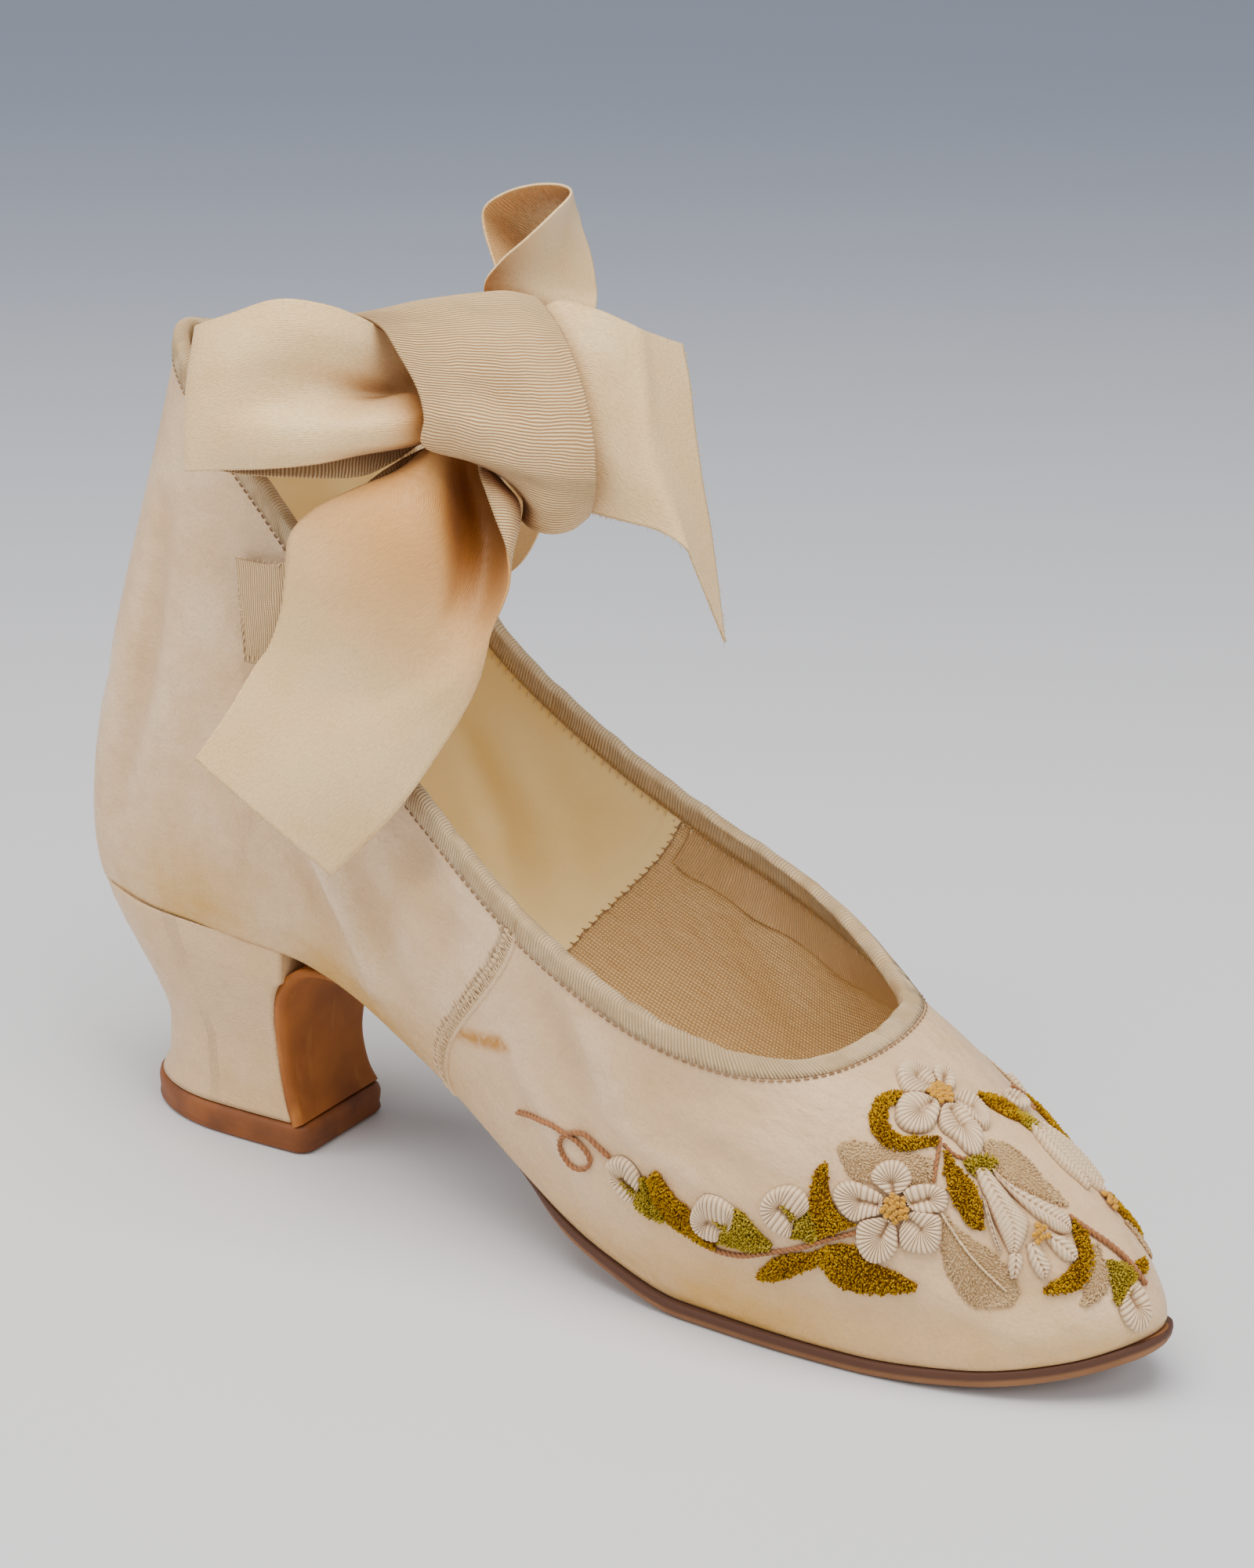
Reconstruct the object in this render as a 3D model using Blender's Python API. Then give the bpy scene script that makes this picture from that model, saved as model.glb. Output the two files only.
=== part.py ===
"""A satin slipper with a high winged back, a curved heel, toe embroidery and a ribbon bow.

All sizes are in millimetres. Stations run along the shoe from the back of the heel (0) to the toe.
The part stands on the floor with +X to the toe, +Y to the shoe's left and +Z up.
"""

from collections import namedtuple

import bpy
import numpy as np
from mathutils import Vector
from mathutils.bvhtree import BVHTree

MM = 0.001
ORIGIN_STATION = 34.0

# Walls and gaps
UPPER_WALL = 1.6
SEAM_STEP = 0.4
GAP = 0.3
SOLE_THICKNESS = 3.3
FLAP_THICKNESS = 2.0
INSOLE_THICKNESS = 1.5
INSOLE_INSET = 3.2
INSOLE_LIFT = 0.1
INSOLE_STATIONS = 33
INSOLE_POINTS_ACROSS = 4
INSOLE_END_GAP = 0.4
INSOLE_LEAST_HALF_WIDTH = 0.8
INSOLE_HEEL_ROUNDING = 6.6
INSOLE_TOE_ROUNDING = 4.025
FEATHER_POINTS = 200
RIBBON_THICKNESS = 0.7
BINDING_DEPTH = 3.8
BINDING_THICKNESS = 0.7
BINDING_ROUNDING = 0.2
BINDING_GAP = 0.5
TOP_PIECE_HEIGHT = 6.0

# Sections of the upper from the toe tip round the right side to the heel back.
# The feather line lies on the sole and the collar is the open rim. The low handle leaves the
# feather line outward and up, and the high handle reaches back down from the collar.
Section = namedtuple(
    "Section",
    "feather_s feather_w collar_s collar_w collar_z low_out low_up high_s high_out high_z",
)
SECTIONS = {
    "toe_tip": Section(233.5, 0.0, 173.6, 0.0, 52.9, 1.0, 13.0, 30.0, 0.0, -6.0),
    "toe_side": Section(228.5, 8.8, 172.9, 8.5, 53.0, 1.5, 13.0, 28.0, 1.0, -6.0),
    "toe_shoulder": Section(214.0, 17.6, 170.5, 16.0, 53.4, 2.5, 14.0, 20.0, 2.0, -6.0),
    "toe_joint": Section(196.0, 22.6, 165.0, 21.5, 54.4, 4.5, 16.0, 12.0, 3.5, -8.0),
    "ball_front": Section(176.0, 25.0, 157.0, 26.5, 56.8, 6.5, 18.0, 6.0, 5.0, -12.0),
    "ball": Section(153.0, 25.0, 146.0, 30.3, 60.6, 7.5, 20.0, 2.0, 3.0, -16.0),
    "ball_back": Section(126.0, 23.5, 134.0, 31.2, 65.4, 8.5, 20.0, 0.0, 1.5, -18.0),
    "side_seam": Section(94.0, 16.5, 118.0, 29.6, 72.6, 9.5, 18.0, -3.0, 1.0, -18.0),
    "waist": Section(74.0, 14.5, 98.0, 26.0, 84.8, 10.5, 18.0, -4.0, 1.0, -20.0),
    "wing_foot": Section(60.0, 15.5, 79.0, 23.0, 99.8, 10.0, 20.0, -7.0, 1.0, -20.0),
    "wing_notch": Section(52.0, 17.0, 70.0, 22.6, 113.0, 9.0, 22.0, -15.0, 0.5, -13.0),
    "wing_corner": Section(45.0, 18.5, 70.5, 24.0, 126.0, 8.0, 24.0, -15.0, 0.5, -19.0),
    "wing_top": Section(36.0, 19.5, 58.0, 20.8, 136.0, 7.0, 24.0, -7.0, 1.0, -28.0),
    "quarter_back": Section(23.0, 19.5, 41.0, 15.5, 147.0, 6.0, 24.0, -5.0, 2.0, -32.0),
    "heel_side": Section(8.5, 13.5, 28.0, 8.5, 155.0, 6.0, 24.0, -6.0, 2.0, -34.0),
    "heel_back": Section(3.0, 0.0, 22.0, 0.0, 157.5, 6.0, 24.0, -8.0, 0.0, -36.0),
}
SIDEWAYS = ("feather_w", "collar_w")
ROW = {name: index for index, name in enumerate(SECTIONS)}
LAST_ROW = len(SECTIONS) - 1
COLUMNS_PER_SECTION = 2
COLUMNS_PER_WING_SECTION = 3
WALL_ROWS = 10
SEAM_HALF_STEP = 0.05

# Underside of the sole: station, height over the floor. The tread is flat.
UNDERSIDE = (
    (0.0, 45.5),
    (30.0, 43.8),
    (55.0, 40.2),
    (85.0, 26.5),
    (110.0, 14.0),
    (133.0, 4.2),
    (150.0, 0.0),
    (185.0, 0.0),
    (205.0, 1.4),
    (222.0, 4.8),
    (235.0, 9.6),
)

# Outline of the outsole: station, half width
SOLE_OUTLINE = (
    (60.0, 16.2),
    (76.0, 14.9),
    (92.0, 16.2),
    (110.0, 20.6),
    (127.0, 24.6),
    (145.0, 26.2),
    (165.0, 26.4),
    (180.0, 25.6),
    (195.0, 23.6),
    (207.0, 20.6),
    (217.0, 16.8),
    (225.0, 12.2),
    (230.5, 8.2),
    (233.5, 5.0),
    (235.0, 2.2),
)
SOLE_EDGE_TUCK = 1.4
SOLE_EDGE_PART = 0.45
SOLE_STATIONS = 30
SOLE_TOE_CROWDING = 1.35

# Breast flap of the outsole, running down the front of the heel: station, height, half width
BREAST_FLAP = (
    (55.8, 37.4, 16.6),
    (53.2, 33.0, 16.0),
    (51.7, 26.0, 13.9),
    (51.2, 17.5, 12.2),
    (52.4, 10.5, 12.2),
    (54.2, 6.4, 12.8),
)

# Heel sections from the top piece up to the seat: part of the height, back station, half width
HEEL_SECTIONS = (
    (0.00, 13.5, 13.6),
    (0.12, 15.6, 13.0),
    (0.30, 16.0, 13.0),
    (0.50, 13.2, 14.8),
    (0.70, 8.6, 17.4),
    (0.88, 4.4, 19.6),
    (1.00, 2.4, 20.4),
)
HEEL_FRONT_TAPER = 0.07
HEEL_SEAT_FRONT = 52.0
TOP_PIECE_BACK = 12.4
TOP_PIECE_FRONT = 55.6
TOP_PIECE_HALF_WIDTH = 14.2
# Heights and insets of the top piece's rounded edge
TOP_PIECE_EDGE = ((0.0, 0.6), (1.0, 0.0), (TOP_PIECE_HEIGHT - 1.2, 0.0), (TOP_PIECE_HEIGHT, 0.8))
HEEL_LOOP_POINTS = 28
HEEL_FRONT_POINTS = 6
HEEL_TAPER_START = 0.25
HEEL_BREAST_THIRD = 0.33

# Ribbon rows run along each ribbon. Each has the station, side and height of its two edges, then
# how far its middle swells out of their plane.
RibbonRow = namedtuple("RibbonRow", "a_s a_y a_z b_s b_y b_z swell")
RIBBONS = {
    "bow_loop_side": (
        RibbonRow(80, -6, 160, 84, -9, 150, 4.0),
        RibbonRow(74, -15, 172, 79, -22, 151, 1.0),
        RibbonRow(66, -22, 176, 71, -32, 149, -2.0),
        RibbonRow(54, -26, 172, 59, -36, 147, -2.0),
        RibbonRow(45, -25, 168, 49, -34, 144, -1.0),
        RibbonRow(44, -19, 166, 49, -29, 143, 0.0),
        RibbonRow(52, -12, 166, 58, -25, 143, 0.0),
        RibbonRow(64, -6, 164, 70, -15, 145, 0.0),
        RibbonRow(77, -2, 159, 82, -5, 149, 0.0),
    ),
    "bow_loop_upright": (
        RibbonRow(87, 14.6, 167.8, 101, 26, 167.4, -1.0),
        RibbonRow(90, 12, 181, 93, 34, 175, -2.0),
        RibbonRow(95, 15, 189, 81, 43, 177, -2.0),
        RibbonRow(93, 24, 190, 77, 51, 177, -1.0),
        RibbonRow(85, 29, 188, 72, 57, 173, -1.0),
        RibbonRow(74, 31, 185, 68, 59, 168, -1.0),
        RibbonRow(70, 29, 182, 70, 54, 166, -1.0),
        RibbonRow(76, 25, 176, 78, 42, 164, 0.0),
        RibbonRow(83, 19, 168, 95, 29, 166, 0.0),
    ),
    "bow_tail_front": (
        RibbonRow(92, -4, 145, 81, -8, 146, 6.0),
        RibbonRow(101.5, -9.4, 139.1, 74, -16, 142, 9.0),
        RibbonRow(105, -13, 130, 71, -25, 137, 6.0),
        RibbonRow(103, -17, 120, 69, -30, 128, 2.0),
        RibbonRow(102, -21, 109, 68, -32, 119, 0.0),
        RibbonRow(98, -27, 98, 65, -36, 111, -1.0),
        RibbonRow(92, -32, 87, 61, -40, 102, -1.0),
        RibbonRow(81, -36, 74, 57, -44, 94, 0.0),
    ),
    "bow_tail_side": (
        RibbonRow(98, 8, 167, 109, 3, 138.2, -1.0),
        RibbonRow(106, 13, 171, 118, 4, 135, -2.0),
        RibbonRow(112, 19, 169, 128, 9, 132, -2.0),
        RibbonRow(114, 31, 162, 130, 17, 114, 1.0),
    ),
    "tie_right": (
        RibbonRow(50, -21.4, 124, 54, -24.7, 106, 0.0),
        RibbonRow(64, -25.5, 127, 64, -25.5, 107, 0.0),
        RibbonRow(74, -25.8, 130, 76, -25.2, 111, 0.0),
        RibbonRow(81, -14, 140, 87, -13, 124, 0.0),
        RibbonRow(86, -4.6, 150, 93, -3.6, 142, 0.0),
    ),
    "tie_left": (
        RibbonRow(50, 21.4, 124, 54, 24.7, 106, 0.0),
        RibbonRow(64, 25.5, 127, 64, 25.5, 107, 0.0),
        RibbonRow(75, 25.8, 130, 77, 25.6, 112, 0.0),
        RibbonRow(82, 20, 140, 88, 20, 125, 0.0),
        RibbonRow(85.6, 11.8, 150, 93, 14.4, 138, 0.0),
    ),
}
KNOT_BAND = (
    RibbonRow(72, -8, 169, 96, 8, 174, 1.0),
    RibbonRow(83, -16, 168, 109, 1, 169, 1.0),
    RibbonRow(90, -18, 161, 116, -4, 160, 1.0),
    RibbonRow(93, -17, 152, 118, -5, 148, 1.0),
    RibbonRow(103, -7, 138, 113, -1, 138, 0.0),
    RibbonRow(95, 4, 137, 106, 11, 138, 0.0),
    RibbonRow(77, 6, 149, 99, 18, 150, 0.0),
    RibbonRow(69, 2, 162, 91, 18, 166, 0.0),
)
RIBBON_STEPS_PER_ROW = 3
RIBBON_STEPS_ACROSS = 3

# Ribbon ends sewn inside the wings: section row, part of the wall height, half length, half width
RIBBON_PATCH = (12.0, 0.72, 10.0, 11.5)
RIBBON_PATCH_POINTS = 20
# Parts of the reach and lifts of the patch's rings
RIBBON_PATCH_RINGS = ((0.5, 0.0), (1.0, 0.0), (1.0, 0.7), (0.5, 0.7))
RIBBON_PATCH_AIM = 0.02
RIBBON_PATCH_INWARD = 1.0

# Embroidery on the vamp. Section rows count from the toe (0), negative on the shoe's left, and
# heights are parts of the wall from the feather line (0) to the collar (1).
Leaf = namedtuple("Leaf", "from_row from_height to_row to_height half_width bend")
LEAVES = {
    "leaf_vine": Leaf(5.16, 0.46, 4.66, 0.29, 2.1, -1.2),
    "leaf_upright": Leaf(3.40, 0.46, 3.20, 0.64, 2.4, 0.6),
    "leaf_stem_back": Leaf(3.55, 0.35, 4.25, 0.22, 2.6, 0.8),
    "leaf_stem_front": Leaf(3.38, 0.32, 2.72, 0.27, 2.8, -1.0),
    "leaf_bell": Leaf(1.58, 0.655, 1.86, 0.46, 2.3, 0.6),
    "leaf_toe": Leaf(0.78, 0.41, 1.48, 0.26, 2.2, 2.0),
    "pale_leaf_vamp": Leaf(2.90, 0.745, 2.28, 0.725, 2.6, 0.6),
    "pale_leaf_ball": Leaf(2.12, 0.42, 2.00, 0.25, 3.6, 0.4),
    "pale_leaf_toe": Leaf(0.46, 0.36, 0.92, 0.20, 2.0, -0.4),
}
MIDDLE_LEAVES = {
    "leaf_throat": Leaf(1.55, 0.865, 1.92, 0.755, 2.4, -1.6),
    "leaf_ridge": Leaf(-0.35, 0.80, -0.62, 0.68, 2.4, 0.8),
    "pale_leaf_ridge": Leaf(0.58, 0.635, 0.22, 0.46, 3.2, 0.4),
}
LEAF_RELIEF = 1.3
LEAF_STEPS = 6
NARROW_PAD_POINTS = 3
PAD_LEAST_HALF_WIDTH = 0.35
PAD_END_DROP = 0.5
LEAF_TIP = 0.02
LEAF_FULLNESS = 0.7
BELL_THROAT = 0.35
BELL_FLARE = 1.25
BELL_LIP = 0.8
BUD_BLUNTNESS = 0.95

# Five-petalled ribbon flowers: section row, height, outer radius
FLOWERS = {
    "flower_right": (2.60, 0.515, 10.0),
    "flower_left": (-2.60, 0.515, 10.0),
    "flower_throat": (0.80, 0.775, 9.2),
}
FLOWER_RELIEF = 2.0
FLOWER_POINTS = 30
FLOWER_DEEP = 0.30
FLOWER_PETALS = 5
FLOWER_LOBE_FULLNESS = 0.6
FLOWER_CORE = 0.5
FLOWER_AIM = 0.05
# Rings of a flower from its under middle to its top middle: part of the radius, lift
FLOWER_RINGS = ((0.3, 0.0), (0.66, 0.0), (1.0, 0.0), (1.0, 0.4), (0.66, FLOWER_RELIEF), (0.28, 0.9))

# Half-open flowers and buds, as a length from the calyx to the tip with its widest half width
BELLS = {
    "bell_right": Leaf(1.26, 0.60, 1.28, 0.36, 4.2, 0.0),
    "bell_left": Leaf(-0.66, 0.60, -0.95, 0.40, 3.8, 0.0),
}
BUDS = {
    "bud_scroll": Leaf(5.36, 0.39, 5.50, 0.455, 2.9, 0.0),
    "bud_vine": Leaf(4.42, 0.365, 4.68, 0.405, 3.2, 0.0),
    "bud_upright": Leaf(3.66, 0.455, 3.85, 0.52, 3.2, 0.0),
}
MIDDLE_BUDS = {
    "bud_toe": Leaf(0.48, 0.215, 0.56, 0.085, 2.5, 0.0),
}
BELL_RELIEF = 2.0
BUD_RELIEF = 1.9
OVERLAY_EDGE = 0.4
OVERLAY_GAP = 0.4
OVERLAY_REACH = 4.0
WIDE_PAD = 3.2
WIDE_PAD_POINTS = 5


def monotone(table, at):
    """A smooth curve through (x, y) rows that never swings past them."""
    x, y = np.array(table, float).T
    step = np.diff(x)
    slope = np.diff(y) / step
    turn = slope[1:] * slope[:-1] > 0
    total = np.where(turn, slope[1:] + slope[:-1], 1.0)
    inner = np.where(turn, 2 * slope[1:] * slope[:-1] / total, 0.0)
    tangent = np.concatenate([slope[:1], inner, slope[-1:]])
    at = np.clip(np.asarray(at, float), x[0], x[-1])
    i = np.clip(np.searchsorted(x, at) - 1, 0, len(step) - 1)
    t = (at - x[i]) / step[i]
    rise = (1 + 2 * t) * (1 - t) ** 2 * y[i] + t * t * (3 - 2 * t) * y[i + 1]
    return rise + step[i] * (t * (1 - t) ** 2 * tangent[i] + t * t * (t - 1) * tangent[i + 1])


def through_rows(rows, at, closed):
    """A smooth path through the rows, at row numbers that need not be whole."""
    rows = np.asarray(rows, float)
    count = len(rows)
    at = np.asarray(at, float)
    first = np.floor(at).astype(int)
    if not closed:
        first = np.clip(first, 0, count - 2)
    t = (at - first)[:, None]
    around = []
    for shift in (-1, 0, 1, 2):
        index = first + shift
        index = index % count if closed else np.clip(index, 0, count - 1)
        around.append(rows[index])
    before, start, end, after = around
    straight = 2 * start + (end - before) * t
    bend = (2 * before - 5 * start + 4 * end - after) * t**2
    return 0.5 * (straight + bend + (3 * start - before - 3 * end + after) * t**3)


def unit(vectors):
    return vectors / np.linalg.norm(vectors, axis=-1, keepdims=True)


def sole_top(station):
    return monotone(UNDERSIDE, station) + SOLE_THICKNESS


def seat(station):
    """Height of the feather line, just clear of the sole."""
    return sole_top(station) + GAP


def section_ring():
    """The sections as one closed ring of rows: the right side, then the left side mirrored."""
    right = np.array(list(SECTIONS.values()))
    mirror = np.array([-1.0 if name in SIDEWAYS else 1.0 for name in Section._fields])
    return np.concatenate([right, (right * mirror)[-2:0:-1]])


RING = section_ring()


def upper_surface(rows, heights):
    """Points of the upper's outer face, as rows by heights by (station, side, height).

    The heights are one list for all rows, or a list for each row.
    """
    rows = np.asarray(rows, float)
    values = through_rows(RING, rows % len(RING), True)
    part = Section(*values.T)
    feather = np.stack([part.feather_s, -part.feather_w, seat(part.feather_s)], -1)
    collar = np.stack([part.collar_s, -part.collar_w, part.collar_z], -1)
    small = 0.01
    ahead = through_rows(RING, (rows + small) % len(RING), True)
    behind = through_rows(RING, (rows - small) % len(RING), True)
    along = Section(*(ahead - behind).T)
    outward = np.stack([along.feather_w, along.feather_s, np.zeros(len(rows))], -1)
    outward = unit(outward)
    flat = np.zeros(len(rows))
    low = feather + outward * part.low_out[:, None] + np.stack([flat, flat, part.low_up], -1)
    high = collar + outward * part.high_out[:, None]
    high = high + np.stack([part.high_s, flat, part.high_z], -1)
    heights = np.asarray(heights, float)
    h = np.broadcast_to(heights, (len(rows), heights.shape[-1]))[..., None]
    ends = (1 - h) ** 3 * feather[:, None] + h**3 * collar[:, None]
    return ends + 3 * (1 - h) ** 2 * h * low[:, None] + 3 * (1 - h) * h**2 * high[:, None]


def upper_normals(rows, heights):
    """Outward directions of the upper's face."""
    rows = np.asarray(rows, float)
    heights = np.asarray(heights, float)
    small = 0.004
    round_the_shoe = upper_surface(rows + small, heights) - upper_surface(rows - small, heights)
    up_the_wall = upper_surface(rows, heights + small) - upper_surface(rows, heights - small)
    return unit(np.cross(up_the_wall, round_the_shoe))


def wall_rows():
    """Row numbers of the wall's columns: closer at the wings, and doubled at the side seams."""
    rows = []
    for row in range(LAST_ROW):
        at_wing = ROW["wing_foot"] <= row < ROW["wing_top"]
        count = COLUMNS_PER_WING_SECTION if at_wing else COLUMNS_PER_SECTION
        rows += [row + step / count for step in range(count)]
    rows.remove(ROW["side_seam"])
    rows += [ROW["side_seam"] - SEAM_HALF_STEP, ROW["side_seam"] + SEAM_HALF_STEP]
    right = sorted(rows)
    left = sorted(2 * LAST_ROW - row for row in right if row > 0)
    return np.array(right + [LAST_ROW] + left)


def binding_edge(rows):
    """Heights on the wall where the binding's lower edge lies."""
    rim = upper_surface(rows, [1.0])[:, 0]
    part = 0.01
    length = np.linalg.norm(rim - upper_surface(rows, [1.0 - part])[:, 0], axis=1) / part
    return 1.0 - BINDING_DEPTH / length


def wall_heights(rows):
    """Heights of the wall's points on each column: even up to the binding's edge, then the rim."""
    even = binding_edge(rows)[:, None] * np.linspace(0.0, 1.0, WALL_ROWS)
    return np.concatenate([even, np.ones((len(rows), 1))], axis=1)


def on_vamp(rows):
    """True for the columns in front of the side seams."""
    seam = ROW["side_seam"]
    return (rows < seam) | (rows > 2 * LAST_ROW - seam)


def to_metres(points):
    moved = np.asarray(points, float) - np.array([ORIGIN_STATION, 0.0, 0.0])
    return moved * MM


def add_object(name, points, faces, material):
    mesh = bpy.data.meshes.new(name)
    mesh.from_pydata(to_metres(points).tolist(), [], faces)
    mesh.update()
    mesh.materials.append(material)
    made = bpy.data.objects.new(name, mesh)
    parts.objects.link(made)
    return made


def grid_faces(index, closed):
    """Quads of a grid of point numbers, joined round in its first direction when closed."""
    count = len(index)
    faces = []
    for i in range(count if closed else count - 1):
        j = (i + 1) % count
        for k in range(len(index[0]) - 1):
            faces.append((index[i][k], index[j][k], index[j][k + 1], index[i][k + 1]))
    return faces


def edge_faces(top, bottom, closed):
    """Quads between two runs of point numbers."""
    count = len(top)
    faces = []
    for i in range(count if closed else count - 1):
        j = (i + 1) % count
        faces.append((top[i], bottom[i], bottom[j], top[j]))
    return faces


def turned_out(points, faces):
    """The faces, all turned round if the solid is inside out."""
    points = np.asarray(points)
    volume = 0.0
    for face in faces:
        for k in range(1, len(face) - 1):
            volume += np.linalg.det(points[[face[0], face[k], face[k + 1]]])
    return faces if volume > 0 else [face[::-1] for face in faces]


def solid_between(name, top, bottom, material, closed=False):
    """A solid between two grids of points of the same shape, with walls round their edges."""
    top = np.asarray(top)
    bottom = np.asarray(bottom)
    count = top.shape[0] * top.shape[1]
    over = np.arange(count).reshape(top.shape[:2])
    under = over + count
    faces = grid_faces(over.tolist(), closed)
    faces += [face[::-1] for face in grid_faces(under.tolist(), closed)]
    faces += edge_faces(over[:, 0].tolist(), under[:, 0].tolist(), closed)
    faces += edge_faces(under[:, -1].tolist(), over[:, -1].tolist(), closed)
    if not closed:
        faces += edge_faces(under[0].tolist(), over[0].tolist(), False)
        faces += edge_faces(over[-1].tolist(), under[-1].tolist(), False)
    points = np.concatenate([top.reshape(-1, 3), bottom.reshape(-1, 3)])
    return add_object(name, points, turned_out(points, faces), material)


def loft(name, rings, material, closed=False):
    """A solid through closed rings of points, with a fan over each end unless the rings close."""
    rings = np.asarray(rings)
    count, around = rings.shape[:2]
    index = np.arange(count * around).reshape(count, around)
    wrapped = np.concatenate([index, index[:, :1]], axis=1)
    faces = grid_faces(wrapped.tolist(), closed)
    points = rings.reshape(-1, 3)
    if not closed:
        ends = rings[[0, -1]].mean(axis=1)
        points = np.concatenate([points, ends])
        for k in range(around):
            after = (k + 1) % around
            faces.append((int(index[0, k]), int(index[0, after]), count * around))
            faces.append((int(index[-1, after]), int(index[-1, k]), count * around + 1))
    return add_object(name, points, turned_out(points, faces), material)


def make_material(name, colour, roughness):
    material = bpy.data.materials.new(name)
    material.use_nodes = True
    shader = material.node_tree.nodes["Principled BSDF"]
    shader.inputs["Base Color"].default_value = (*colour, 1.0)
    shader.inputs["Roughness"].default_value = roughness
    return material


def make_upper():
    rows = wall_rows()
    heights = wall_heights(rows)
    face = upper_surface(rows, heights)
    normals = upper_normals(rows, heights)
    step = np.where(on_vamp(rows)[:, None] & (heights > 0.0), SEAM_STEP, 0.0)
    outside = face + normals * step[..., None]
    return solid_between("upper", outside, face - normals * UPPER_WALL, upper_satin, closed=True)


def make_binding():
    """The folded ribbon over the rim: down the outside, over the edge and down the inside."""
    rows = wall_rows()
    heights = np.stack([binding_edge(rows), np.ones(len(rows))], axis=-1)
    face = upper_surface(rows, heights)
    normals = upper_normals(rows, heights)
    low, rim = face[:, 0], face[:, 1]
    low_normals, rim_normals = normals[:, 0], normals[:, 1]
    over = unit(rim - low)
    step = np.where(on_vamp(rows), SEAM_STEP, 0.0)[:, None]
    outside = BINDING_GAP + step
    inside = -UPPER_WALL - BINDING_GAP
    profile = [
        low + low_normals * outside,
        low + low_normals * (outside + BINDING_THICKNESS),
        rim + rim_normals * (outside + BINDING_THICKNESS),
        rim + rim_normals * (outside - BINDING_ROUNDING) + over * (BINDING_GAP + BINDING_THICKNESS),
        rim + rim_normals * (inside + BINDING_ROUNDING) + over * (BINDING_GAP + BINDING_THICKNESS),
        rim + rim_normals * (inside - BINDING_THICKNESS),
        low + low_normals * (inside - BINDING_THICKNESS),
        low + low_normals * inside,
        rim + rim_normals * inside + over * BINDING_GAP,
        rim + rim_normals * outside + over * BINDING_GAP,
    ]
    return loft("collar_binding", np.stack(profile, axis=1), binding_ribbon, closed=True)


def sole_path():
    """Stations of the sole's visible face from the toe to the foot of the breast flap.

    Each row has the station, height, half width and thickness.
    """
    rows = []
    back, front = SOLE_OUTLINE[0][0], SOLE_OUTLINE[-1][0]
    for station in front - (front - back) * np.linspace(0.0, 1.0, SOLE_STATIONS) ** SOLE_TOE_CROWDING:
        height = float(monotone(UNDERSIDE, station))
        half_width = float(monotone(SOLE_OUTLINE, station))
        rows.append((station, height, half_width, SOLE_THICKNESS))
    for station, height, half_width in BREAST_FLAP:
        rows.append((station, height, half_width, FLAP_THICKNESS))
    return np.array(rows)


def make_outsole():
    path = sole_path()
    line = path[:, :2]
    along = unit(np.gradient(line, axis=0))
    inward = np.stack([along[:, 1], -along[:, 0]], axis=-1)
    rings = []
    for (station, height, half_width, thickness), (ns, nz) in zip(path, inward):
        flat = station >= SOLE_OUTLINE[0][0]
        foot = height <= BREAST_FLAP[-1][1]
        up = np.array([0.0, 0.0, 1.0]) if flat else np.array([ns, 0.0, nz])
        up = np.array([-1.0, 0.0, 0.0]) if foot and not flat else up
        middle = np.array([station, 0.0, height])
        side = np.array([0.0, 1.0, 0.0])
        tuck = min(SOLE_EDGE_TUCK, 0.5 * half_width)
        ring = [
            middle - side * (half_width - tuck),
            middle - side * half_width + up * thickness * SOLE_EDGE_PART,
            middle - side * half_width + up * thickness,
            middle + side * half_width + up * thickness,
            middle + side * half_width + up * thickness * SOLE_EDGE_PART,
            middle + side * (half_width - tuck),
        ]
        rings.append(ring)
    return loft("outsole", rings, sole_leather)


def heel_loop(back, front, half_width):
    """A D-shaped loop in plan: round at the back, slightly narrower and straight at the breast."""
    half_length = 0.5 * (front - back)
    loop = []
    for turn in np.linspace(-0.5 * np.pi, 0.5 * np.pi, HEEL_LOOP_POINTS - HEEL_FRONT_POINTS):
        loop.append((back + half_length * (1.0 - np.cos(turn)), half_width * np.sin(turn)))
    narrow = half_width * (1.0 - HEEL_FRONT_TAPER)
    middling = half_width * (1.0 - HEEL_TAPER_START * HEEL_FRONT_TAPER)
    station = front - 0.5 * half_length
    third = HEEL_BREAST_THIRD * narrow
    loop += [(station, middling), (front, narrow), (front, third)]
    loop += [(front, -third), (front, -narrow), (station, -middling)]
    return np.array(loop)


def breast_station(height):
    """Front of the heel at a height, just behind the breast flap."""
    flap = [(row[1], row[0]) for row in BREAST_FLAP[::-1]]
    return monotone(flap, height) - FLAP_THICKNESS - 2 * GAP


def make_heel():
    foot = TOP_PIECE_HEIGHT + GAP
    rings = []
    for part, back, half_width in HEEL_SECTIONS:
        plain_height = foot + part * (sole_top(HEEL_SEAT_FRONT) - foot)
        front = float(breast_station(plain_height)) if part < 1.0 else HEEL_SEAT_FRONT
        loop = heel_loop(back, front, half_width)
        height = foot + part * (sole_top(loop[:, 0]) - foot)
        rings.append(np.column_stack([loop, height]))
    return loft("heel", rings, heel_satin)


def make_top_piece():
    rings = []
    for height, inset in TOP_PIECE_EDGE:
        loop = heel_loop(TOP_PIECE_BACK + inset, TOP_PIECE_FRONT - inset, TOP_PIECE_HALF_WIDTH - inset)
        rings.append(np.column_stack([loop, np.full(len(loop), height)]))
    return loft("top_piece", rings, lift_leather)


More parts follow.
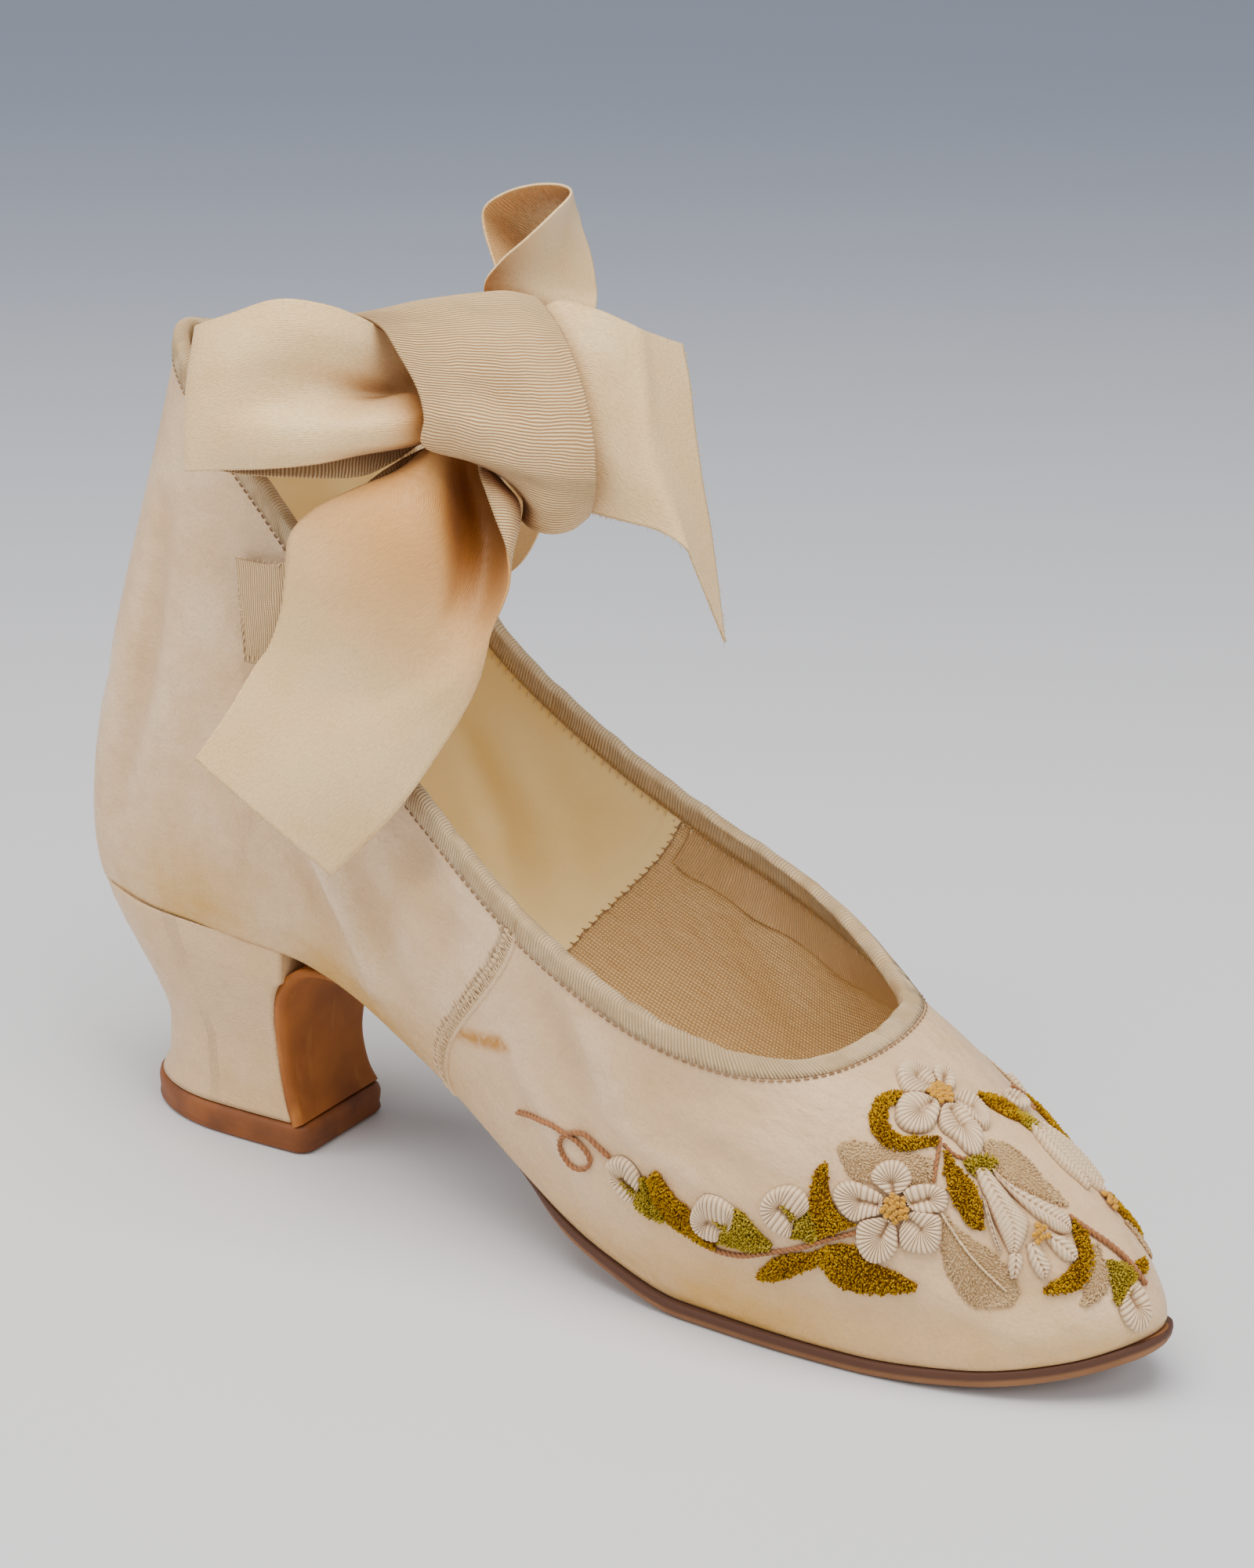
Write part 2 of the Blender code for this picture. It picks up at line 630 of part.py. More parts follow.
def make_insole():
    feather = upper_surface(np.linspace(0.0, LAST_ROW, FEATHER_POINTS), [0.0])[:, 0]
    order = np.argsort(feather[:, 0])
    back = feather[:, 0].min() + INSOLE_INSET
    front = feather[:, 0].max() - INSOLE_INSET
    turn = 0.5 - 0.5 * np.cos(np.linspace(0.0, np.pi, INSOLE_STATIONS))
    stations = back + INSOLE_END_GAP + (front - back - 2 * INSOLE_END_GAP) * turn
    width = np.interp(stations, feather[order, 0], -feather[order, 1]) - INSOLE_INSET
    heel_end = INSOLE_HEEL_ROUNDING * np.sqrt(stations - back)
    toe_end = INSOLE_TOE_ROUNDING * np.sqrt(front - stations)
    width = np.maximum(np.minimum(width, np.minimum(heel_end, toe_end)), INSOLE_LEAST_HALF_WIDTH)
    across = np.linspace(-1.0, 1.0, INSOLE_POINTS_ACROSS)
    side = width[:, None] * across[None, :]
    station = np.repeat(stations[:, None], len(across), axis=1)
    low = np.stack([station, side, seat(station) + INSOLE_LIFT], axis=-1)
    high = low + np.array([0.0, 0.0, INSOLE_THICKNESS])
    return solid_between("insole", high, low, sock_leather)


def ribbon_sheet(rows, closed):
    """Middle face of a ribbon through its rows, and its directions out of the face."""
    rows = np.array(rows, float)
    count = len(rows) if closed else len(rows) - 1
    at = np.linspace(0.0, count, count * RIBBON_STEPS_PER_ROW + 1)
    if closed:
        at = at[:-1]
    smooth = RibbonRow(*through_rows(rows, at, closed).T)
    edge_a = np.stack([smooth.a_s, smooth.a_y, smooth.a_z], -1)
    edge_b = np.stack([smooth.b_s, smooth.b_y, smooth.b_z], -1)
    if closed:
        along = np.roll(edge_a + edge_b, -1, axis=0) - np.roll(edge_a + edge_b, 1, axis=0)
    else:
        along = np.gradient(edge_a + edge_b, axis=0)
    out = unit(np.cross(edge_b - edge_a, along))
    across = np.linspace(0.0, 1.0, RIBBON_STEPS_ACROSS + 1)[None, :, None]
    sheet = edge_a[:, None] * (1 - across) + edge_b[:, None] * across
    sheet = sheet + out[:, None] * smooth.swell[:, None, None] * 4 * across * (1 - across)
    return sheet


def sheet_normals(sheet, closed):
    if closed:
        along = np.roll(sheet, -1, axis=0) - np.roll(sheet, 1, axis=0)
    else:
        along = np.gradient(sheet, axis=0)
    return unit(np.cross(np.gradient(sheet, axis=1), along))


def make_ribbon(name, rows, closed=False):
    sheet = ribbon_sheet(rows, closed)
    half = 0.5 * RIBBON_THICKNESS * sheet_normals(sheet, closed)
    return solid_between(name, sheet + half, sheet - half, bow_ribbon, closed)


class UpperSkin:
    """Finds places on the faceted upper, so that overlays sit just clear of it."""

    def __init__(self, upper):
        points = [tuple(vertex.co) for vertex in upper.data.vertices]
        faces = [tuple(face.vertices) for face in upper.data.polygons]
        self.tree = BVHTree.FromPolygons(points, faces)

    def lifted(self, point, lift):
        place = Vector(to_metres(point))
        found, normal, _, _ = self.tree.find_nearest(place)
        placed = found + normal * lift * MM
        return np.array(placed) / MM + np.array([ORIGIN_STATION, 0.0, 0.0])


def overlay_frame(row, height, to_row, to_height):
    """Two points just off the upper and the direction across the line between them."""
    start = upper_surface([row], [height])[0, 0]
    end = upper_surface([to_row], [to_height])[0, 0]
    normal = upper_normals([0.5 * (row + to_row)], [0.5 * (height + to_height)])[0, 0]
    across = unit(np.cross(normal, end - start))
    lift = normal * OVERLAY_REACH
    return start + lift, end + lift, across


def make_pad(name, leaf, shape, relief, material):
    """A raised pad along a leaf's line. Its shape gives part of the half width along its length."""
    start, end, across = overlay_frame(*leaf[:4])
    tops = []
    bottoms = []
    for step in range(LEAF_STEPS + 1):
        t = step / LEAF_STEPS
        middle = start + (end - start) * t + across * leaf.bend * 4 * t * (1 - t)
        half_width = max(leaf.half_width * shape(t), PAD_LEAST_HALF_WIDTH)
        top = []
        bottom = []
        points = WIDE_PAD_POINTS if leaf.half_width > WIDE_PAD else NARROW_PAD_POINTS
        for side in np.linspace(-1.0, 1.0, points):
            place = middle + across * side * half_width
            raised = relief * (1.0 - PAD_END_DROP * (2 * t - 1) ** 4) * (1.0 - side**2)
            top.append(skin.lifted(place, OVERLAY_GAP + max(raised, OVERLAY_EDGE)))
            bottom.append(skin.lifted(place, OVERLAY_GAP))
        tops.append(top)
        bottoms.append(bottom)
    return solid_between(name, tops, bottoms, material)


def leaf_shape(t):
    return np.sin(np.pi * min(max(t, LEAF_TIP), 1.0 - LEAF_TIP)) ** LEAF_FULLNESS


def bell_shape(t):
    flare = (1.0 - BELL_THROAT) * np.sin(0.5 * np.pi * min(1.0, BELL_FLARE * t))
    lip = BELL_THROAT * max(0.0, t - BELL_LIP) / (1.0 - BELL_LIP)
    return BELL_THROAT + flare - lip


def bud_shape(t):
    return np.sqrt(max(1.0 - (2 * t - 1.0) ** 2 * BUD_BLUNTNESS, 0.0))


def make_flower(name, row, height, radius):
    """Five rounded petals round a low middle, in rings from the under middle to the top middle."""
    centre = upper_surface([row], [height])[0, 0]
    _, _, across = overlay_frame(row, height, row, height + FLOWER_AIM)
    normal = upper_normals([row], [height])[0, 0]
    centre = centre + normal * OVERLAY_REACH
    along = np.cross(across, normal)
    rings = []
    for part, lift in FLOWER_RINGS:
        ring = []
        for step in range(FLOWER_POINTS):
            angle = 2 * np.pi * step / FLOWER_POINTS
            swell = abs(np.sin(0.5 * FLOWER_PETALS * angle)) ** FLOWER_LOBE_FULLNESS
            lobe = 1.0 - FLOWER_DEEP * (1.0 - swell)
            reach = radius * part * (lobe if part > FLOWER_CORE else 1.0)
            place = centre + reach * (np.cos(angle) * across + np.sin(angle) * along)
            ring.append(skin.lifted(place, OVERLAY_GAP + lift))
        rings.append(ring)
    return loft(name, rings, petal_ribbon)


def make_patch(name, side):
    """The rounded ribbon end on the lining of one wing."""
    row, height, half_length, half_width = RIBBON_PATCH
    row = row if side < 0 else -row
    centre = upper_surface([row], [height])[0, 0]
    normal = upper_normals([row], [height])[0, 0]
    up = unit(upper_surface([row], [height + RIBBON_PATCH_AIM])[0, 0] - centre)
    across = np.cross(up, normal)
    rings = []
    for part, lift in RIBBON_PATCH_RINGS:
        ring = []
        for step in range(RIBBON_PATCH_POINTS):
            angle = 2 * np.pi * step / RIBBON_PATCH_POINTS
            reach = np.cos(angle) * across * half_length + np.sin(angle) * up * half_width
            inside = centre - normal * (UPPER_WALL + RIBBON_PATCH_INWARD) + part * reach
            ring.append(skin.lifted(inside, GAP + lift))
        rings.append(ring)
    return loft(name, rings, bow_ribbon)


def mirrored(leaf):
    return leaf._replace(from_row=-leaf.from_row, to_row=-leaf.to_row, bend=-leaf.bend)


for old in list(bpy.data.objects):
    bpy.data.objects.remove(old)

parts = bpy.data.collections.new("satin_slipper")
bpy.context.scene.collection.children.link(parts)

upper_satin = make_material("upper_satin", (0.80, 0.74, 0.66), 0.38)
binding_ribbon = make_material("binding_ribbon", (0.76, 0.66, 0.50), 0.60)
sole_leather = make_material("sole_leather", (0.34, 0.17, 0.07), 0.55)
lift_leather = make_material("lift_leather", (0.22, 0.10, 0.05), 0.60)
heel_satin = make_material("heel_satin", (0.78, 0.71, 0.60), 0.40)
sock_leather = make_material("sock_leather", (0.76, 0.64, 0.42), 0.55)
bow_ribbon = make_material("bow_ribbon", (0.80, 0.66, 0.52), 0.42)
petal_ribbon = make_material("petal_ribbon", (0.80, 0.76, 0.68), 0.55)
leaf_chenille = make_material("leaf_chenille", (0.32, 0.26, 0.02), 0.90)
pale_chenille = make_material("pale_chenille", (0.62, 0.54, 0.40), 0.90)

skin = UpperSkin(make_upper())
make_outsole()
make_insole()
make_heel()
make_top_piece()
make_binding()

for ribbon_name, ribbon_rows in RIBBONS.items():
    make_ribbon(ribbon_name, ribbon_rows)
make_ribbon("bow_knot", KNOT_BAND, closed=True)
make_patch("ribbon_end_right", -1)
make_patch("ribbon_end_left", 1)

for leaf_name, leaf in LEAVES.items():
    chenille = pale_chenille if leaf_name.startswith("pale") else leaf_chenille
    make_pad(leaf_name + "_right", leaf, leaf_shape, LEAF_RELIEF, chenille)
    make_pad(leaf_name + "_left", mirrored(leaf), leaf_shape, LEAF_RELIEF, chenille)
for leaf_name, leaf in MIDDLE_LEAVES.items():
    chenille = pale_chenille if leaf_name.startswith("pale") else leaf_chenille
    make_pad(leaf_name, leaf, leaf_shape, LEAF_RELIEF, chenille)
for flower_name, (flower_row, flower_height, flower_radius) in FLOWERS.items():
    make_flower(flower_name, flower_row, flower_height, flower_radius)
for bell_name, bell in BELLS.items():
    make_pad(bell_name, bell, bell_shape, BELL_RELIEF, petal_ribbon)
for bud_name, bud in BUDS.items():
    make_pad(bud_name + "_right", bud, bud_shape, BUD_RELIEF, petal_ribbon)
    make_pad(bud_name + "_left", mirrored(bud), bud_shape, BUD_RELIEF, petal_ribbon)
for bud_name, bud in MIDDLE_BUDS.items():
    make_pad(bud_name, bud, bud_shape, BUD_RELIEF, petal_ribbon)
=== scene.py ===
"""Looks of the satin slipper: satin upper, linings, binding, leather sole, heel, bow, embroidery.

Sizes are in millimetres on the shoe's own stations, which run from the heel's back (0) to the toe.
"""

from collections import namedtuple

import bpy
import numpy as np
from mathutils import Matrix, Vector
from mathutils.bvhtree import BVHTree


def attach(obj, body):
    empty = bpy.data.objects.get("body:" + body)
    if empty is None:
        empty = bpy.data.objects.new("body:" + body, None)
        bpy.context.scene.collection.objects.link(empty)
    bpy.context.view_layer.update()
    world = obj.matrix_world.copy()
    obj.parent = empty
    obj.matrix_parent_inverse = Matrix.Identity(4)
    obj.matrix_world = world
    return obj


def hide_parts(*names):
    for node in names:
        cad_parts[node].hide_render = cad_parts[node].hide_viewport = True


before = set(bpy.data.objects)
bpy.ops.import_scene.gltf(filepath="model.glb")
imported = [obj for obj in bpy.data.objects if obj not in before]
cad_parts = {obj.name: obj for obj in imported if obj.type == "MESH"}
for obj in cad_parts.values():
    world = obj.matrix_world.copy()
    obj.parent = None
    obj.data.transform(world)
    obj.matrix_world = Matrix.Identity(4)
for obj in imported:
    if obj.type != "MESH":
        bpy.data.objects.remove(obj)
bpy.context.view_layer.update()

MM = 0.001
ORIGIN_STATION = 34.0
rng = np.random.default_rng(11)

# Camera and stage, in metres
CAMERA_PLACE = (0.5944, -0.7423, 0.4749)
CAMERA_AIM = (0.0868, 0.0, 0.0889)
CAMERA_LENS = 125.0
CAMERA_SENSOR = 36.0
FLOOR_RADIUS = 4.0
FLOOR_BACKWARD = (-0.564, 0.825, 0.0)
FLOOR_PALE_REACH = -0.04
FLOOR_DEEP_REACH = 0.76
FLOOR_PALE = (0.72, 0.72, 0.73)
FLOOR_DEEP = (0.23, 0.26, 0.34)

# Walls and gaps
UPPER_WALL = 1.6
GAP = 0.3
SOLE_THICKNESS = 3.3
BINDING_DEPTH = 3.8
TOP_PIECE_HEIGHT = 6.0

# Sections of the upper from the toe tip round the right side to the heel back
Section = namedtuple(
    "Section",
    "feather_s feather_w collar_s collar_w collar_z low_out low_up high_s high_out high_z",
)
SECTIONS = {
    "toe_tip": Section(233.5, 0.0, 173.6, 0.0, 52.9, 1.0, 13.0, 30.0, 0.0, -6.0),
    "toe_side": Section(228.5, 8.8, 172.9, 8.5, 53.0, 1.5, 13.0, 28.0, 1.0, -6.0),
    "toe_shoulder": Section(214.0, 17.6, 170.5, 16.0, 53.4, 2.5, 14.0, 20.0, 2.0, -6.0),
    "toe_joint": Section(196.0, 22.6, 165.0, 21.5, 54.4, 4.5, 16.0, 12.0, 3.5, -8.0),
    "ball_front": Section(176.0, 25.0, 157.0, 26.5, 56.8, 6.5, 18.0, 6.0, 5.0, -12.0),
    "ball": Section(153.0, 25.0, 146.0, 30.3, 60.6, 7.5, 20.0, 2.0, 3.0, -16.0),
    "ball_back": Section(126.0, 23.5, 134.0, 31.2, 65.4, 8.5, 20.0, 0.0, 1.5, -18.0),
    "side_seam": Section(94.0, 16.5, 118.0, 29.6, 72.6, 9.5, 18.0, -3.0, 1.0, -18.0),
    "waist": Section(74.0, 14.5, 98.0, 26.0, 84.8, 10.5, 18.0, -4.0, 1.0, -20.0),
    "wing_foot": Section(60.0, 15.5, 79.0, 23.0, 99.8, 10.0, 20.0, -7.0, 1.0, -20.0),
    "wing_notch": Section(52.0, 17.0, 70.0, 22.6, 113.0, 9.0, 22.0, -15.0, 0.5, -13.0),
    "wing_corner": Section(45.0, 18.5, 70.5, 24.0, 126.0, 8.0, 24.0, -15.0, 0.5, -19.0),
    "wing_top": Section(36.0, 19.5, 58.0, 20.8, 136.0, 7.0, 24.0, -7.0, 1.0, -28.0),
    "quarter_back": Section(23.0, 19.5, 41.0, 15.5, 147.0, 6.0, 24.0, -5.0, 2.0, -32.0),
    "heel_side": Section(8.5, 13.5, 28.0, 8.5, 155.0, 6.0, 24.0, -6.0, 2.0, -34.0),
    "heel_back": Section(3.0, 0.0, 22.0, 0.0, 157.5, 6.0, 24.0, -8.0, 0.0, -36.0),
}
SIDEWAYS = ("feather_w", "collar_w")
LAST_ROW = len(SECTIONS) - 1
RING_ROWS = 2 * LAST_ROW
SEAM_ROW = 7.0
LINING_SEAM_ROW = 7.2

# Underside of the sole: station, height. Outline of the sole: station, half width.
UNDERSIDE = (
    (0.0, 45.5), (30.0, 43.8), (55.0, 40.2), (85.0, 26.5), (110.0, 14.0), (133.0, 4.2), (150.0, 0.0),
    (185.0, 0.0), (205.0, 1.4), (222.0, 4.8), (235.0, 9.6),
)
SOLE_OUTLINE = (
    (60.0, 16.2), (76.0, 14.9), (92.0, 16.2), (110.0, 20.6), (127.0, 24.6), (145.0, 26.2), (165.0, 26.4),
    (180.0, 25.6), (195.0, 23.6), (207.0, 20.6), (217.0, 16.8), (225.0, 12.2), (230.5, 8.2), (233.5, 5.0),
    (235.0, 2.2),
)
# The sole's edge from the middle of the under face to the middle of the top: share of the half
# width inward, then inset and part of the thickness, at the tread and at the bevelled waist
SoleEdge = namedtuple("SoleEdge", "share tuck lift waist_tuck waist_lift")
SOLE_EDGE = (
    SoleEdge(1.0, 1.3, 0.0, 7.0, 0.0), SoleEdge(0.5, 1.3, 0.0, 7.0, 0.0),
    SoleEdge(0.0, 1.3, 0.0, 7.0, 0.05), SoleEdge(0.0, 0.75, 0.10, 5.0, 0.35),
    SoleEdge(0.0, 0.20, 0.35, 3.2, 0.62), SoleEdge(0.0, 0.02, 0.65, 2.0, 0.82),
    SoleEdge(0.0, 0.12, 0.92, 1.6, 0.94), SoleEdge(0.0, 0.40, 1.0, 1.8, 1.0),
    SoleEdge(0.6, 0.40, 1.0, 1.8, 1.0), SoleEdge(1.0, 0.40, 1.0, 1.8, 1.0),
)
WAIST_STATIONS = (100.0, 124.0)
BREAST_STATION = 58.0
# Breast flap: station, height, half width. Heel: part of the height, back station, half width.
BREAST_FLAP = (
    (61.5, 37.4, 10.5), (57.6, 38.6, 14.0), (54.8, 36.8, 15.4), (53.2, 32.6, 15.6), (51.7, 26.0, 13.9),
    (51.2, 17.5, 12.2), (52.4, 10.5, 12.2), (54.2, 6.4, 12.8),
)
FLAP_THICKNESS = 2.0
HEEL_SECTIONS = (
    (0.00, 13.5, 13.6), (0.12, 15.6, 13.0), (0.30, 16.0, 13.0), (0.50, 13.2, 14.8), (0.70, 8.6, 17.4),
    (0.88, 4.4, 19.6), (1.00, 2.4, 20.4),
)
HEEL_FRONT_TAPER = 0.07
HEEL_SEAT_TAPER = 0.11
HEEL_CORNER = 0.9
LIFT_CORNER = 3.4
HEEL_SEAT_FRONT = 52.0
TOP_PIECE_BACK = 12.4
TOP_PIECE_FRONT = 55.6
TOP_PIECE_HALF_WIDTH = 14.2

# Soft creases of the upper, each along a line of (row, height) places: half width, lift.
# A lift above zero is a ridge and below zero a trough.
Crease = namedtuple("Crease", "line half_width lift")
CREASES = {
    "quarter_ridge": Crease(((9.4, 0.60), (8.75, 0.47), (8.2, 0.36), (7.9, 0.20)), 3.4, 0.9),
    "quarter_trough": Crease(((9.0, 0.66), (8.3, 0.52), (7.7, 0.34)), 4.6, -0.7),
    "quarter_back_trough": Crease(((9.5, 0.45), (8.9, 0.36), (8.4, 0.24)), 4.0, -0.7),
    "quarter_top_dent": Crease(((8.3, 0.87), (7.9, 0.79)), 5.0, -0.8),
    "quarter_seam_dent": Crease(((7.6, 0.80), (7.55, 0.60)), 4.0, -0.5),
    "vamp_back_trough": Crease(((6.6, 0.83), (6.1, 0.68), (5.8, 0.56)), 4.2, -0.7),
    "vamp_back_ridge": Crease(((6.1, 0.86), (5.7, 0.72), (5.5, 0.60)), 4.0, 0.4),
    "vamp_throat_trough": Crease(((5.3, 0.80), (4.3, 0.80), (3.2, 0.79)), 5.0, -0.5),
    "vamp_low_trough": Crease(((4.6, 0.20), (3.4, 0.17), (2.4, 0.17)), 4.5, -0.35),
    "vamp_ripple_high": Crease(((5.1, 0.68), (4.4, 0.61), (3.7, 0.54)), 3.2, -0.35),
    "vamp_ripple_middle": Crease(((5.5, 0.58), (4.8, 0.51), (4.2, 0.44)), 3.0, 0.28),
    "vamp_ripple_low": Crease(((6.0, 0.48), (5.4, 0.40), (5.0, 0.31)), 3.2, -0.35),
    "vamp_waist_ridge": Crease(((6.6, 0.55), (6.1, 0.40), (5.8, 0.25)), 3.2, 0.30),
    "toe_ripple": Crease(((2.6, 0.30), (2.1, 0.20), (1.7, 0.10)), 2.8, 0.25),
    # A ridge at the toe whose crease colour paints the toe's highlight
    "toe_highlight_ridge": Crease(((1.9, 0.14), (1.1, 0.13), (0.3, 0.13)), 5.0, 0.30),
    "toe_dent": Crease(((2.0, 0.30), (1.5, 0.27)), 3.5, -0.3),
    "left_quarter_ridge": Crease(((-9.2, 0.62), (-8.4, 0.45), (-7.8, 0.25)), 3.6, 0.4),
    "left_quarter_trough": Crease(((-8.8, 0.72), (-8.1, 0.58), (-7.6, 0.40)), 4.6, -0.3),
    "left_vamp_trough": Crease(((-6.4, 0.80), (-5.9, 0.60), (-5.6, 0.45)), 4.4, -0.35),
    "left_throat_trough": Crease(((-5.0, 0.82), (-4.0, 0.80), (-3.0, 0.80)), 5.0, -0.4),
    "wing_pull_right": Crease(((12.6, 0.80), (11.6, 0.70), (10.6, 0.55)), 4.0, -0.7),
    "wing_pull_left": Crease(((-12.6, 0.80), (-11.6, 0.70), (-10.6, 0.55)), 4.0, -0.7),
    "heel_fold_right": Crease(((13.6, 0.75), (13.3, 0.50), (13.4, 0.22)), 3.6, -0.8),
    "heel_fold_left": Crease(((-13.4, 0.70), (-13.0, 0.45), (-13.2, 0.20)), 3.6, -0.8),
    "heel_round_trough": Crease(((14.3, 0.42), (15.0, 0.38), (15.8, 0.42)), 4.0, -0.5),
    "back_seam": Crease(((15.0, 0.02), (15.0, 0.50), (15.0, 0.95)), 0.7, -0.35),
}
CREASE_GAIN = 2.3
# Crease lift at which the satin's painted highlight on ridges and painted shade in troughs are full
CREASE_LIGHT_AND_SHADE_DEPTH = 1.6
STAIN = ((7.0, 0.385), (6.85, 0.44), (6.65, 0.53))

# Ribbons of the bow as rows of (pixel across, pixel down, millimetres nearer than the plane
# through the knot), each from one selvage to the other. The rows go along the ribbon.
RIBBON_THICKNESS = 0.34
SELVAGE_THICKNESS = 0.12
SELVAGE_WIDTH = 0.7
FRAY_SEED = 17
FRAY_SPACING = 0.45
FRAY_LENGTH = (0.2, 0.8)
FRAY_SPREAD = 0.35
FRAY_ROOT = 0.3
FRAY_RADIUS = 0.06
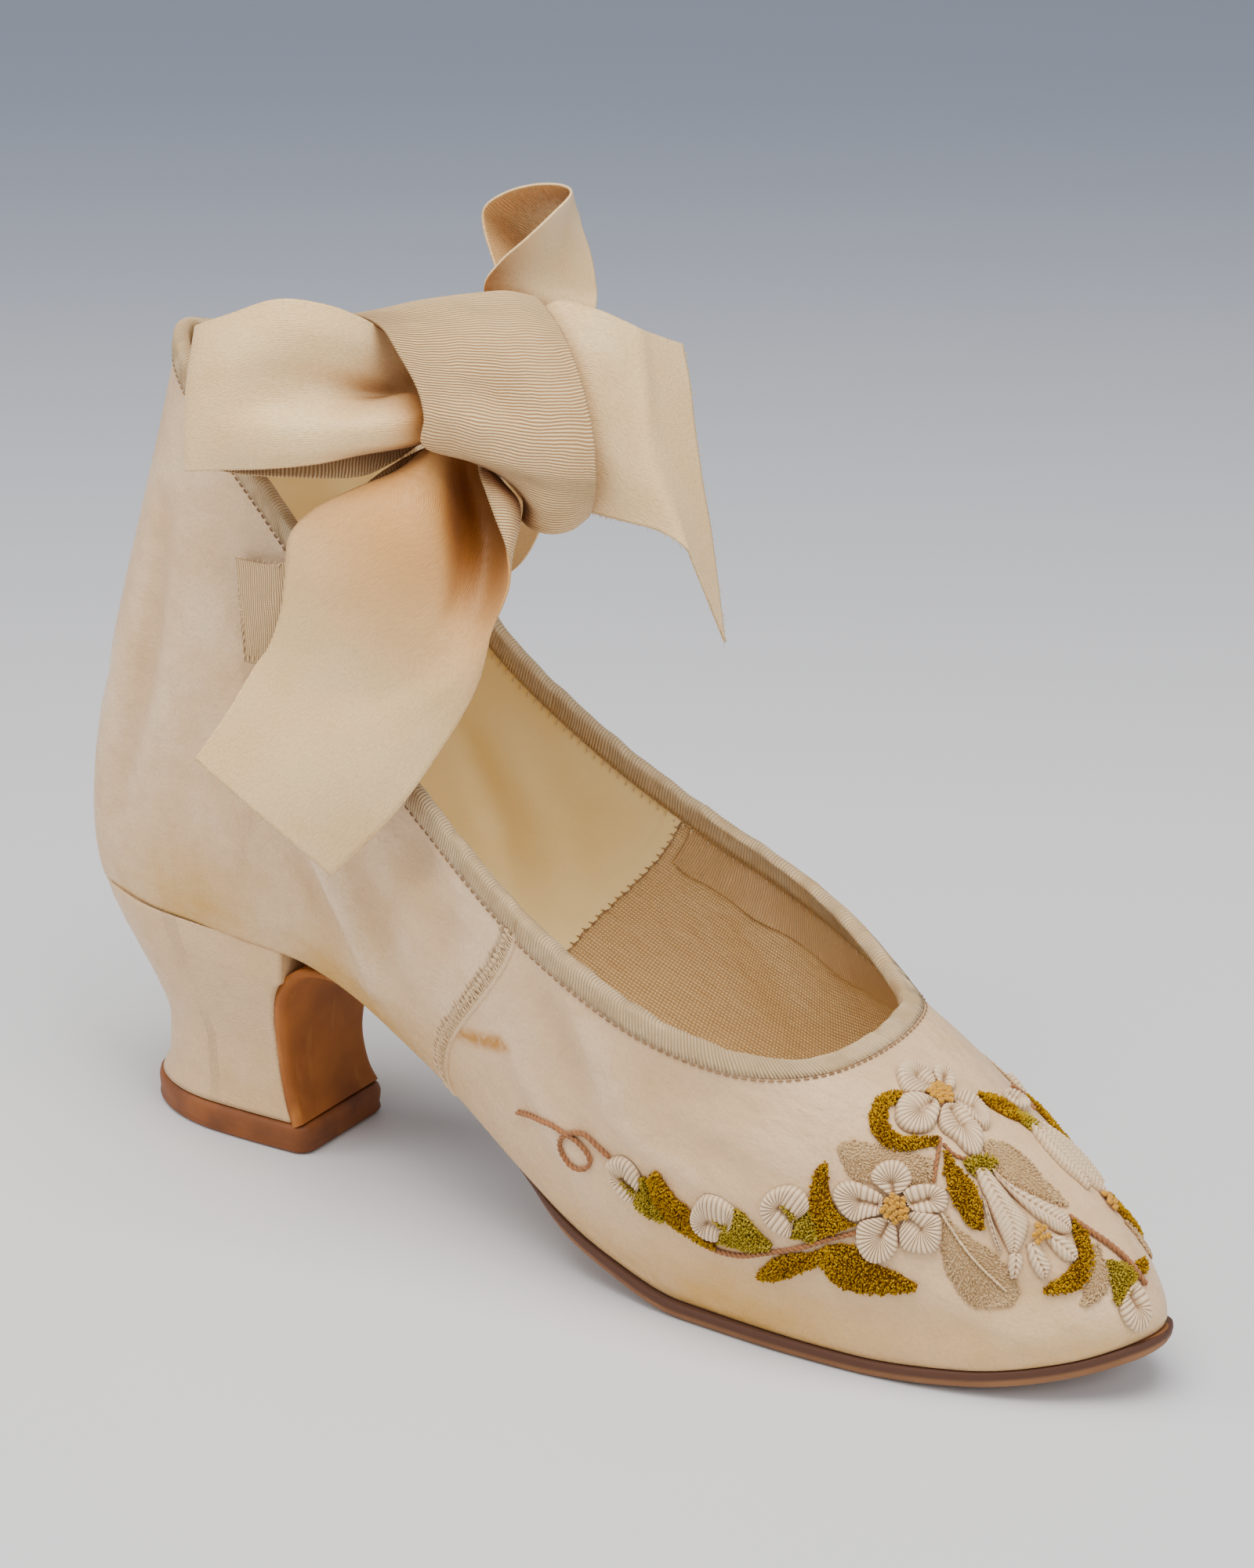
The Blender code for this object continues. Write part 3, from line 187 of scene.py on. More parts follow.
# Millimetres from the knot over which the painted golden shade of the folded satin fades
PAINTED_SHADE_NEAR = (6.0, 13.0)
PAINTED_SHADE_REACH = {"bow_tail_front": (22.0, 64.0), "bow_loop_side": (15.0, 25.0)}
RIBBON_STEP_ALONG = 0.8
RIBBON_STEPS_ACROSS = 56
BOW_PLANE = 951.2
BOW = {
    "bow_loop_side": (
        ((140, 430, -14), (150, 450, -15), (155, 468, -15), (152, 482, -13), (158, 492, -10),
         (165, 508, -8), (160, 528, -9), (150, 540, -11)),
        ((92, 388, -9), (108, 425, -12), (118, 458, -14.5), (122, 478, -14), (128, 474, -9), (143, 505, -5),
         (136, 536, -6), (118, 548, -8.5)),
        ((52, 366, -5), (58, 402, -5), (64, 440, -8), (68, 474, -11.5), (72, 487, -8.5), (78, 513, -3.5),
         (75, 545, -4.5), (62, 558, -7)),
        ((2, 350, -2), (2, 388, -1), (2, 425, -2.5), (2, 460, -5.5), (4, 488, -5), (6, 520, -2),
         (4, 553, -2.5), (0, 572, -4.5)),
        ((-60, 345, -1), (-62, 382, 0), (-64, 420, -0.5), (-66, 458, -2.5), (-68, 490, -3),
         (-70, 525, -1.5), (-70, 558, -2.5), (-70, 580, -4.5)),
        ((-123, 366, -5), (-125, 400, -3), (-127, 432, -2.5), (-128, 465, -3), (-129, 497, -3.5),
         (-130, 530, -4), (-130, 560, -5.5), (-129, 583, -7.5)),
        ((-172, 384, -11.8), (-176, 413, -11), (-180, 442, -10.5), (-183, 471, -10.5), (-184, 500, -10.5),
         (-184, 530, -11), (-183, 560, -11.5), (-182, 586, -12.3)),
        ((-149, 385, -17.8), (-152, 413, -17.6), (-154, 441, -17.4), (-155, 469, -17.2), (-156, 497, -17),
         (-157, 526, -16.8), (-157, 554, -16.7), (-157, 582, -16.6)),
        ((-66, 380, -19.4), (-68, 410, -19), (-70, 440, -18.5), (-73, 470, -18), (-75, 500, -17),
         (-77, 530, -16), (-80, 560, -14.5), (-82, 590, -13)),
        ((38, 398, -19.2), (39, 425, -19), (40, 452, -18.5), (41, 480, -18), (42, 508, -17),
         (43, 535, -15.5), (44, 563, -13), (45, 590, -11)),
        ((100, 420, -19), (100, 442, -19), (101, 464, -18.5), (101, 486, -18), (102, 508, -17.5),
         (102, 530, -16.5), (101, 551, -15), (100, 571, -13)),
        ((139, 443, -18.1), (142, 455, -18), (145, 468, -18), (148, 480, -18), (151, 492, -18),
         (154, 505, -17.6), (157, 517, -17.4), (160, 530, -17.3)),
    ),
    "bow_loop_upright": (
        ((236, 440, -14), (270, 441, -14), (304, 442, -14), (338, 443, -14)),
        ((250, 400, -26), (290, 402, -27), (330, 404, -28), (370, 406, -29)),
        ((228, 328, -20), (282, 333, -23), (334, 340, -26), (384, 345, -29)),
        ((248, 290, -17), (296, 297, -24), (340, 304, -31), (382, 312, -38)),
        ((285, 256, -15), (316, 260, -25), (346, 266, -35.5), (374, 274, -46)),
        ((320, 222, -15), (334, 226, -27), (348, 232, -40), (362, 240, -52)),
        ((346, 193, -18), (349, 199, -31), (352, 208, -45), (356, 219, -57)),
        ((335, 181, -24), (340, 190, -37), (345, 202, -50), (351, 217, -62)),
        ((300, 180, -29), (313, 193, -42), (327, 210, -54), (341, 230, -65)),
        ((260, 190, -33), (283, 206, -45), (307, 226, -56), (333, 250, -66)),
        ((228, 211, -36), (260, 230, -47), (295, 250, -57), (333, 272, -64)),
        ((226, 240, -37), (262, 257, -45), (300, 275, -53), (338, 296, -59)),
        ((240, 285, -36), (276, 297, -41), (314, 310, -46), (352, 324, -50)),
        ((256, 330, -34), (292, 336, -36), (328, 343, -38), (364, 350, -40)),
        ((280, 400, -33), (310, 402, -33.5), (342, 405, -34), (374, 408, -35)),
        ((250, 445, -17), (280, 446, -17), (310, 447, -17), (338, 448, -17)),
    ),
    "bow_tail_front": (
        ((224, 548, -10), (236, 548, -11), (240, 548, -14), (228, 547, -17), (212, 546, -18),
         (196, 545, -16), (184, 545, -13), (174, 545, -11), (164, 546, -10), (152, 548, -11)),
        ((226, 580, -6), (244, 582, -6), (256, 588, -10), (240, 586, -15), (215, 582, -18), (195, 578, -15),
         (178, 575, -10), (160, 574, -8), (138, 575, -8), (112, 581, -10)),
        ((238, 612, -3), (262, 612, -3), (281, 618, -7), (262, 618, -14), (225, 618, -17), (200, 612, -14),
         (176, 604, -8), (140, 602, -6), (100, 603, -7), (55, 606, -9)),
        ((251, 645, -2), (270, 645, -2), (284, 650, -6), (270, 655, -13), (235, 658, -16), (205, 655, -13),
         (175, 645, -6), (125, 635, -4), (65, 632, -6), (0, 634, -9)),
        ((266, 685, -2), (272, 688, -2.5), (275, 692, -5), (264, 698, -11), (238, 705, -14),
         (208, 706, -11.5), (175, 698, -5.5), (115, 683, -3), (40, 672, -5), (-35, 672, -9)),
        ((271, 735, -3), (270, 742, -4.5), (264, 750, -6.5), (250, 760, -9.5), (228, 768, -11),
         (198, 768, -9.5), (165, 760, -6), (100, 742, -4), (20, 728, -6), (-40, 722, -10)),
        ((250, 797, -6), (244, 802, -6.5), (236, 807, -7.5), (222, 812, -8.5), (200, 816, -8.5),
         (172, 816, -7.5), (138, 812, -6.5), (75, 800, -6.5), (5, 785, -9), (-45, 775, -12)),
        ((226, 885, -10.5), (215, 886, -9.5), (200, 886, -9), (182, 885, -8.5), (160, 882, -8.5),
         (130, 878, -9), (95, 872, -9.5), (45, 860, -10.5), (-10, 842, -12.5), (-60, 825, -15)),
        ((174, 977, -12.4), (150, 970, -11.5), (125, 962, -11), (98, 952, -11), (70, 940, -11.5),
         (42, 926, -12.5), (14, 911, -13.5), (-18, 893, -14.5), (-50, 874, -15.5), (-80, 855, -16.5)),
        ((116, 1059, -15.7), (90, 1044, -15), (64, 1029, -14.6), (38, 1014, -14.6), (12, 999, -15),
         (-14, 984, -15.6), (-40, 969, -16.4), (-66, 954, -17.2), (-92, 939, -17.8), (-120, 924, -18.4)),
        ((32, 1144, -23), (10, 1126, -22), (-12, 1109, -21.2), (-34, 1091, -20.6), (-56, 1073, -20.2),
         (-78, 1056, -20), (-99, 1038, -20), (-120, 1020, -20), (-141, 1003, -20.1), (-161, 985, -20.3)),
    ),
    "bow_tail_side": (
        ((285, 370, -12), (310, 420, -10), (325, 470, -9), (340, 520, -9), (350, 570, -10), (355, 625, -13)),
        ((330, 341, -12), (360, 400, -8), (375, 455, -7), (388, 515, -7.5), (394, 570, -9),
         (388, 634, -12.5)),
        ((385, 352, -11), (405, 410, -8), (414, 470, -8), (423, 530, -8.5), (430, 585, -9), (432, 645, -11)),
        ((425, 368, -12), (434, 420, -10), (442, 480, -9), (450, 540, -8.5), (465, 595, -8.5),
         (478, 657, -10)),
        ((446, 378, -13.5), (453, 428, -11.5), (459, 487, -10), (467, 547, -9.5), (488, 605, -9.5),
         (515, 680, -10.5)),
        ((462, 384, -16.5), (470, 440, -15), (478, 500, -14), (490, 560, -13.5), (510, 625, -13.5),
         (528, 705, -13)),
        ((505, 398, -24), (516, 450, -23), (524, 510, -22.5), (536, 585, -22.5), (552, 670, -23),
         (572, 808, -24)),
    ),
    "bow_knot": (
        ((45, 365, -13), (85, 357, -10.5), (130, 346, -9.5), (175, 338, -9), (220, 332, -9),
         (262, 329, -9.5), (302, 337, -11.5)),
        ((84, 380, -6), (130, 378, -3.5), (175, 373, -2), (215, 370, -1.5), (255, 370, -1.5),
         (295, 370, -2.5), (332, 375, -5)),
        ((112, 420, -2), (155, 425, 0.5), (200, 425, 2), (245, 425, 2.5), (285, 425, 2.5), (322, 424, 1),
         (354, 420, -2)),
        ((138, 465, 0), (180, 470, 2.5), (220, 472, 2.5), (255, 478, 2.2), (300, 480, 4), (340, 480, 3.5),
         (372, 475, 0.5)),
        ((149, 505, 0.5), (185, 512, 3), (225, 520, 3.8), (265, 525, 3.8), (305, 528, 4.5), (348, 530, 4.2),
         (384, 530, 1)),
        ((150, 546, -3), (190, 552, -0.5), (230, 560, 1.5), (270, 568, 2.5), (310, 574, 3.2), (352, 577, 3),
         (388, 578, 0)),
        ((222, 567, -6), (250, 577, -3), (278, 588, -1), (305, 597, 0.5), (332, 603, 1.2), (361, 605, 0.5),
         (388, 603, -2)),
        ((284, 604, -9), (293, 618, -5.5), (306, 630, -3.5), (323, 637, -2.5), (342, 638, -2.5),
         (364, 634, -3.5), (385, 624, -6)),
        ((288, 645, -11), (296, 653, -9.5), (308, 659, -9), (324, 662, -9), (342, 661, -9),
         (361, 654, -9.5), (379, 638, -11)),
        ((285, 615, -22.8), (302, 614, -22.8), (319, 613, -22.8), (336, 611, -22.8), (353, 610, -22.8),
         (370, 608, -22.8), (386, 607, -22.7)),
        ((178, 499, -28.3), (210, 498, -28.1), (242, 498, -27.8), (274, 497, -27.5), (306, 496, -27.3),
         (338, 496, -27), (370, 495, -26.8)),
        ((106, 402, -23.9), (141, 396, -24), (176, 390, -24), (211, 384, -24.1), (246, 379, -24.2),
         (281, 373, -24.2), (316, 367, -24.3)),
    ),
}
# Ties: station, side and height of the upper and the lower edge
TIES = {
    "tie_right": (
        ((50, -21.9, 124), (54, -25.2, 106)),
        ((64, -26.2, 127.5), (64, -26.2, 107)),
        ((72, -25.0, 135), (76, -25.0, 112)),
        ((76, -17.0, 142), (84, -15.5, 122)),
        ((80, -10.0, 146), (88, -9.0, 128)),
        ((83.6, 1.3, 148), (90.6, 2.3, 140)),
    ),
    "tie_left": (
        ((50, 21.9, 124), (54, 25.2, 106)),
        ((64, 26.2, 127), (64, 26.2, 107)),
        ((75, 25.8, 130), (77, 25.6, 112)),
        ((82, 20, 140), (88, 20, 125)),
        ((85.6, 11.8, 150), (93, 14.4, 138)),
        ((90.4, 4.0, 153.9), (99.2, 4.2, 143.1)),
    ),
}
RIBBON_PATCH = (12.0, 0.72, 10.0, 11.5)

# Embroidery, traced in the photograph: edges as runs of its pixels
PHOTO_FOCAL = 7527.0
PHOTO_MIDDLE = (800.0, 1000.0)
PHOTO_AZIMUTH = np.radians(31.39)
PHOTO_ELEVATION = np.radians(23.2)
TOE_MIDDLE = np.array([200.0, 0.0, 30.0])
LEAN = np.array([0.31, 0.52, 0.79])
GOLDEN_TURN = 2.39996
STRIPS = {
    "leaf_vine": (
        ((486, 1549), (494, 1544), (505, 1558), (521, 1579), (539, 1595), (551, 1620), (577, 1639)),
        ((484, 1555), (491, 1579), (504, 1602), (523, 1621), (548, 1635), (567, 1643), (578, 1645)),
    ),
    "leaf_upright": (
        ((723, 1526), (711, 1543), (706, 1572), (708, 1598), (715, 1630)),
        ((730, 1526), (730, 1550), (737, 1579), (753, 1601), (771, 1610)),
    ),
    "leaf_stem_back": (
        ((637, 1680), (656, 1660), (682, 1652), (710, 1649), (733, 1638)),
        ((639, 1686), (663, 1687), (691, 1678), (717, 1666), (739, 1652)),
    ),
    "leaf_stem_front": (
        ((720, 1646), (742, 1637), (770, 1640), (798, 1662), (830, 1676), (857, 1690)),
        ((723, 1664), (740, 1687), (765, 1699), (798, 1703), (830, 1702), (855, 1696)),
    ),
    "leaf_bell": (
        ((889, 1509), (891, 1533), (896, 1559), (908, 1583), (924, 1605), (942, 1615)),
        ((894, 1509), (910, 1529), (925, 1543), (936, 1559), (943, 1581), (947, 1610)),
    ),
    "leaf_toe": (
        ((1068, 1594), (1084, 1612), (1096, 1639), (1097, 1663), (1087, 1683), (1068, 1695), (1032, 1699)),
        ((1065, 1605), (1073, 1630), (1074, 1649), (1065, 1663), (1048, 1679), (1038, 1685), (1030, 1693)),
    ),
    "leaf_throat": (
        ((827, 1427), (807, 1429), (792, 1440), (785, 1462), (789, 1481), (805, 1499), (828, 1506),
         (853, 1504), (880, 1498)),
        ((828, 1440), (814, 1445), (809, 1458), (811, 1471), (821, 1483), (837, 1488), (846, 1488),
         (859, 1488), (880, 1487)),
    ),
    "pale_leaf_vamp": (
        ((742, 1501), (762, 1496), (788, 1499), (814, 1503), (846, 1510), (872, 1517)),
        ((744, 1508), (751, 1527), (765, 1544), (788, 1551), (830, 1553), (872, 1551)),
    ),
    "pale_leaf_ball": (
        ((887, 1598), (889, 1637), (896, 1669), (912, 1696), (935, 1717), (967, 1715)),
        ((892, 1594), (922, 1620), (958, 1644), (980, 1667), (996, 1692), (986, 1713)),
    ),
    "pale_leaf_toe": (
        ((1097, 1630), (1092, 1656), (1090, 1682), (1086, 1699), (1084, 1712)),
        ((1103, 1627), (1112, 1653), (1120, 1676), (1113, 1695), (1094, 1714)),
    ),
    "pale_leaf_ridge": (
        ((943, 1494), (951, 1520), (977, 1546), (1012, 1563), (1038, 1571), (1055, 1576)),
        ((948, 1490), (974, 1494), (1003, 1514), (1026, 1540), (1048, 1562), (1058, 1575)),
    ),
}
CALYXES = {
    "bud_scroll": (
        (
            ((462, 1577), (468, 1593), (487, 1606), (507, 1612)),
            ((471, 1568), (485, 1572), (496, 1586), (508, 1605)),
        ),
        (((443, 1552), (454, 1571), (467, 1587)), ((446, 1554), (462, 1568), (475, 1577))),
        (((473, 1550), (473, 1563), (475, 1579)), ((478, 1550), (482, 1561), (487, 1577))),
    ),
    "bud_vine": (
        (
            ((599, 1590), (615, 1598), (635, 1620), (656, 1640)),
            ((581, 1639), (599, 1642), (624, 1648), (652, 1646)),
        ),
        (((574, 1606), (587, 1617), (602, 1630)), ((579, 1607), (594, 1617), (612, 1623))),
    ),
    "bud_upright": (
        (((705, 1590), (711, 1604), (718, 1621)), ((679, 1627), (695, 1632), (715, 1635))),
        (((664, 1582), (676, 1598), (689, 1614)), ((670, 1583), (684, 1593), (700, 1604))),
    ),
    "bud_toe": (
        (
            ((1116, 1650), (1121, 1676), (1127, 1702), (1132, 1711)),
            ((1138, 1656), (1156, 1667), (1153, 1683), (1135, 1710)),
        ),
    ),
    "bell_right": (
        (
            ((915, 1517), (934, 1511), (954, 1512), (962, 1522)),
            ((917, 1524), (929, 1538), (947, 1540), (962, 1524)),
        ),
    ),
}
FOLDED_PETALS = {
    "bell_right": (
        (
            ((941, 1565), (950, 1598), (960, 1627), (967, 1641)),
            ((948, 1572), (959, 1604), (967, 1627), (973, 1641)),
        ),
        (((982, 1642), (980, 1660), (984, 1678)), ((1000, 1645), (1002, 1658), (994, 1675))),
        (
            ((1004, 1632), (1009, 1654), (1020, 1672), (1028, 1678)),
            ((1021, 1626), (1032, 1646), (1040, 1660), (1034, 1676)),
        ),
        (
            ((1031, 1624), (1042, 1640), (1058, 1653), (1071, 1654)),
            ((1038, 1616), (1058, 1620), (1073, 1633), (1076, 1647)),
        ),
        (
            ((951, 1525), (980, 1549), (1013, 1565), (1042, 1578), (1062, 1592), (1066, 1611)),
            ((961, 1544), (986, 1569), (1013, 1592), (1035, 1609), (1051, 1617), (1063, 1616)),
        ),
        (
            ((929, 1529), (941, 1559), (954, 1592), (970, 1624), (980, 1642)),
            ((951, 1530), (971, 1553), (993, 1579), (1008, 1598), (1004, 1624), (993, 1644)),
        ),
    ),
}
RUCHES = {
    "flower_right": (
        (
            (775, 1576),
            ((805, 1566), (788, 1557), (765, 1549), (746, 1553), (737, 1566), (742, 1582), (755, 1598),
             (769, 1605), (785, 1600), (803, 1594), (808, 1578)),
        ),
        (
            (818, 1551),
            ((809, 1563), (792, 1550), (789, 1539), (798, 1526), (813, 1519), (830, 1521), (843, 1533),
             (846, 1548), (835, 1562), (821, 1567)),
        ),
        (
            (868, 1572),
            ((837, 1570), (834, 1559), (853, 1552), (876, 1552), (892, 1559), (897, 1572), (893, 1587),
             (872, 1592), (852, 1590), (841, 1581)),
        ),
        (
            (859, 1613),
            ((846, 1590), (863, 1588), (886, 1594), (889, 1611), (888, 1631), (880, 1645), (857, 1647),
             (837, 1642), (830, 1627), (833, 1608)),
        ),
        (
            (805, 1624),
            ((811, 1598), (788, 1599), (774, 1604), (770, 1621), (773, 1641), (785, 1657), (801, 1662),
             (818, 1656), (829, 1640), (829, 1620), (824, 1607)),
        ),
    ),
    "flower_throat": (
        (
            (848, 1406),
            ((866, 1427), (837, 1430), (826, 1419), (820, 1397), (831, 1389), (850, 1390), (867, 1400),
             (874, 1414)),
        ),
        (
            (886, 1406),
            ((880, 1419), (869, 1403), (872, 1393), (886, 1394), (899, 1406), (902, 1419), (893, 1425)),
        ),
        (
            (856, 1452),
            ((868, 1437), (847, 1429), (828, 1432), (820, 1448), (822, 1468), (837, 1481), (857, 1483),
             (873, 1475), (881, 1455), (877, 1442)),
        ),
        (
            (911, 1471),
            ((884, 1447), (879, 1465), (885, 1479), (902, 1491), (924, 1512), (940, 1510), (941, 1482),
             (928, 1464), (915, 1448), (897, 1444)),
        ),
        (
            (924, 1447),
            ((900, 1437), (915, 1425), (932, 1435), (945, 1452), (951, 1471), (941, 1476), (925, 1465),
             (908, 1450)),
        ),
    ),
    "bud_scroll": (
        (
            (447, 1554),
            ((428, 1526), (446, 1522), (464, 1536), (474, 1556), (469, 1570), (463, 1586), (449, 1579),
             (435, 1560), (428, 1541)),
        ),
    ),
    "bud_vine": (
        (
            (566, 1610),
            ((559, 1573), (577, 1574), (596, 1585), (604, 1595), (600, 1617), (587, 1621), (582, 1635),
             (567, 1633), (551, 1621), (544, 1604), (547, 1588)),
        ),
    ),
    "bud_upright": (
        (
            (664, 1589),
            ((663, 1559), (685, 1558), (703, 1571), (707, 1586), (698, 1597), (686, 1605), (682, 1627),
             (666, 1625), (647, 1611), (638, 1592), (644, 1572)),
        ),
    ),
    "bud_toe": (
        (
            (1158, 1714),
            ((1155, 1681), (1166, 1692), (1174, 1712), (1172, 1732), (1162, 1745), (1150, 1744),
             (1139, 1732), (1134, 1715), (1139, 1699), (1148, 1685)),
        ),
    ),
}
STEMS = {
    "scroll": (
        0.5,
        ((298, 1464), (321, 1470), (344, 1480), (364, 1492), (381, 1502), (397, 1519), (401, 1532),
         (392, 1541), (376, 1537), (362, 1519), (360, 1501), (373, 1492), (392, 1493), (408, 1506),
         (429, 1525)),
    ),
    "vine": (
        0.5,
        ((554, 1637), (580, 1649), (612, 1655), (647, 1651), (695, 1642), (733, 1630), (773, 1620)),
    ),
    "throat": (0.42, ((883, 1486), (881, 1507), (878, 1529), (876, 1550))),
    "bell": (0.4, ((887, 1495), (902, 1510), (922, 1517))),
    "toe": (0.6, ((1060, 1591), (1090, 1611), (1120, 1631), (1146, 1654), (1170, 1686))),
}
SMALL_TOE_LEAF = (((1155, 1650), (1157, 1661), (1162, 1670)), ((1164, 1646), (1170, 1654), (1169, 1667)))
KNOTS = {
    "flower_right": ((824, 1586), 2.4),
    "flower_throat": ((881, 1430), 2.3),
    "bell_right": ((1024, 1616), 1.6),
}
VEIN = ((887, 1590), (905, 1617), (928, 1647), (954, 1673), (980, 1696))
# Embroidery that the photograph hides or shows only edge on, by (row, height) places.
# Rows count from the toe, negative on the left; heights go from sole (0) to collar (1).
Leaf = namedtuple("Leaf", "from_row from_height to_row to_height half_width bend")
MIDDLE_LEAVES = ("leaf_throat", "pale_leaf_ridge")
RIDGE_LEAF = Leaf(-0.12, 0.765, -0.42, 0.66, 2.2, 0.5)
FAR_BELL_PETALS = (
    Leaf(-0.40, 0.650, -0.22, 0.47, 2.1, 0.0), Leaf(-0.62, 0.645, -0.92, 0.44, 2.3, 0.0),
    Leaf(-0.50, 0.650, -0.58, 0.43, 2.6, 0.0),
)
FAR_CALYX = Leaf(-0.40, 0.690, -0.56, 0.620, 1.9, 0.0)
FAR_STAMENS = (-0.50, 0.42)
FAR_BUD = (-0.80, 0.70)
FAR_BUD_RADIUS = 2.7
OVERLAY_REACH = 4.0
RIB_PITCH = 0.62
PETAL_RIB_PITCH = 0.92
SLIT_SHARE = 0.5
RIB_POINTS = 4
RIB_DEPTH = 0.19
PETAL_HEIGHT = 1.5
PILE_HEIGHT = 1.0
PALE_PILE_HEIGHT = 0.75
CALYX_HEIGHT = 1.0
PILE_SPACING = 0.33
PALE_SPACING = 0.35
CALYX_SPACING = 0.29
PAD_RISE = 0.55
PAD_SHADE = 0.12
PILE_SLANT = 0.35
PILE_ROW = 0.95
TUFT_SIDES = 4
KNOT_SIZE = 1.05
STEM_TWIST = 2.2

# Creases, yellowing and stain of the satin
LINE_POINTS = 9
CREASE_TIP = 0.02
CREASE_END_LIFT = 0.35
CALM_FOOT = (0.0, 0.10)
CALM_COLLAR = (0.86, 0.97)
STEP_FOOT = (0.0, 0.03)
ROW_NUDGE = 0.05
UPPER_COLUMNS = 13
UPPER_SEAM_GAP = 0.012
UPPER_STEPS = 97
LINING_STEPS = 49
FOOT_TUCK = 0.9
FOOT_DROP = 0.1
AGE_REACH = 12.5
# Less yellowing near the toe tip stands in for its highlight: painted highlight
AGE_TOE_LOSS = 8.5
AGE_TOE_ROWS = 1.9
AGE_GAIN = 1.3
AGE_FALL = 1.4
AGE_ALL_OVER = 0.10
TOE_PAINTED_HIGHLIGHT = 0.6
TOE_PAINTED_HIGHLIGHT_ROWS = 1.3
AGE_WAVER = 0.3
AGE_WAVES = 1.7
STAIN_FADE = 0.30
STAIN_FADE_FROM = (0.2, 0.9)
STAIN_GAIN = 1.5
STAIN_WIDTH = 1.5
STAIN_ROWS = 3.0

# Threads
STITCH_TAPER = (0.35, 0.95, 1.0, 0.95, 0.35)
STITCH_ARCH = 1.2
STITCH_SIDES = 5
ROPE_STEP = 0.22
ROPE_TAPER = 0.6
ROPE_END = 0.25
STRAND_OFFSET = 0.48
STRAND_RADIUS = 0.62

# Binding and its stitches
RIM_POINTS = 1201
BINDING_PER_RIB = 3
BINDING_PINCH = 0.25
BINDING_PINCH_WAVE = 0.10
BINDING_PINCH_PITCH = 1.6
BINDING_RIB = 0.10
BINDING_WAVES = ((0.16, 11.3, 0.0), (0.12, 6.7, 1.0))
BINDING_LIFTS = ((0, 0.05), (0, 0.50), (1, 0.58), (2, 0.60), (3, 0.60))
BINDING_SEWN = 0.1
BINDING_TURN = (0.15, 0.85, 6)
BINDING_CROWN = 0.95
MACHINE_OFFSET = 0.45
MACHINE_SPACING = 1.55
MACHINE_LIFT = 0.12
MACHINE_SHARE = 0.72
COLLAR_THREAD = 0.17
OVERCAST_LIFT = 0.15
OVERCAST_TOP = 0.25
OVERCAST_SPACING = 1.9
OVERCAST_LOW = 1.75
OVERCAST_RUN = 0.2
OVERCAST_THREAD = 0.15

# Side seams, measured back from each seam's edge
SEAM_FOLD_ACROSS = (-0.75, 0.35, 9)
SEAM_FLAT_ACROSS = (0.6, 4.6, 13)
SEAM_HEIGHTS = (0.015, 0.955, 330)
SEAM_STITCH_LINES = (1.0, 2.3, -0.35)
SEAM_FOLD = 0.34
SEAM_FOLD_WIDTH = 0.8
PUCKER_MIDDLE = 1.9
PUCKER_WIDTH = 1.1
PUCKER_LIFT = 0.22
PUCKER_WAVE = 0.20
SEAM_REACH = 4.6
SEAM_SPREAD = 3.2
RIPPLE_LIFT = 0.06
RIPPLE_WAVE = 0.09
SEAM_PROUD = (-0.7, 4.5)
SEAM_LIFT = 0.06
SEAM_SINK = -0.12
SEAM_AGE = 0.18
ZIGZAG_PITCH = 1.25
ZIGZAG_OUT = 0.55
ZIGZAG_BACK = 1.2
ZIGZAG_THREAD = 0.14
SEAM_OVERCAST_PITCH = 0.62
SEAM_OVERCAST_THREAD = 0.13
SEAM_HAIR_PITCH = 1.5
SEAM_HAIR_THREAD = 0.07

# Facing tape, edge of the kid lining, ribbon ends and tie stitches
TAPE_END = 0.15
TAPE_POINTS = 260
TAPE_DOWN = (2.5, 13.0, 12)
TAPE_WAVE = 0.10
TAPE_WAVE_PITCH = 14.0
TAPE_WAVE_SHARE = 0.25
TAPE_LIFT = 0.30
KID_HEIGHTS = (0.03, 0.94, 240)
KID_EDGE_STEPS = 5
KID_LAP = 0.6
KID_TOOTH = 0.5
KID_STRIP = 3.7
KID_LIFT = 0.28
KID_SINK = 0.05
KID_STITCH_PITCH = 1.9
KID_RUN_LENGTH = 1.5
KID_THREAD = 0.11
PATCH_RINGS = 12
PATCH_TURNS = 72
PATCH_BLUNTNESS = 0.8
PATCH_ROWS = (4.0, 2.9)
PATCH_LIFT = 0.45
PATCH_RIPPLE = 0.12
PATCH_EDGE_LIFT = 0.05
PATCH_THREAD = 0.2
TIE_SIDE_STITCHES = 9
TIE_END_STITCHES = 13
TIE_THREAD = 0.16

# Sole, breast flap, heel, lift and sock
SOLE_TIP = 0.02
SOLE_STEPS = 170
FLAP_STEPS = 60
FLAP_COLUMNS = 33
FLAP_EDGE = 0.9
HEEL_STEPS = 40
HEEL_SEAT_PART = (0.7, 1.0)
HEEL_AGE = 0.2
LIFT_EDGE = (
    (0.0, 1.2), (0.25, 0.5), (0.9, 0.05), (2.2, 0.25), (2.9, 0.1), (4.4, 0.0), (5.4, 0.25), (5.9, 0.8),
    (6.0, 1.6),
)
SOCK_END_GAP = 2.2
SOCK_SIDE_GAP = 2.0
SOCK_STEPS = 120
SOCK_COLUMNS = 25
SOCK_ROUND_BACK = 5.6
SOCK_ROUND_TOE = 4.0
SOCK_TIP = 0.05
SOCK_EDGE = 0.94
SOCK_THICKNESS = 1.6
SOCK_CROWN = 0.25
SOCK_BEVEL = 0.5
HEEL_BACK_POINTS = 72
HEEL_SIDE_POINTS = 8
HEEL_SIDE_BEND = 1.6
HEEL_CORNER_POINTS = 7
HEEL_FRONT_POINTS = 12

# Ribbons
NET_STEPS = 40

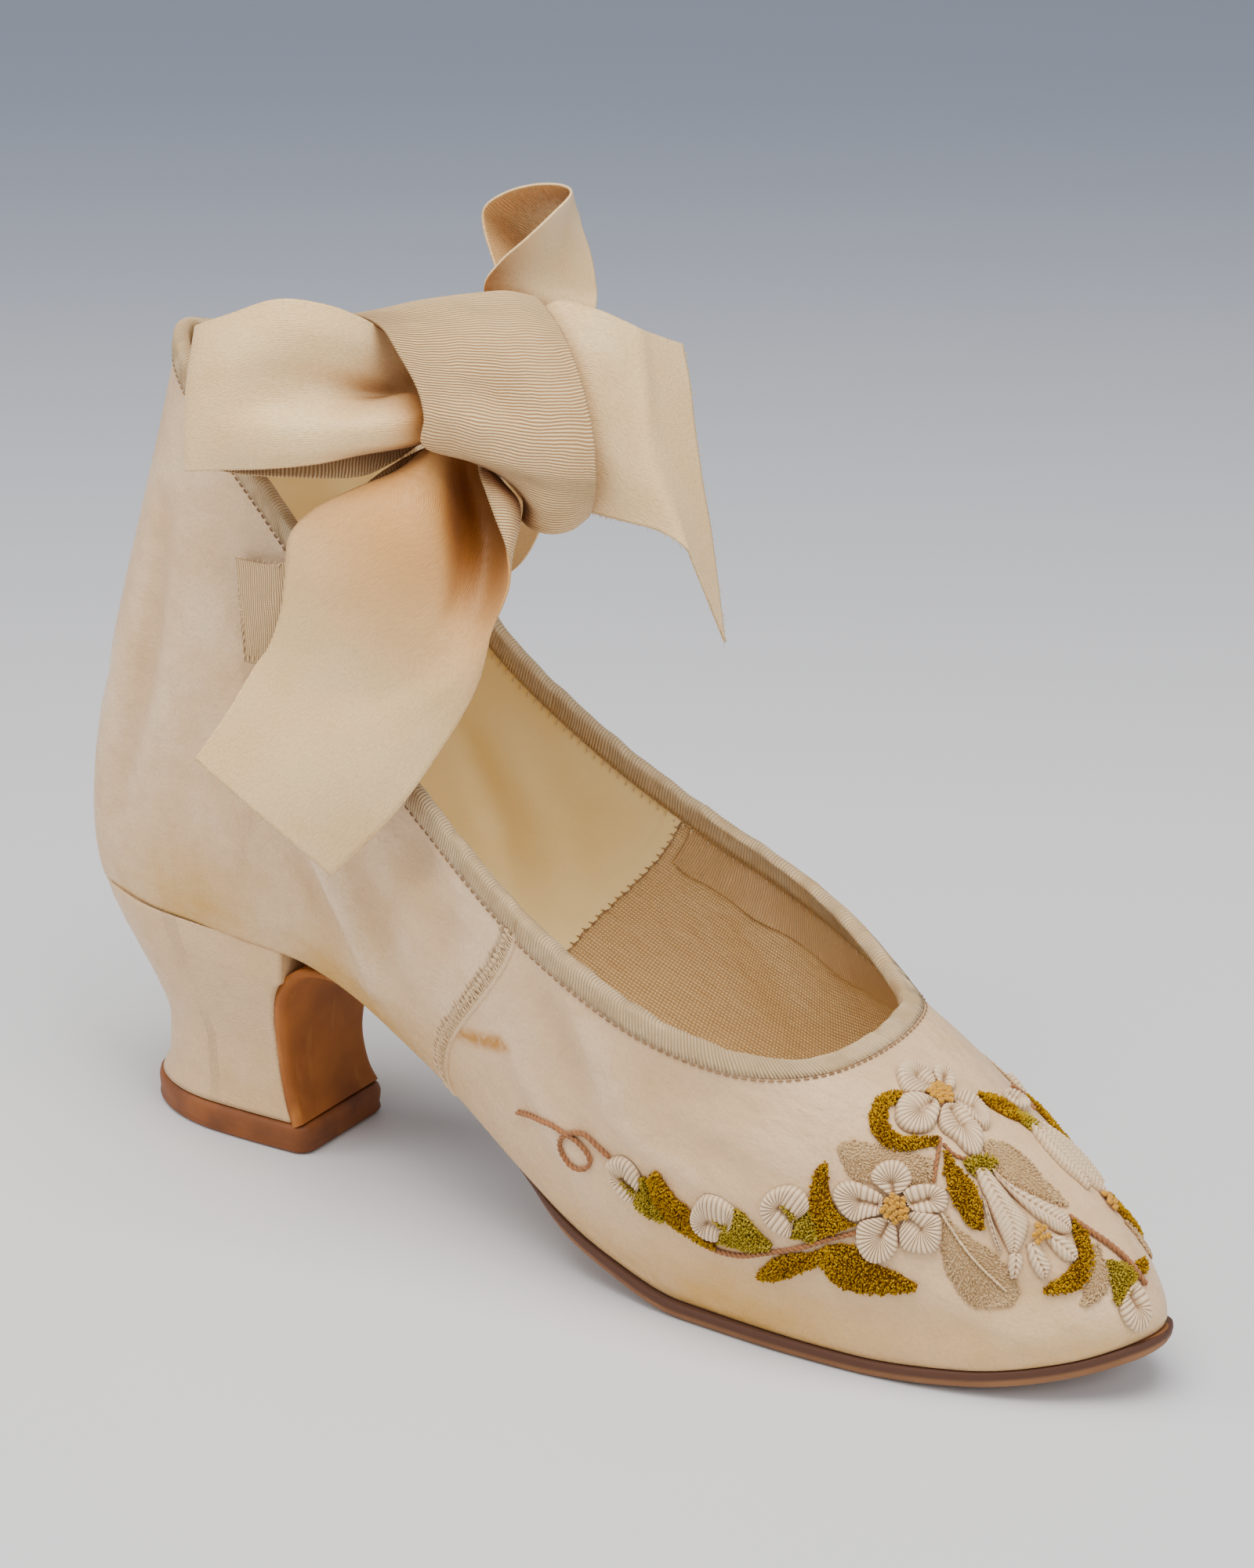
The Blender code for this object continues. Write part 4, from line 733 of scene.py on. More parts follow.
# Embroidery: slots of its looks, leaves, tufts, petals and knots
STAMEN_SLOT, CALYX_SLOT, OLIVE_SLOT, BEIGE_SLOT, VEIN_SLOT = range(1, 6)
LEAF_POINTS = 7
LEAF_TIP = 0.04
LEAF_FULLNESS = 0.7
SMALL_PILE_HEIGHT = 0.8 * PILE_HEIGHT
VEIN_POINTS = 40
VEIN_LIFT = 1.25 * PALE_PILE_HEIGHT
VEIN_RADIUS = 0.24
VEIN_TWIST = 1.4
PAD_STEP = 0.6
PAD_COLUMNS = 9
PAD_LIFT = 0.06
TUFT_SCATTER = 0.10
TUFT_NUDGE = 0.02
TUFT_THICKNESS = 0.62
TUFT_SHARE = 1.15
TUFT_LEAST_SHARE = 0.25
TUFT_LIE = 0.7
TUFT_SPREAD = 0.45
TUFT_STRAY = 0.32
TUFT_TIDY = 0.15
TUFT_LEAST = 0.45
TUFT_ROW_RISE = 0.25
TUFT_RISE = 0.30
TUFT_RINGS = ((0.0, 0.85, 0.0), (0.55, 1.0, 0.4), (0.88, 0.62, 0.8))
TUFT_SHADES = (0.45, 0.85, 1.0)
TUFT_TIP_SHADE = 1.05
PETAL_PUFF = (
    (0.06, 0.12), (0.14, 0.50), (0.26, 0.74), (0.40, 0.88), (0.54, 0.96), (0.67, 1.0), (0.79, 0.98),
    (0.88, 0.88), (0.95, 0.62), (1.0, 0.06),
)
PETAL_LIFT = 0.10
PETAL_TONE = 0.54
RIB_TONE = 0.44
PUFF_TONE = 0.40
FOLDED_COLUMNS = 15
FOLD_WIDTH = 0.14
KNOT_SWEEP = 3.4
KNOT_POINTS = 15
KNOT_THREAD = 0.30
KNOT_COIL = 0.40
KNOT_NARROWING = 0.45
KNOT_LIFT = 0.10
KNOT_RISE = 0.40
FLOWER_KNOTS = 19
FLOWER_KNOT_LIFT = 0.8 * PETAL_HEIGHT
BELL_KNOTS = 7
FAR_KNOTS_RADIUS = 1.7
FAR_KNOT_LIFT = 0.8
BUD_POINTS = 10
BUD_DIMPLE = 0.3

# Floor and lights, in metres: name, place, size, power and colour of each
FLOOR_SIDES = 96
LIGHT_AIM = (0.08, 0.0, 0.06)
LIGHTS = (
    ("overhead", (0.15, -0.25, 1.25), (1.1, 0.9), 22.0, (1.0, 0.97, 0.93)),
    ("side_left", (-0.9, -0.75, 0.65), (0.7, 0.8), 7.0, (1.0, 0.97, 0.94)),
    ("front_right", (1.2, -0.35, 0.7), (0.7, 0.7), 7.0, (0.96, 0.98, 1.0)),
)
ROOM_LIGHT = (0.93, 0.96, 1.0, 1.0)
ROOM_POWER = 0.45


def monotone(table, at):
    """A smooth curve through (x, y) rows that never swings past them."""
    x, y = np.array(table, float).T
    step = np.diff(x)
    slope = np.diff(y) / step
    turn = slope[1:] * slope[:-1] > 0
    total = np.where(turn, slope[1:] + slope[:-1], 1.0)
    inner = np.where(turn, 2 * slope[1:] * slope[:-1] / total, 0.0)
    tangent = np.concatenate([slope[:1], inner, slope[-1:]])
    at = np.clip(np.asarray(at, float), x[0], x[-1])
    i = np.clip(np.searchsorted(x, at) - 1, 0, len(step) - 1)
    t = (at - x[i]) / step[i]
    rise = (1 + 2 * t) * (1 - t) ** 2 * y[i] + t * t * (3 - 2 * t) * y[i + 1]
    return rise + step[i] * (t * (1 - t) ** 2 * tangent[i] + t * t * (t - 1) * tangent[i + 1])


def through_rows(rows, at, closed):
    """A smooth path through the rows, at row numbers that need not be whole."""
    rows = np.asarray(rows, float)
    count = len(rows)
    at = np.asarray(at, float)
    first = np.floor(at).astype(int)
    if not closed:
        first = np.clip(first, 0, count - 2)
    t = (at - first)[:, None]
    around = []
    for shift in (-1, 0, 1, 2):
        index = first + shift
        index = index % count if closed else np.clip(index, 0, count - 1)
        around.append(rows[index])
    before, start, end, after = around
    straight = 2 * start + (end - before) * t
    bend = (2 * before - 5 * start + 4 * end - after) * t**2
    return 0.5 * (straight + bend + (3 * start - before - 3 * end + after) * t**3)


def unit(vectors):
    return vectors / np.linalg.norm(vectors, axis=-1, keepdims=True)


def fade(low, high, x):
    """0 below low, 1 above high, smooth between."""
    t = np.clip((x - low) / (high - low), 0.0, 1.0)
    return t * t * (3 - 2 * t)


def sole_top(station):
    return monotone(UNDERSIDE, station) + SOLE_THICKNESS


def section_ring():
    right = np.array(list(SECTIONS.values()))
    mirror = np.array([-1.0 if name in SIDEWAYS else 1.0 for name in Section._fields])
    return np.concatenate([right, (right * mirror)[-2:0:-1]])


RING = section_ring()


def upper_surface(rows, heights):
    """Points of the last's face, as rows by heights by (station, side, height)."""
    rows = np.asarray(rows, float)
    values = through_rows(RING, rows % len(RING), True)
    part = Section(*values.T)
    feather = np.stack([part.feather_s, -part.feather_w, sole_top(part.feather_s) + GAP], -1)
    collar = np.stack([part.collar_s, -part.collar_w, part.collar_z], -1)
    small = 0.01
    ahead = through_rows(RING, (rows + small) % len(RING), True)
    behind = through_rows(RING, (rows - small) % len(RING), True)
    along = Section(*(ahead - behind).T)
    outward = unit(np.stack([along.feather_w, along.feather_s, np.zeros(len(rows))], -1))
    flat = np.zeros(len(rows))
    low = feather + outward * part.low_out[:, None] + np.stack([flat, flat, part.low_up], -1)
    high = collar + outward * part.high_out[:, None]
    high = high + np.stack([part.high_s, flat, part.high_z], -1)
    heights = np.asarray(heights, float)
    h = np.broadcast_to(heights, (len(rows), heights.shape[-1]))[..., None]
    ends = (1 - h) ** 3 * feather[:, None] + h**3 * collar[:, None]
    return ends + 3 * (1 - h) ** 2 * h * low[:, None] + 3 * (1 - h) * h**2 * high[:, None]


def upper_normals(rows, heights):
    rows = np.asarray(rows, float)
    heights = np.asarray(heights, float)
    small = 0.004
    round_the_shoe = upper_surface(rows + small, heights) - upper_surface(rows - small, heights)
    up_the_wall = upper_surface(rows, heights + small) - upper_surface(rows, heights - small)
    return unit(np.cross(up_the_wall, round_the_shoe))


def places(pairs):
    """Points of the last's face at (row, height) pairs."""
    pairs = np.asarray(pairs, float)
    return upper_surface(pairs[:, 0], pairs[:, 1:])[:, 0]


def distance_to_line(points, line):
    """Distance of each point from a run of straight pieces, and how far along it lies (0 to 1)."""
    best = np.full(points.shape[:-1], np.inf)
    along = np.zeros(points.shape[:-1])
    for index, (start, end) in enumerate(zip(line[:-1], line[1:])):
        run = end - start
        t = np.clip(((points - start) @ run) / (run @ run), 0.0, 1.0)
        gap = np.linalg.norm(points - start - t[..., None] * run, axis=-1)
        along = np.where(gap < best, (index + t) / (len(line) - 1), along)
        best = np.minimum(best, gap)
    return best, along


def run_lengths(points):
    """Length along a run of points, up to each of them."""
    steps = np.linalg.norm(np.diff(points, axis=0), axis=1)
    return np.concatenate([[0.0], np.cumsum(steps)])


def path_through(rows, count):
    """A smooth path of count points through the rows."""
    return through_rows(rows, np.linspace(0.0, len(rows) - 1.0, count), False)


def smooth_line(pairs):
    return places(path_through(pairs, LINE_POINTS))


def crease_lift(points):
    lift = np.zeros(points.shape[:-1])
    for crease in CREASES.values():
        gap, along = distance_to_line(points, smooth_line(crease.line))
        swell = np.sin(np.pi * np.clip(along, CREASE_TIP, 1.0 - CREASE_TIP))
        ends = CREASE_END_LIFT + (1.0 - CREASE_END_LIFT) * swell
        lift += CREASE_GAIN * crease.lift * ends * np.exp(-((gap / crease.half_width) ** 2))
    return lift


def on_vamp(rows):
    turned = np.asarray(rows) % RING_ROWS
    return (turned < SEAM_ROW) | (turned > RING_ROWS - SEAM_ROW)


VAMP_STEP = 0.25
SEAM_SEED = 31


def satin_face(rows, heights):
    """The satin's outer face, with its creases and the vamp's step, and its outward directions."""
    rows = np.asarray(rows, float)
    face = upper_surface(rows, heights)
    normals = upper_normals(rows, heights)
    h = np.broadcast_to(np.asarray(heights, float), face.shape[:-1])
    calm = fade(*CALM_FOOT, h) * (1.0 - fade(*CALM_COLLAR, h))
    step = np.where(on_vamp(rows), VAMP_STEP, 0.0)[:, None] * fade(*STEP_FOOT, h)
    lift = crease_lift(face) * calm + step
    return face + normals * lift[..., None], normals


def satin_line(rows, heights):
    """Places on the satin and outward directions there, one for each row and height."""
    face, normals = satin_face(rows, np.asarray(heights, float)[:, None])
    return face[:, 0], normals[:, 0]


def wall_column(row, heights):
    """Lengths up the wall at a row, and the millimetres between it and the next row."""
    here = upper_surface([row], heights)[0]
    ahead = upper_surface([row + np.sign(row) * ROW_NUDGE], heights)[0]
    return run_lengths(here), np.linalg.norm(ahead - here, axis=1) / ROW_NUDGE


def marks_along(length, start, end, spacing):
    """Numbers of the points that lie at even spaces along a run, off both its ends."""
    return np.searchsorted(length, np.arange(start, length[-1] - end, spacing))


def binding_edge(rows):
    """Heights on the wall where the binding's lower edge lies."""
    rim = upper_surface(rows, [1.0])[:, 0]
    part = 0.01
    length = np.linalg.norm(rim - upper_surface(rows, [1.0 - part])[:, 0], axis=1) / part
    return 1.0 - BINDING_DEPTH / length


def to_metres(points):
    return (np.asarray(points, float) - np.array([ORIGIN_STATION, 0.0, 0.0])) * MM


def cross_pair(along):
    """Two directions across each given one."""
    first = unit(np.cross(along, LEAN))
    return first, np.cross(along, first)


def swing(turn, first, second):
    """Directions at angles from first towards second."""
    return np.cos(turn)[..., None] * first + np.sin(turn)[..., None] * second


class Mesh:
    """Gathers points and faces into one mesh, with a flat map in millimetres and a shade."""

    def __init__(self):
        self.points = []
        self.faces = []
        self.slots = []
        self.flat = []
        self.extra = []
        self.periods = []
        self.count = 0

    def add(self, points, faces, slot=0, flat=None, period=None, **extra):
        """period is the axis and the length of a flat map that runs round and meets itself."""
        if period is not None:
            self.periods.append((len(self.faces), len(faces), *period))
        points = np.asarray(points, float).reshape(-1, 3)
        flat = np.zeros((len(points), 2)) if flat is None else np.asarray(flat).reshape(-1, 2)
        self.join(np.asarray(faces, int) + self.count, slot)
        self.points.append(points)
        self.flat.append(flat)
        spread = {}
        for name, value in extra.items():
            spread[name] = np.broadcast_to(np.asarray(value, float).reshape(-1), (len(points),))
        self.extra.append(spread)
        self.count += len(points)

    def join(self, faces, slot=0):
        """Faces over points that are there already, by their numbers."""
        self.faces += faces.tolist() if isinstance(faces, np.ndarray) else [list(face) for face in faces]
        self.slots.append(np.broadcast_to(slot, (len(faces),)))

    def make(self, name, materials, slot, node=None):
        """The piece, with the CAD node that it stands for hidden; slot is not used."""
        mesh = bpy.data.meshes.new(name)
        points = np.concatenate(self.points)
        mesh.from_pydata(to_metres(points).tolist(), [], self.faces)
        for material in materials:
            mesh.materials.append(material)
        mesh.polygons.foreach_set("material_index", np.concatenate(self.slots).astype(np.int32))
        mesh.polygons.foreach_set("use_smooth", np.ones(len(self.faces), bool))
        corners = np.empty(len(mesh.loops), np.int32)
        mesh.loops.foreach_get("vertex_index", corners)
        layer = mesh.uv_layers.new(name="flat")
        flat = np.concatenate(self.flat)[corners]
        for first, count, axis, length in self.periods:
            start = mesh.polygons[first].loop_start
            ring = flat[start : start + 4 * count, axis].reshape(-1, 4)
            ring = ring + length * (ring < ring.max(axis=1, keepdims=True) - 0.5 * length)
            flat[start : start + 4 * count, axis] = ring.ravel()
        layer.data.foreach_set("uv", flat.astype(np.float32).ravel())
        for key in sorted({key for spread in self.extra for key in spread}):
            values = [s.get(key, np.zeros(len(p))) for s, p in zip(self.extra, self.points)]
            attribute = mesh.attributes.new(key, "FLOAT", "POINT")
            attribute.data.foreach_set("value", np.concatenate(values).astype(np.float32))
        mesh.update()
        made = bpy.data.objects.new(name, mesh)
        bpy.context.scene.collection.objects.link(made)
        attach(made, "root")
        if node:
            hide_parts(node)
        return made


def grid(count_a, count_b, closed_a=False, closed_b=False, flip=False):
    """Quads over a grid of points, count_a by count_b."""
    index = np.arange(count_a * count_b).reshape(count_a, count_b)
    if closed_a:
        index = np.concatenate([index, index[:1]])
    if closed_b:
        index = np.concatenate([index, index[:, :1]], axis=1)
    a, b, c, d = index[:-1, :-1], index[1:, :-1], index[1:, 1:], index[:-1, 1:]
    faces = np.stack([a, b, c, d], -1).reshape(-1, 4)
    return faces[:, ::-1] if flip else faces


def flat_map(points):
    """Lengths in millimetres along both directions of a grid of points."""
    step_a = np.linalg.norm(np.diff(points, axis=0), axis=-1)
    step_b = np.linalg.norm(np.diff(points, axis=1), axis=-1)
    along_a = np.concatenate([np.zeros((1, points.shape[1])), np.cumsum(step_a, axis=0)])
    along_b = np.concatenate([np.zeros((points.shape[0], 1)), np.cumsum(step_b, axis=1)], axis=1)
    middle = along_a.mean(axis=1, keepdims=True) + np.zeros_like(along_b)
    return np.stack([middle, along_b], -1)


def girth(points):
    """Mean length right round the first direction of a closed grid."""
    return np.linalg.norm(points - np.roll(points, 1, axis=0), axis=-1).sum(axis=0).mean()


SATIN_PITCH = 0.42
SATIN_PUCKER = 0.8
HEEL_PUCKER = 0.2
WARP_PITCH = 0.42
# Reaches in millimetres of the painted shade in folds and hollows
RIBBON_HOLLOW = 16.0
PETAL_HOLLOW = 1.2
TRIM_HOLLOW = 1.5
HOLLOW_OPEN = 0.80
HOLLOW_SHUT = 0.22
HOLLOW_SAMPLES = 8
LINEN_PITCH = 0.62
GLOSS_TINT = (1.0, 0.88, 0.72, 1.0)


def socket_name(name):
    return name.replace("_", " ").title().replace("Ior", "IOR")


class Look:
    """A material's node tree, with short calls for the nodes that it uses."""

    def __init__(self, name, **sockets):
        self.material = bpy.data.materials.new(name)
        self.material.use_nodes = True
        self.nodes = self.material.node_tree.nodes
        self.links = self.material.node_tree.links
        self.shader = self.nodes["Principled BSDF"]
        for socket, value in sockets.items():
            self.shader.inputs[socket_name(socket)].default_value = value

    def node(self, kind, **inputs):
        made = self.nodes.new(kind)
        for name, value in inputs.items():
            self.feed(made.inputs[socket_name(name)], value)
        return made

    def feed(self, socket, value):
        if isinstance(value, bpy.types.NodeSocket):
            self.links.new(value, socket)
        else:
            socket.default_value = value

    def flat(self):
        made = self.nodes.new("ShaderNodeUVMap")
        made.uv_map = "flat"
        return made.outputs["UV"]

    def space(self):
        return self.nodes.new("ShaderNodeTexCoord").outputs["Object"]

    def attribute(self, name):
        made = self.nodes.new("ShaderNodeAttribute")
        made.attribute_name = name
        return made.outputs["Fac"]

    def noise(self, vector, scale, detail):
        return self.node("ShaderNodeTexNoise", vector=vector, scale=scale, detail=detail).outputs["Fac"]

    def streaks(self, vector, scale, detail=3.0):
        """Noise with its own scale along each axis."""
        drawn = self.node("ShaderNodeMapping", vector=vector, scale=scale)
        return self.noise(drawn.outputs["Vector"], 1.0, detail)

    def grain(self, scale, detail):
        return self.noise(self.space(), scale, detail)

    def cloud(self, scale, detail, *ends):
        """Noise in space, spread between the ends of a ramp."""
        return self.ramp(self.grain(scale, detail), *ends)

    def math(self, operation, a, b=0.0):
        made = self.nodes.new("ShaderNodeMath")
        made.operation = operation
        self.feed(made.inputs[0], a)
        self.feed(made.inputs[1], b)
        return made.outputs[0]

    def times(self, a, b):
        return self.math("MULTIPLY", a, b)

    def wave(self, vector, axis, pitch):
        """0 to 1 along one axis of a flat map in millimetres, once each pitch."""
        split = self.node("ShaderNodeSeparateXYZ", vector=vector).outputs[axis]
        turn = self.math("SINE", self.times(split, 2 * np.pi / pitch))
        return self.math("ADD", self.times(turn, 0.5), 0.5)

    def ramp(self, factor, low, high, start=0.0, end=1.0):
        """factor from low to high, as start to end."""
        ends = {"from_min": low, "from_max": high, "to_min": start, "to_max": end}
        made = self.node("ShaderNodeMapRange", value=factor, **ends)
        made.clamp = True
        return made.outputs["Result"]

    def hollow(self, reach):
        """A mask for painted shade: 1 deep in folds and corners that are about reach millimetres wide, 0 on
        open faces.
        """
        made = self.node("ShaderNodeAmbientOcclusion", distance=reach * MM)
        made.samples = HOLLOW_SAMPLES
        return self.ramp(made.outputs["AO"], HOLLOW_OPEN, HOLLOW_SHUT)

    def warm_gloss(self):
        self.shader.inputs["Specular Tint"].default_value = GLOSS_TINT
        self.shader.inputs["Sheen Tint"].default_value = GLOSS_TINT

    def layers(self, colour, *coats):
        """A colour under coats, each given as how much of it shows and its own colour."""
        for factor, coat in coats:
            made = self.nodes.new("ShaderNodeMix")
            made.data_type = "RGBA"
            self.feed(made.inputs["Factor"], factor)
            self.feed(made.inputs[6], (*colour, 1.0) if isinstance(colour, tuple) else colour)
            self.feed(made.inputs[7], (*coat, 1.0))
            colour = made.outputs[2]
        return colour

    def finish(self, colour, *bumps, roughness=None):
        """The material. Bumps are heights and their depths in millimetres, each laid over those before."""
        self.links.new(colour, self.shader.inputs["Base Color"])
        normal = self.shader.inputs["Normal"]
        for height, depth in reversed(bumps):
            made = self.node("ShaderNodeBump", height=height, distance=depth * MM)
            self.links.new(made.outputs["Normal"], normal)
            normal = made.inputs["Normal"]
        if roughness is not None:
            self.links.new(roughness, self.shader.inputs["Roughness"])
        return self.material


IVORY = (0.83, 0.58, 0.355)
IVORY_PALE = (0.90, 0.66, 0.43)
IVORY_PAINTED_HIGHLIGHT = (0.98, 0.78, 0.56)
IVORY_WARM = (0.79, 0.52, 0.285)
IVORY_DIRT_AND_SHADE = (0.56, 0.34, 0.17)
YELLOWED = (0.62, 0.34, 0.06)
RUST = (0.48, 0.19, 0.0)
RIBBON_IVORY = (0.96, 0.69, 0.36)
RIBBON_WARM = (0.92, 0.61, 0.28)
RIBBON_PAINTED_GOLDEN_SHADE = (0.66, 0.31, 0.08)
RIBBON_PEACH = (1.0, 0.71, 0.36)
RIBBON_GROOVE = (0.50, 0.265, 0.10)
RIBBON_RIB_GROOVE = (0.44, 0.21, 0.07)
RIBBON_GLOW = (1.0, 0.68, 0.30)
RIBBON_GLOW_GROOVE = (0.98, 0.54, 0.19)
RIBBON_PAINTED_FOLD_SHADE = (0.26, 0.075, 0.008)
BINDING_CREAM = (0.74, 0.54, 0.31)
BINDING_GROOVE = (0.50, 0.32, 0.15)
TAPE = (0.80, 0.53, 0.27)
TAPE_GROOVE = (0.58, 0.33, 0.13)
KID = (0.98, 0.78, 0.39)
KID_WORN = (0.94, 0.71, 0.31)
LINEN = (0.88, 0.63, 0.33)
LINEN_DARK = (0.44, 0.24, 0.085)
TAN = (0.40, 0.125, 0.018)
TAN_DARK = (0.25, 0.072, 0.011)
TAN_BRIGHT = (0.48, 0.18, 0.032)
SOLE_BROWN = (0.085, 0.032, 0.016)
SOLE_TAN = (0.28, 0.125, 0.045)
SOLE_WORN = (0.20, 0.08, 0.028)
LIFT_BROWN = (0.27, 0.082, 0.018)
LIFT_DARK = (0.15, 0.045, 0.012)
THREAD_BROWN = (0.34, 0.18, 0.07)
THREAD_PALE = (0.80, 0.58, 0.33)
OLIVE = (0.40, 0.20, 0.0)
OLIVE_DARK = (0.15, 0.05, 0.0)
OLIVE_BRIGHT = (0.62, 0.37, 0.0)
CALYX = (0.42, 0.29, 0.02)
CALYX_DARK = (0.18, 0.11, 0.004)
CALYX_BRIGHT = (0.60, 0.46, 0.07)
BEIGE = (0.56, 0.375, 0.19)
BEIGE_DARK = (0.42, 0.25, 0.11)
BEIGE_PALE = (0.68, 0.49, 0.29)
PETAL = (0.82, 0.60, 0.365)
PETAL_SHADE = (0.34, 0.19, 0.085)
PETAL_PAINTED_FOLD_SHADE = (0.30, 0.14, 0.05)
KNOT_YELLOW = (0.64, 0.29, 0.002)
STEM_BROWN = (0.38, 0.135, 0.03)


def satin_look(name, warp, light=IVORY, pucker=SATIN_PUCKER):
    """Satin that has yellowed towards the sole. warp is the flat map's axis that the gloss runs along."""
    look = Look(name, roughness=0.40, anisotropic=0.55, sheen_weight=0.10, sheen_roughness=0.35)
    look.warm_gloss()
    flat = look.flat()
    threads = look.streaks(flat, (0.35, 6.0, 1.0) if warp == 0 else (6.0, 0.35, 1.0))
    lines = look.times(look.wave(flat, 1 - warp, SATIN_PITCH), threads)
    crease = look.attribute("crease")
    soil = look.cloud(260.0, 5.0, 0.45, 0.80)
    grain = look.ramp(look.noise(flat, 1.6, 3.0), 0.36, 0.70)
    colour = look.layers(
        light,
        (look.cloud(55.0, 4.0, 0.36, 0.66), IVORY_WARM),
        # Painted highlight on the creases' ridges and painted shade in their troughs; soil, weave lines and
        # grain use the same dark colour
        (look.ramp(crease, 0.0, 1.0, 0.0, 0.75), IVORY_PAINTED_HIGHLIGHT),
        (look.ramp(crease, -1.0, 0.0, 0.60, 0.0), IVORY_DIRT_AND_SHADE),
        (look.times(soil, 0.30), IVORY_DIRT_AND_SHADE),
        (look.times(lines, 0.32), IVORY_DIRT_AND_SHADE),
        (look.times(grain, 0.34), IVORY_DIRT_AND_SHADE),
        (look.times(look.attribute("age"), look.cloud(120.0, 3.0, 0.05, 0.70, 0.35, 1.0)), YELLOWED),
        (look.times(look.attribute("stain"), look.cloud(800.0, 4.0, 0.20, 0.50, 0.25, 1.0)), RUST),
    )
    return look.finish(
        colour,
        (lines, 0.05),
        (grain, 0.04),
        (look.noise(flat, 0.9, 4.0), 0.12),
        (look.noise(flat, 0.16, 2.0), pucker),
        roughness=look.ramp(soil, 0.0, 1.0, 0.27, 0.40),
    )


def ribbon_satin_look():
    look = Look("ribbon_satin", roughness=0.38, anisotropic=0.4, sheen_weight=0.10, sheen_roughness=0.4)
    look.warm_gloss()
    flat = look.flat()
    lines = look.times(look.wave(flat, 1, SATIN_PITCH), look.streaks(flat, (0.4, 6.0, 1.0)))
    grain = look.ramp(look.streaks(flat, (1.2, 3.2, 1.0)), 0.36, 0.70)
    colour = look.layers(
        RIBBON_IVORY,
        (look.cloud(70.0, 4.0, 0.35, 0.7), RIBBON_WARM),
        # Painted golden shade near the knot, from the shade attribute
        (look.attribute("shade"), RIBBON_PAINTED_GOLDEN_SHADE),
        (look.times(grain, 0.34), RIBBON_GROOVE),
        (look.times(lines, 0.25), RIBBON_GROOVE),
        # Painted shade in the ribbon's folds
        (look.hollow(RIBBON_HOLLOW), RIBBON_PAINTED_FOLD_SHADE),
    )
    return look.finish(colour, (lines, 0.06), (grain, 0.05), (look.noise(flat, 0.8, 4.0), 0.12))


def grosgrain_look(name, colour, deep, hollow, pitch=RIB_PITCH):
    """Ribbed ribbon: ribs across its width, broken by the warp threads, with painted shade in its hollows.
    """
    look = Look(name, roughness=0.55, sheen_weight=0.10, sheen_roughness=0.5)
    look.warm_gloss()
    flat = look.flat()
    bent = look.node("ShaderNodeVectorMath")
    look.links.new(flat, bent.inputs[0])
    look.links.new(look.times(look.noise(flat, 0.12, 2.0), 1.6), bent.inputs[1])
    bent = bent.outputs["Vector"]
    warp = look.math("ADD", look.times(look.wave(bent, 1, WARP_PITCH), 0.30), 0.70)
    cells = look.times(look.wave(bent, 0, pitch), warp)
    tint = look.layers(deep, (look.ramp(cells, 0.05, 0.65), colour))
    if hollow:
        # Painted shade in the hollows
        tint = look.layers(tint, (look.hollow(hollow), RIBBON_PAINTED_FOLD_SHADE))
    return look.finish(tint, (cells, 0.30), (look.grain(160.0, 3.0), 0.25))


def kid_look():
    look = Look("kid_leather", roughness=0.48, specular_ior_level=0.4)
    colour = look.layers(KID, (look.cloud(60.0, 4.0, 0.42, 0.72), KID_WORN))
    folds = look.streaks(look.space(), (40.0, 40.0, 90.0), 1.0)
    return look.finish(colour, (look.grain(1500.0, 3.0), 0.04), (folds, 0.5))


def linen_look():
    look = Look("linen_twill", roughness=0.8)
    flat = look.flat()
    threads = look.times(look.wave(flat, 0, LINEN_PITCH), look.wave(flat, 1, LINEN_PITCH))
    cloth = look.math("ADD", threads, look.times(look.streaks(flat, (0.15, 2.0, 1.0)), 0.5))
    colour = look.layers(LINEN_DARK, (look.ramp(cloth, 0.1, 0.9), LINEN))
    return look.finish(colour, (threads, 0.16), (look.grain(110.0, 3.0), 0.6))


def tan_leather_look():
    look = Look("breast_leather", roughness=0.62, specular_ior_level=0.3)
    streaks = look.streaks(look.space(), (300.0, 300.0, 40.0), 4.0)
    dark = look.cloud(90.0, 3.0, 0.35, 0.7)
    colour = look.layers(TAN, (dark, TAN_DARK), (look.ramp(streaks, 0.55, 0.8), TAN_BRIGHT))
    return look.finish(colour, (look.grain(1800.0, 3.0), 0.07))


def sole_look():
    look = Look("sole_leather_worn", roughness=0.6, specular_ior_level=0.35)
    worn = look.cloud(80.0, 4.0, 0.35, 0.7)
    edge = look.ramp(look.attribute("edge"), 0.42, 0.62)
    fibres = look.streaks(look.space(), (60.0, 60.0, 900.0))
    colour = look.layers(SOLE_TAN, (worn, SOLE_WORN), (edge, SOLE_BROWN))
    return look.finish(colour, (fibres, 0.10), (look.grain(900.0, 3.0), 0.08))


def lift_look():
    look = Look("lift_leather_dark", roughness=0.55, specular_ior_level=0.35)
    colour = look.layers(LIFT_BROWN, (look.cloud(120.0, 3.0, 0.35, 0.7), LIFT_DARK))
    return look.finish(colour, (look.streaks(look.space(), (60.0, 60.0, 1100.0)), 0.16))


def pile_look(name, deep, middle, bright):
    look = Look(name, roughness=0.95, specular_ior_level=0.08)
    shade = look.attribute("shade")
    lower = look.ramp(shade, 0.0, 0.55)
    return look.finish(look.layers(deep, (lower, middle), (look.ramp(shade, 0.55, 1.0), bright)))


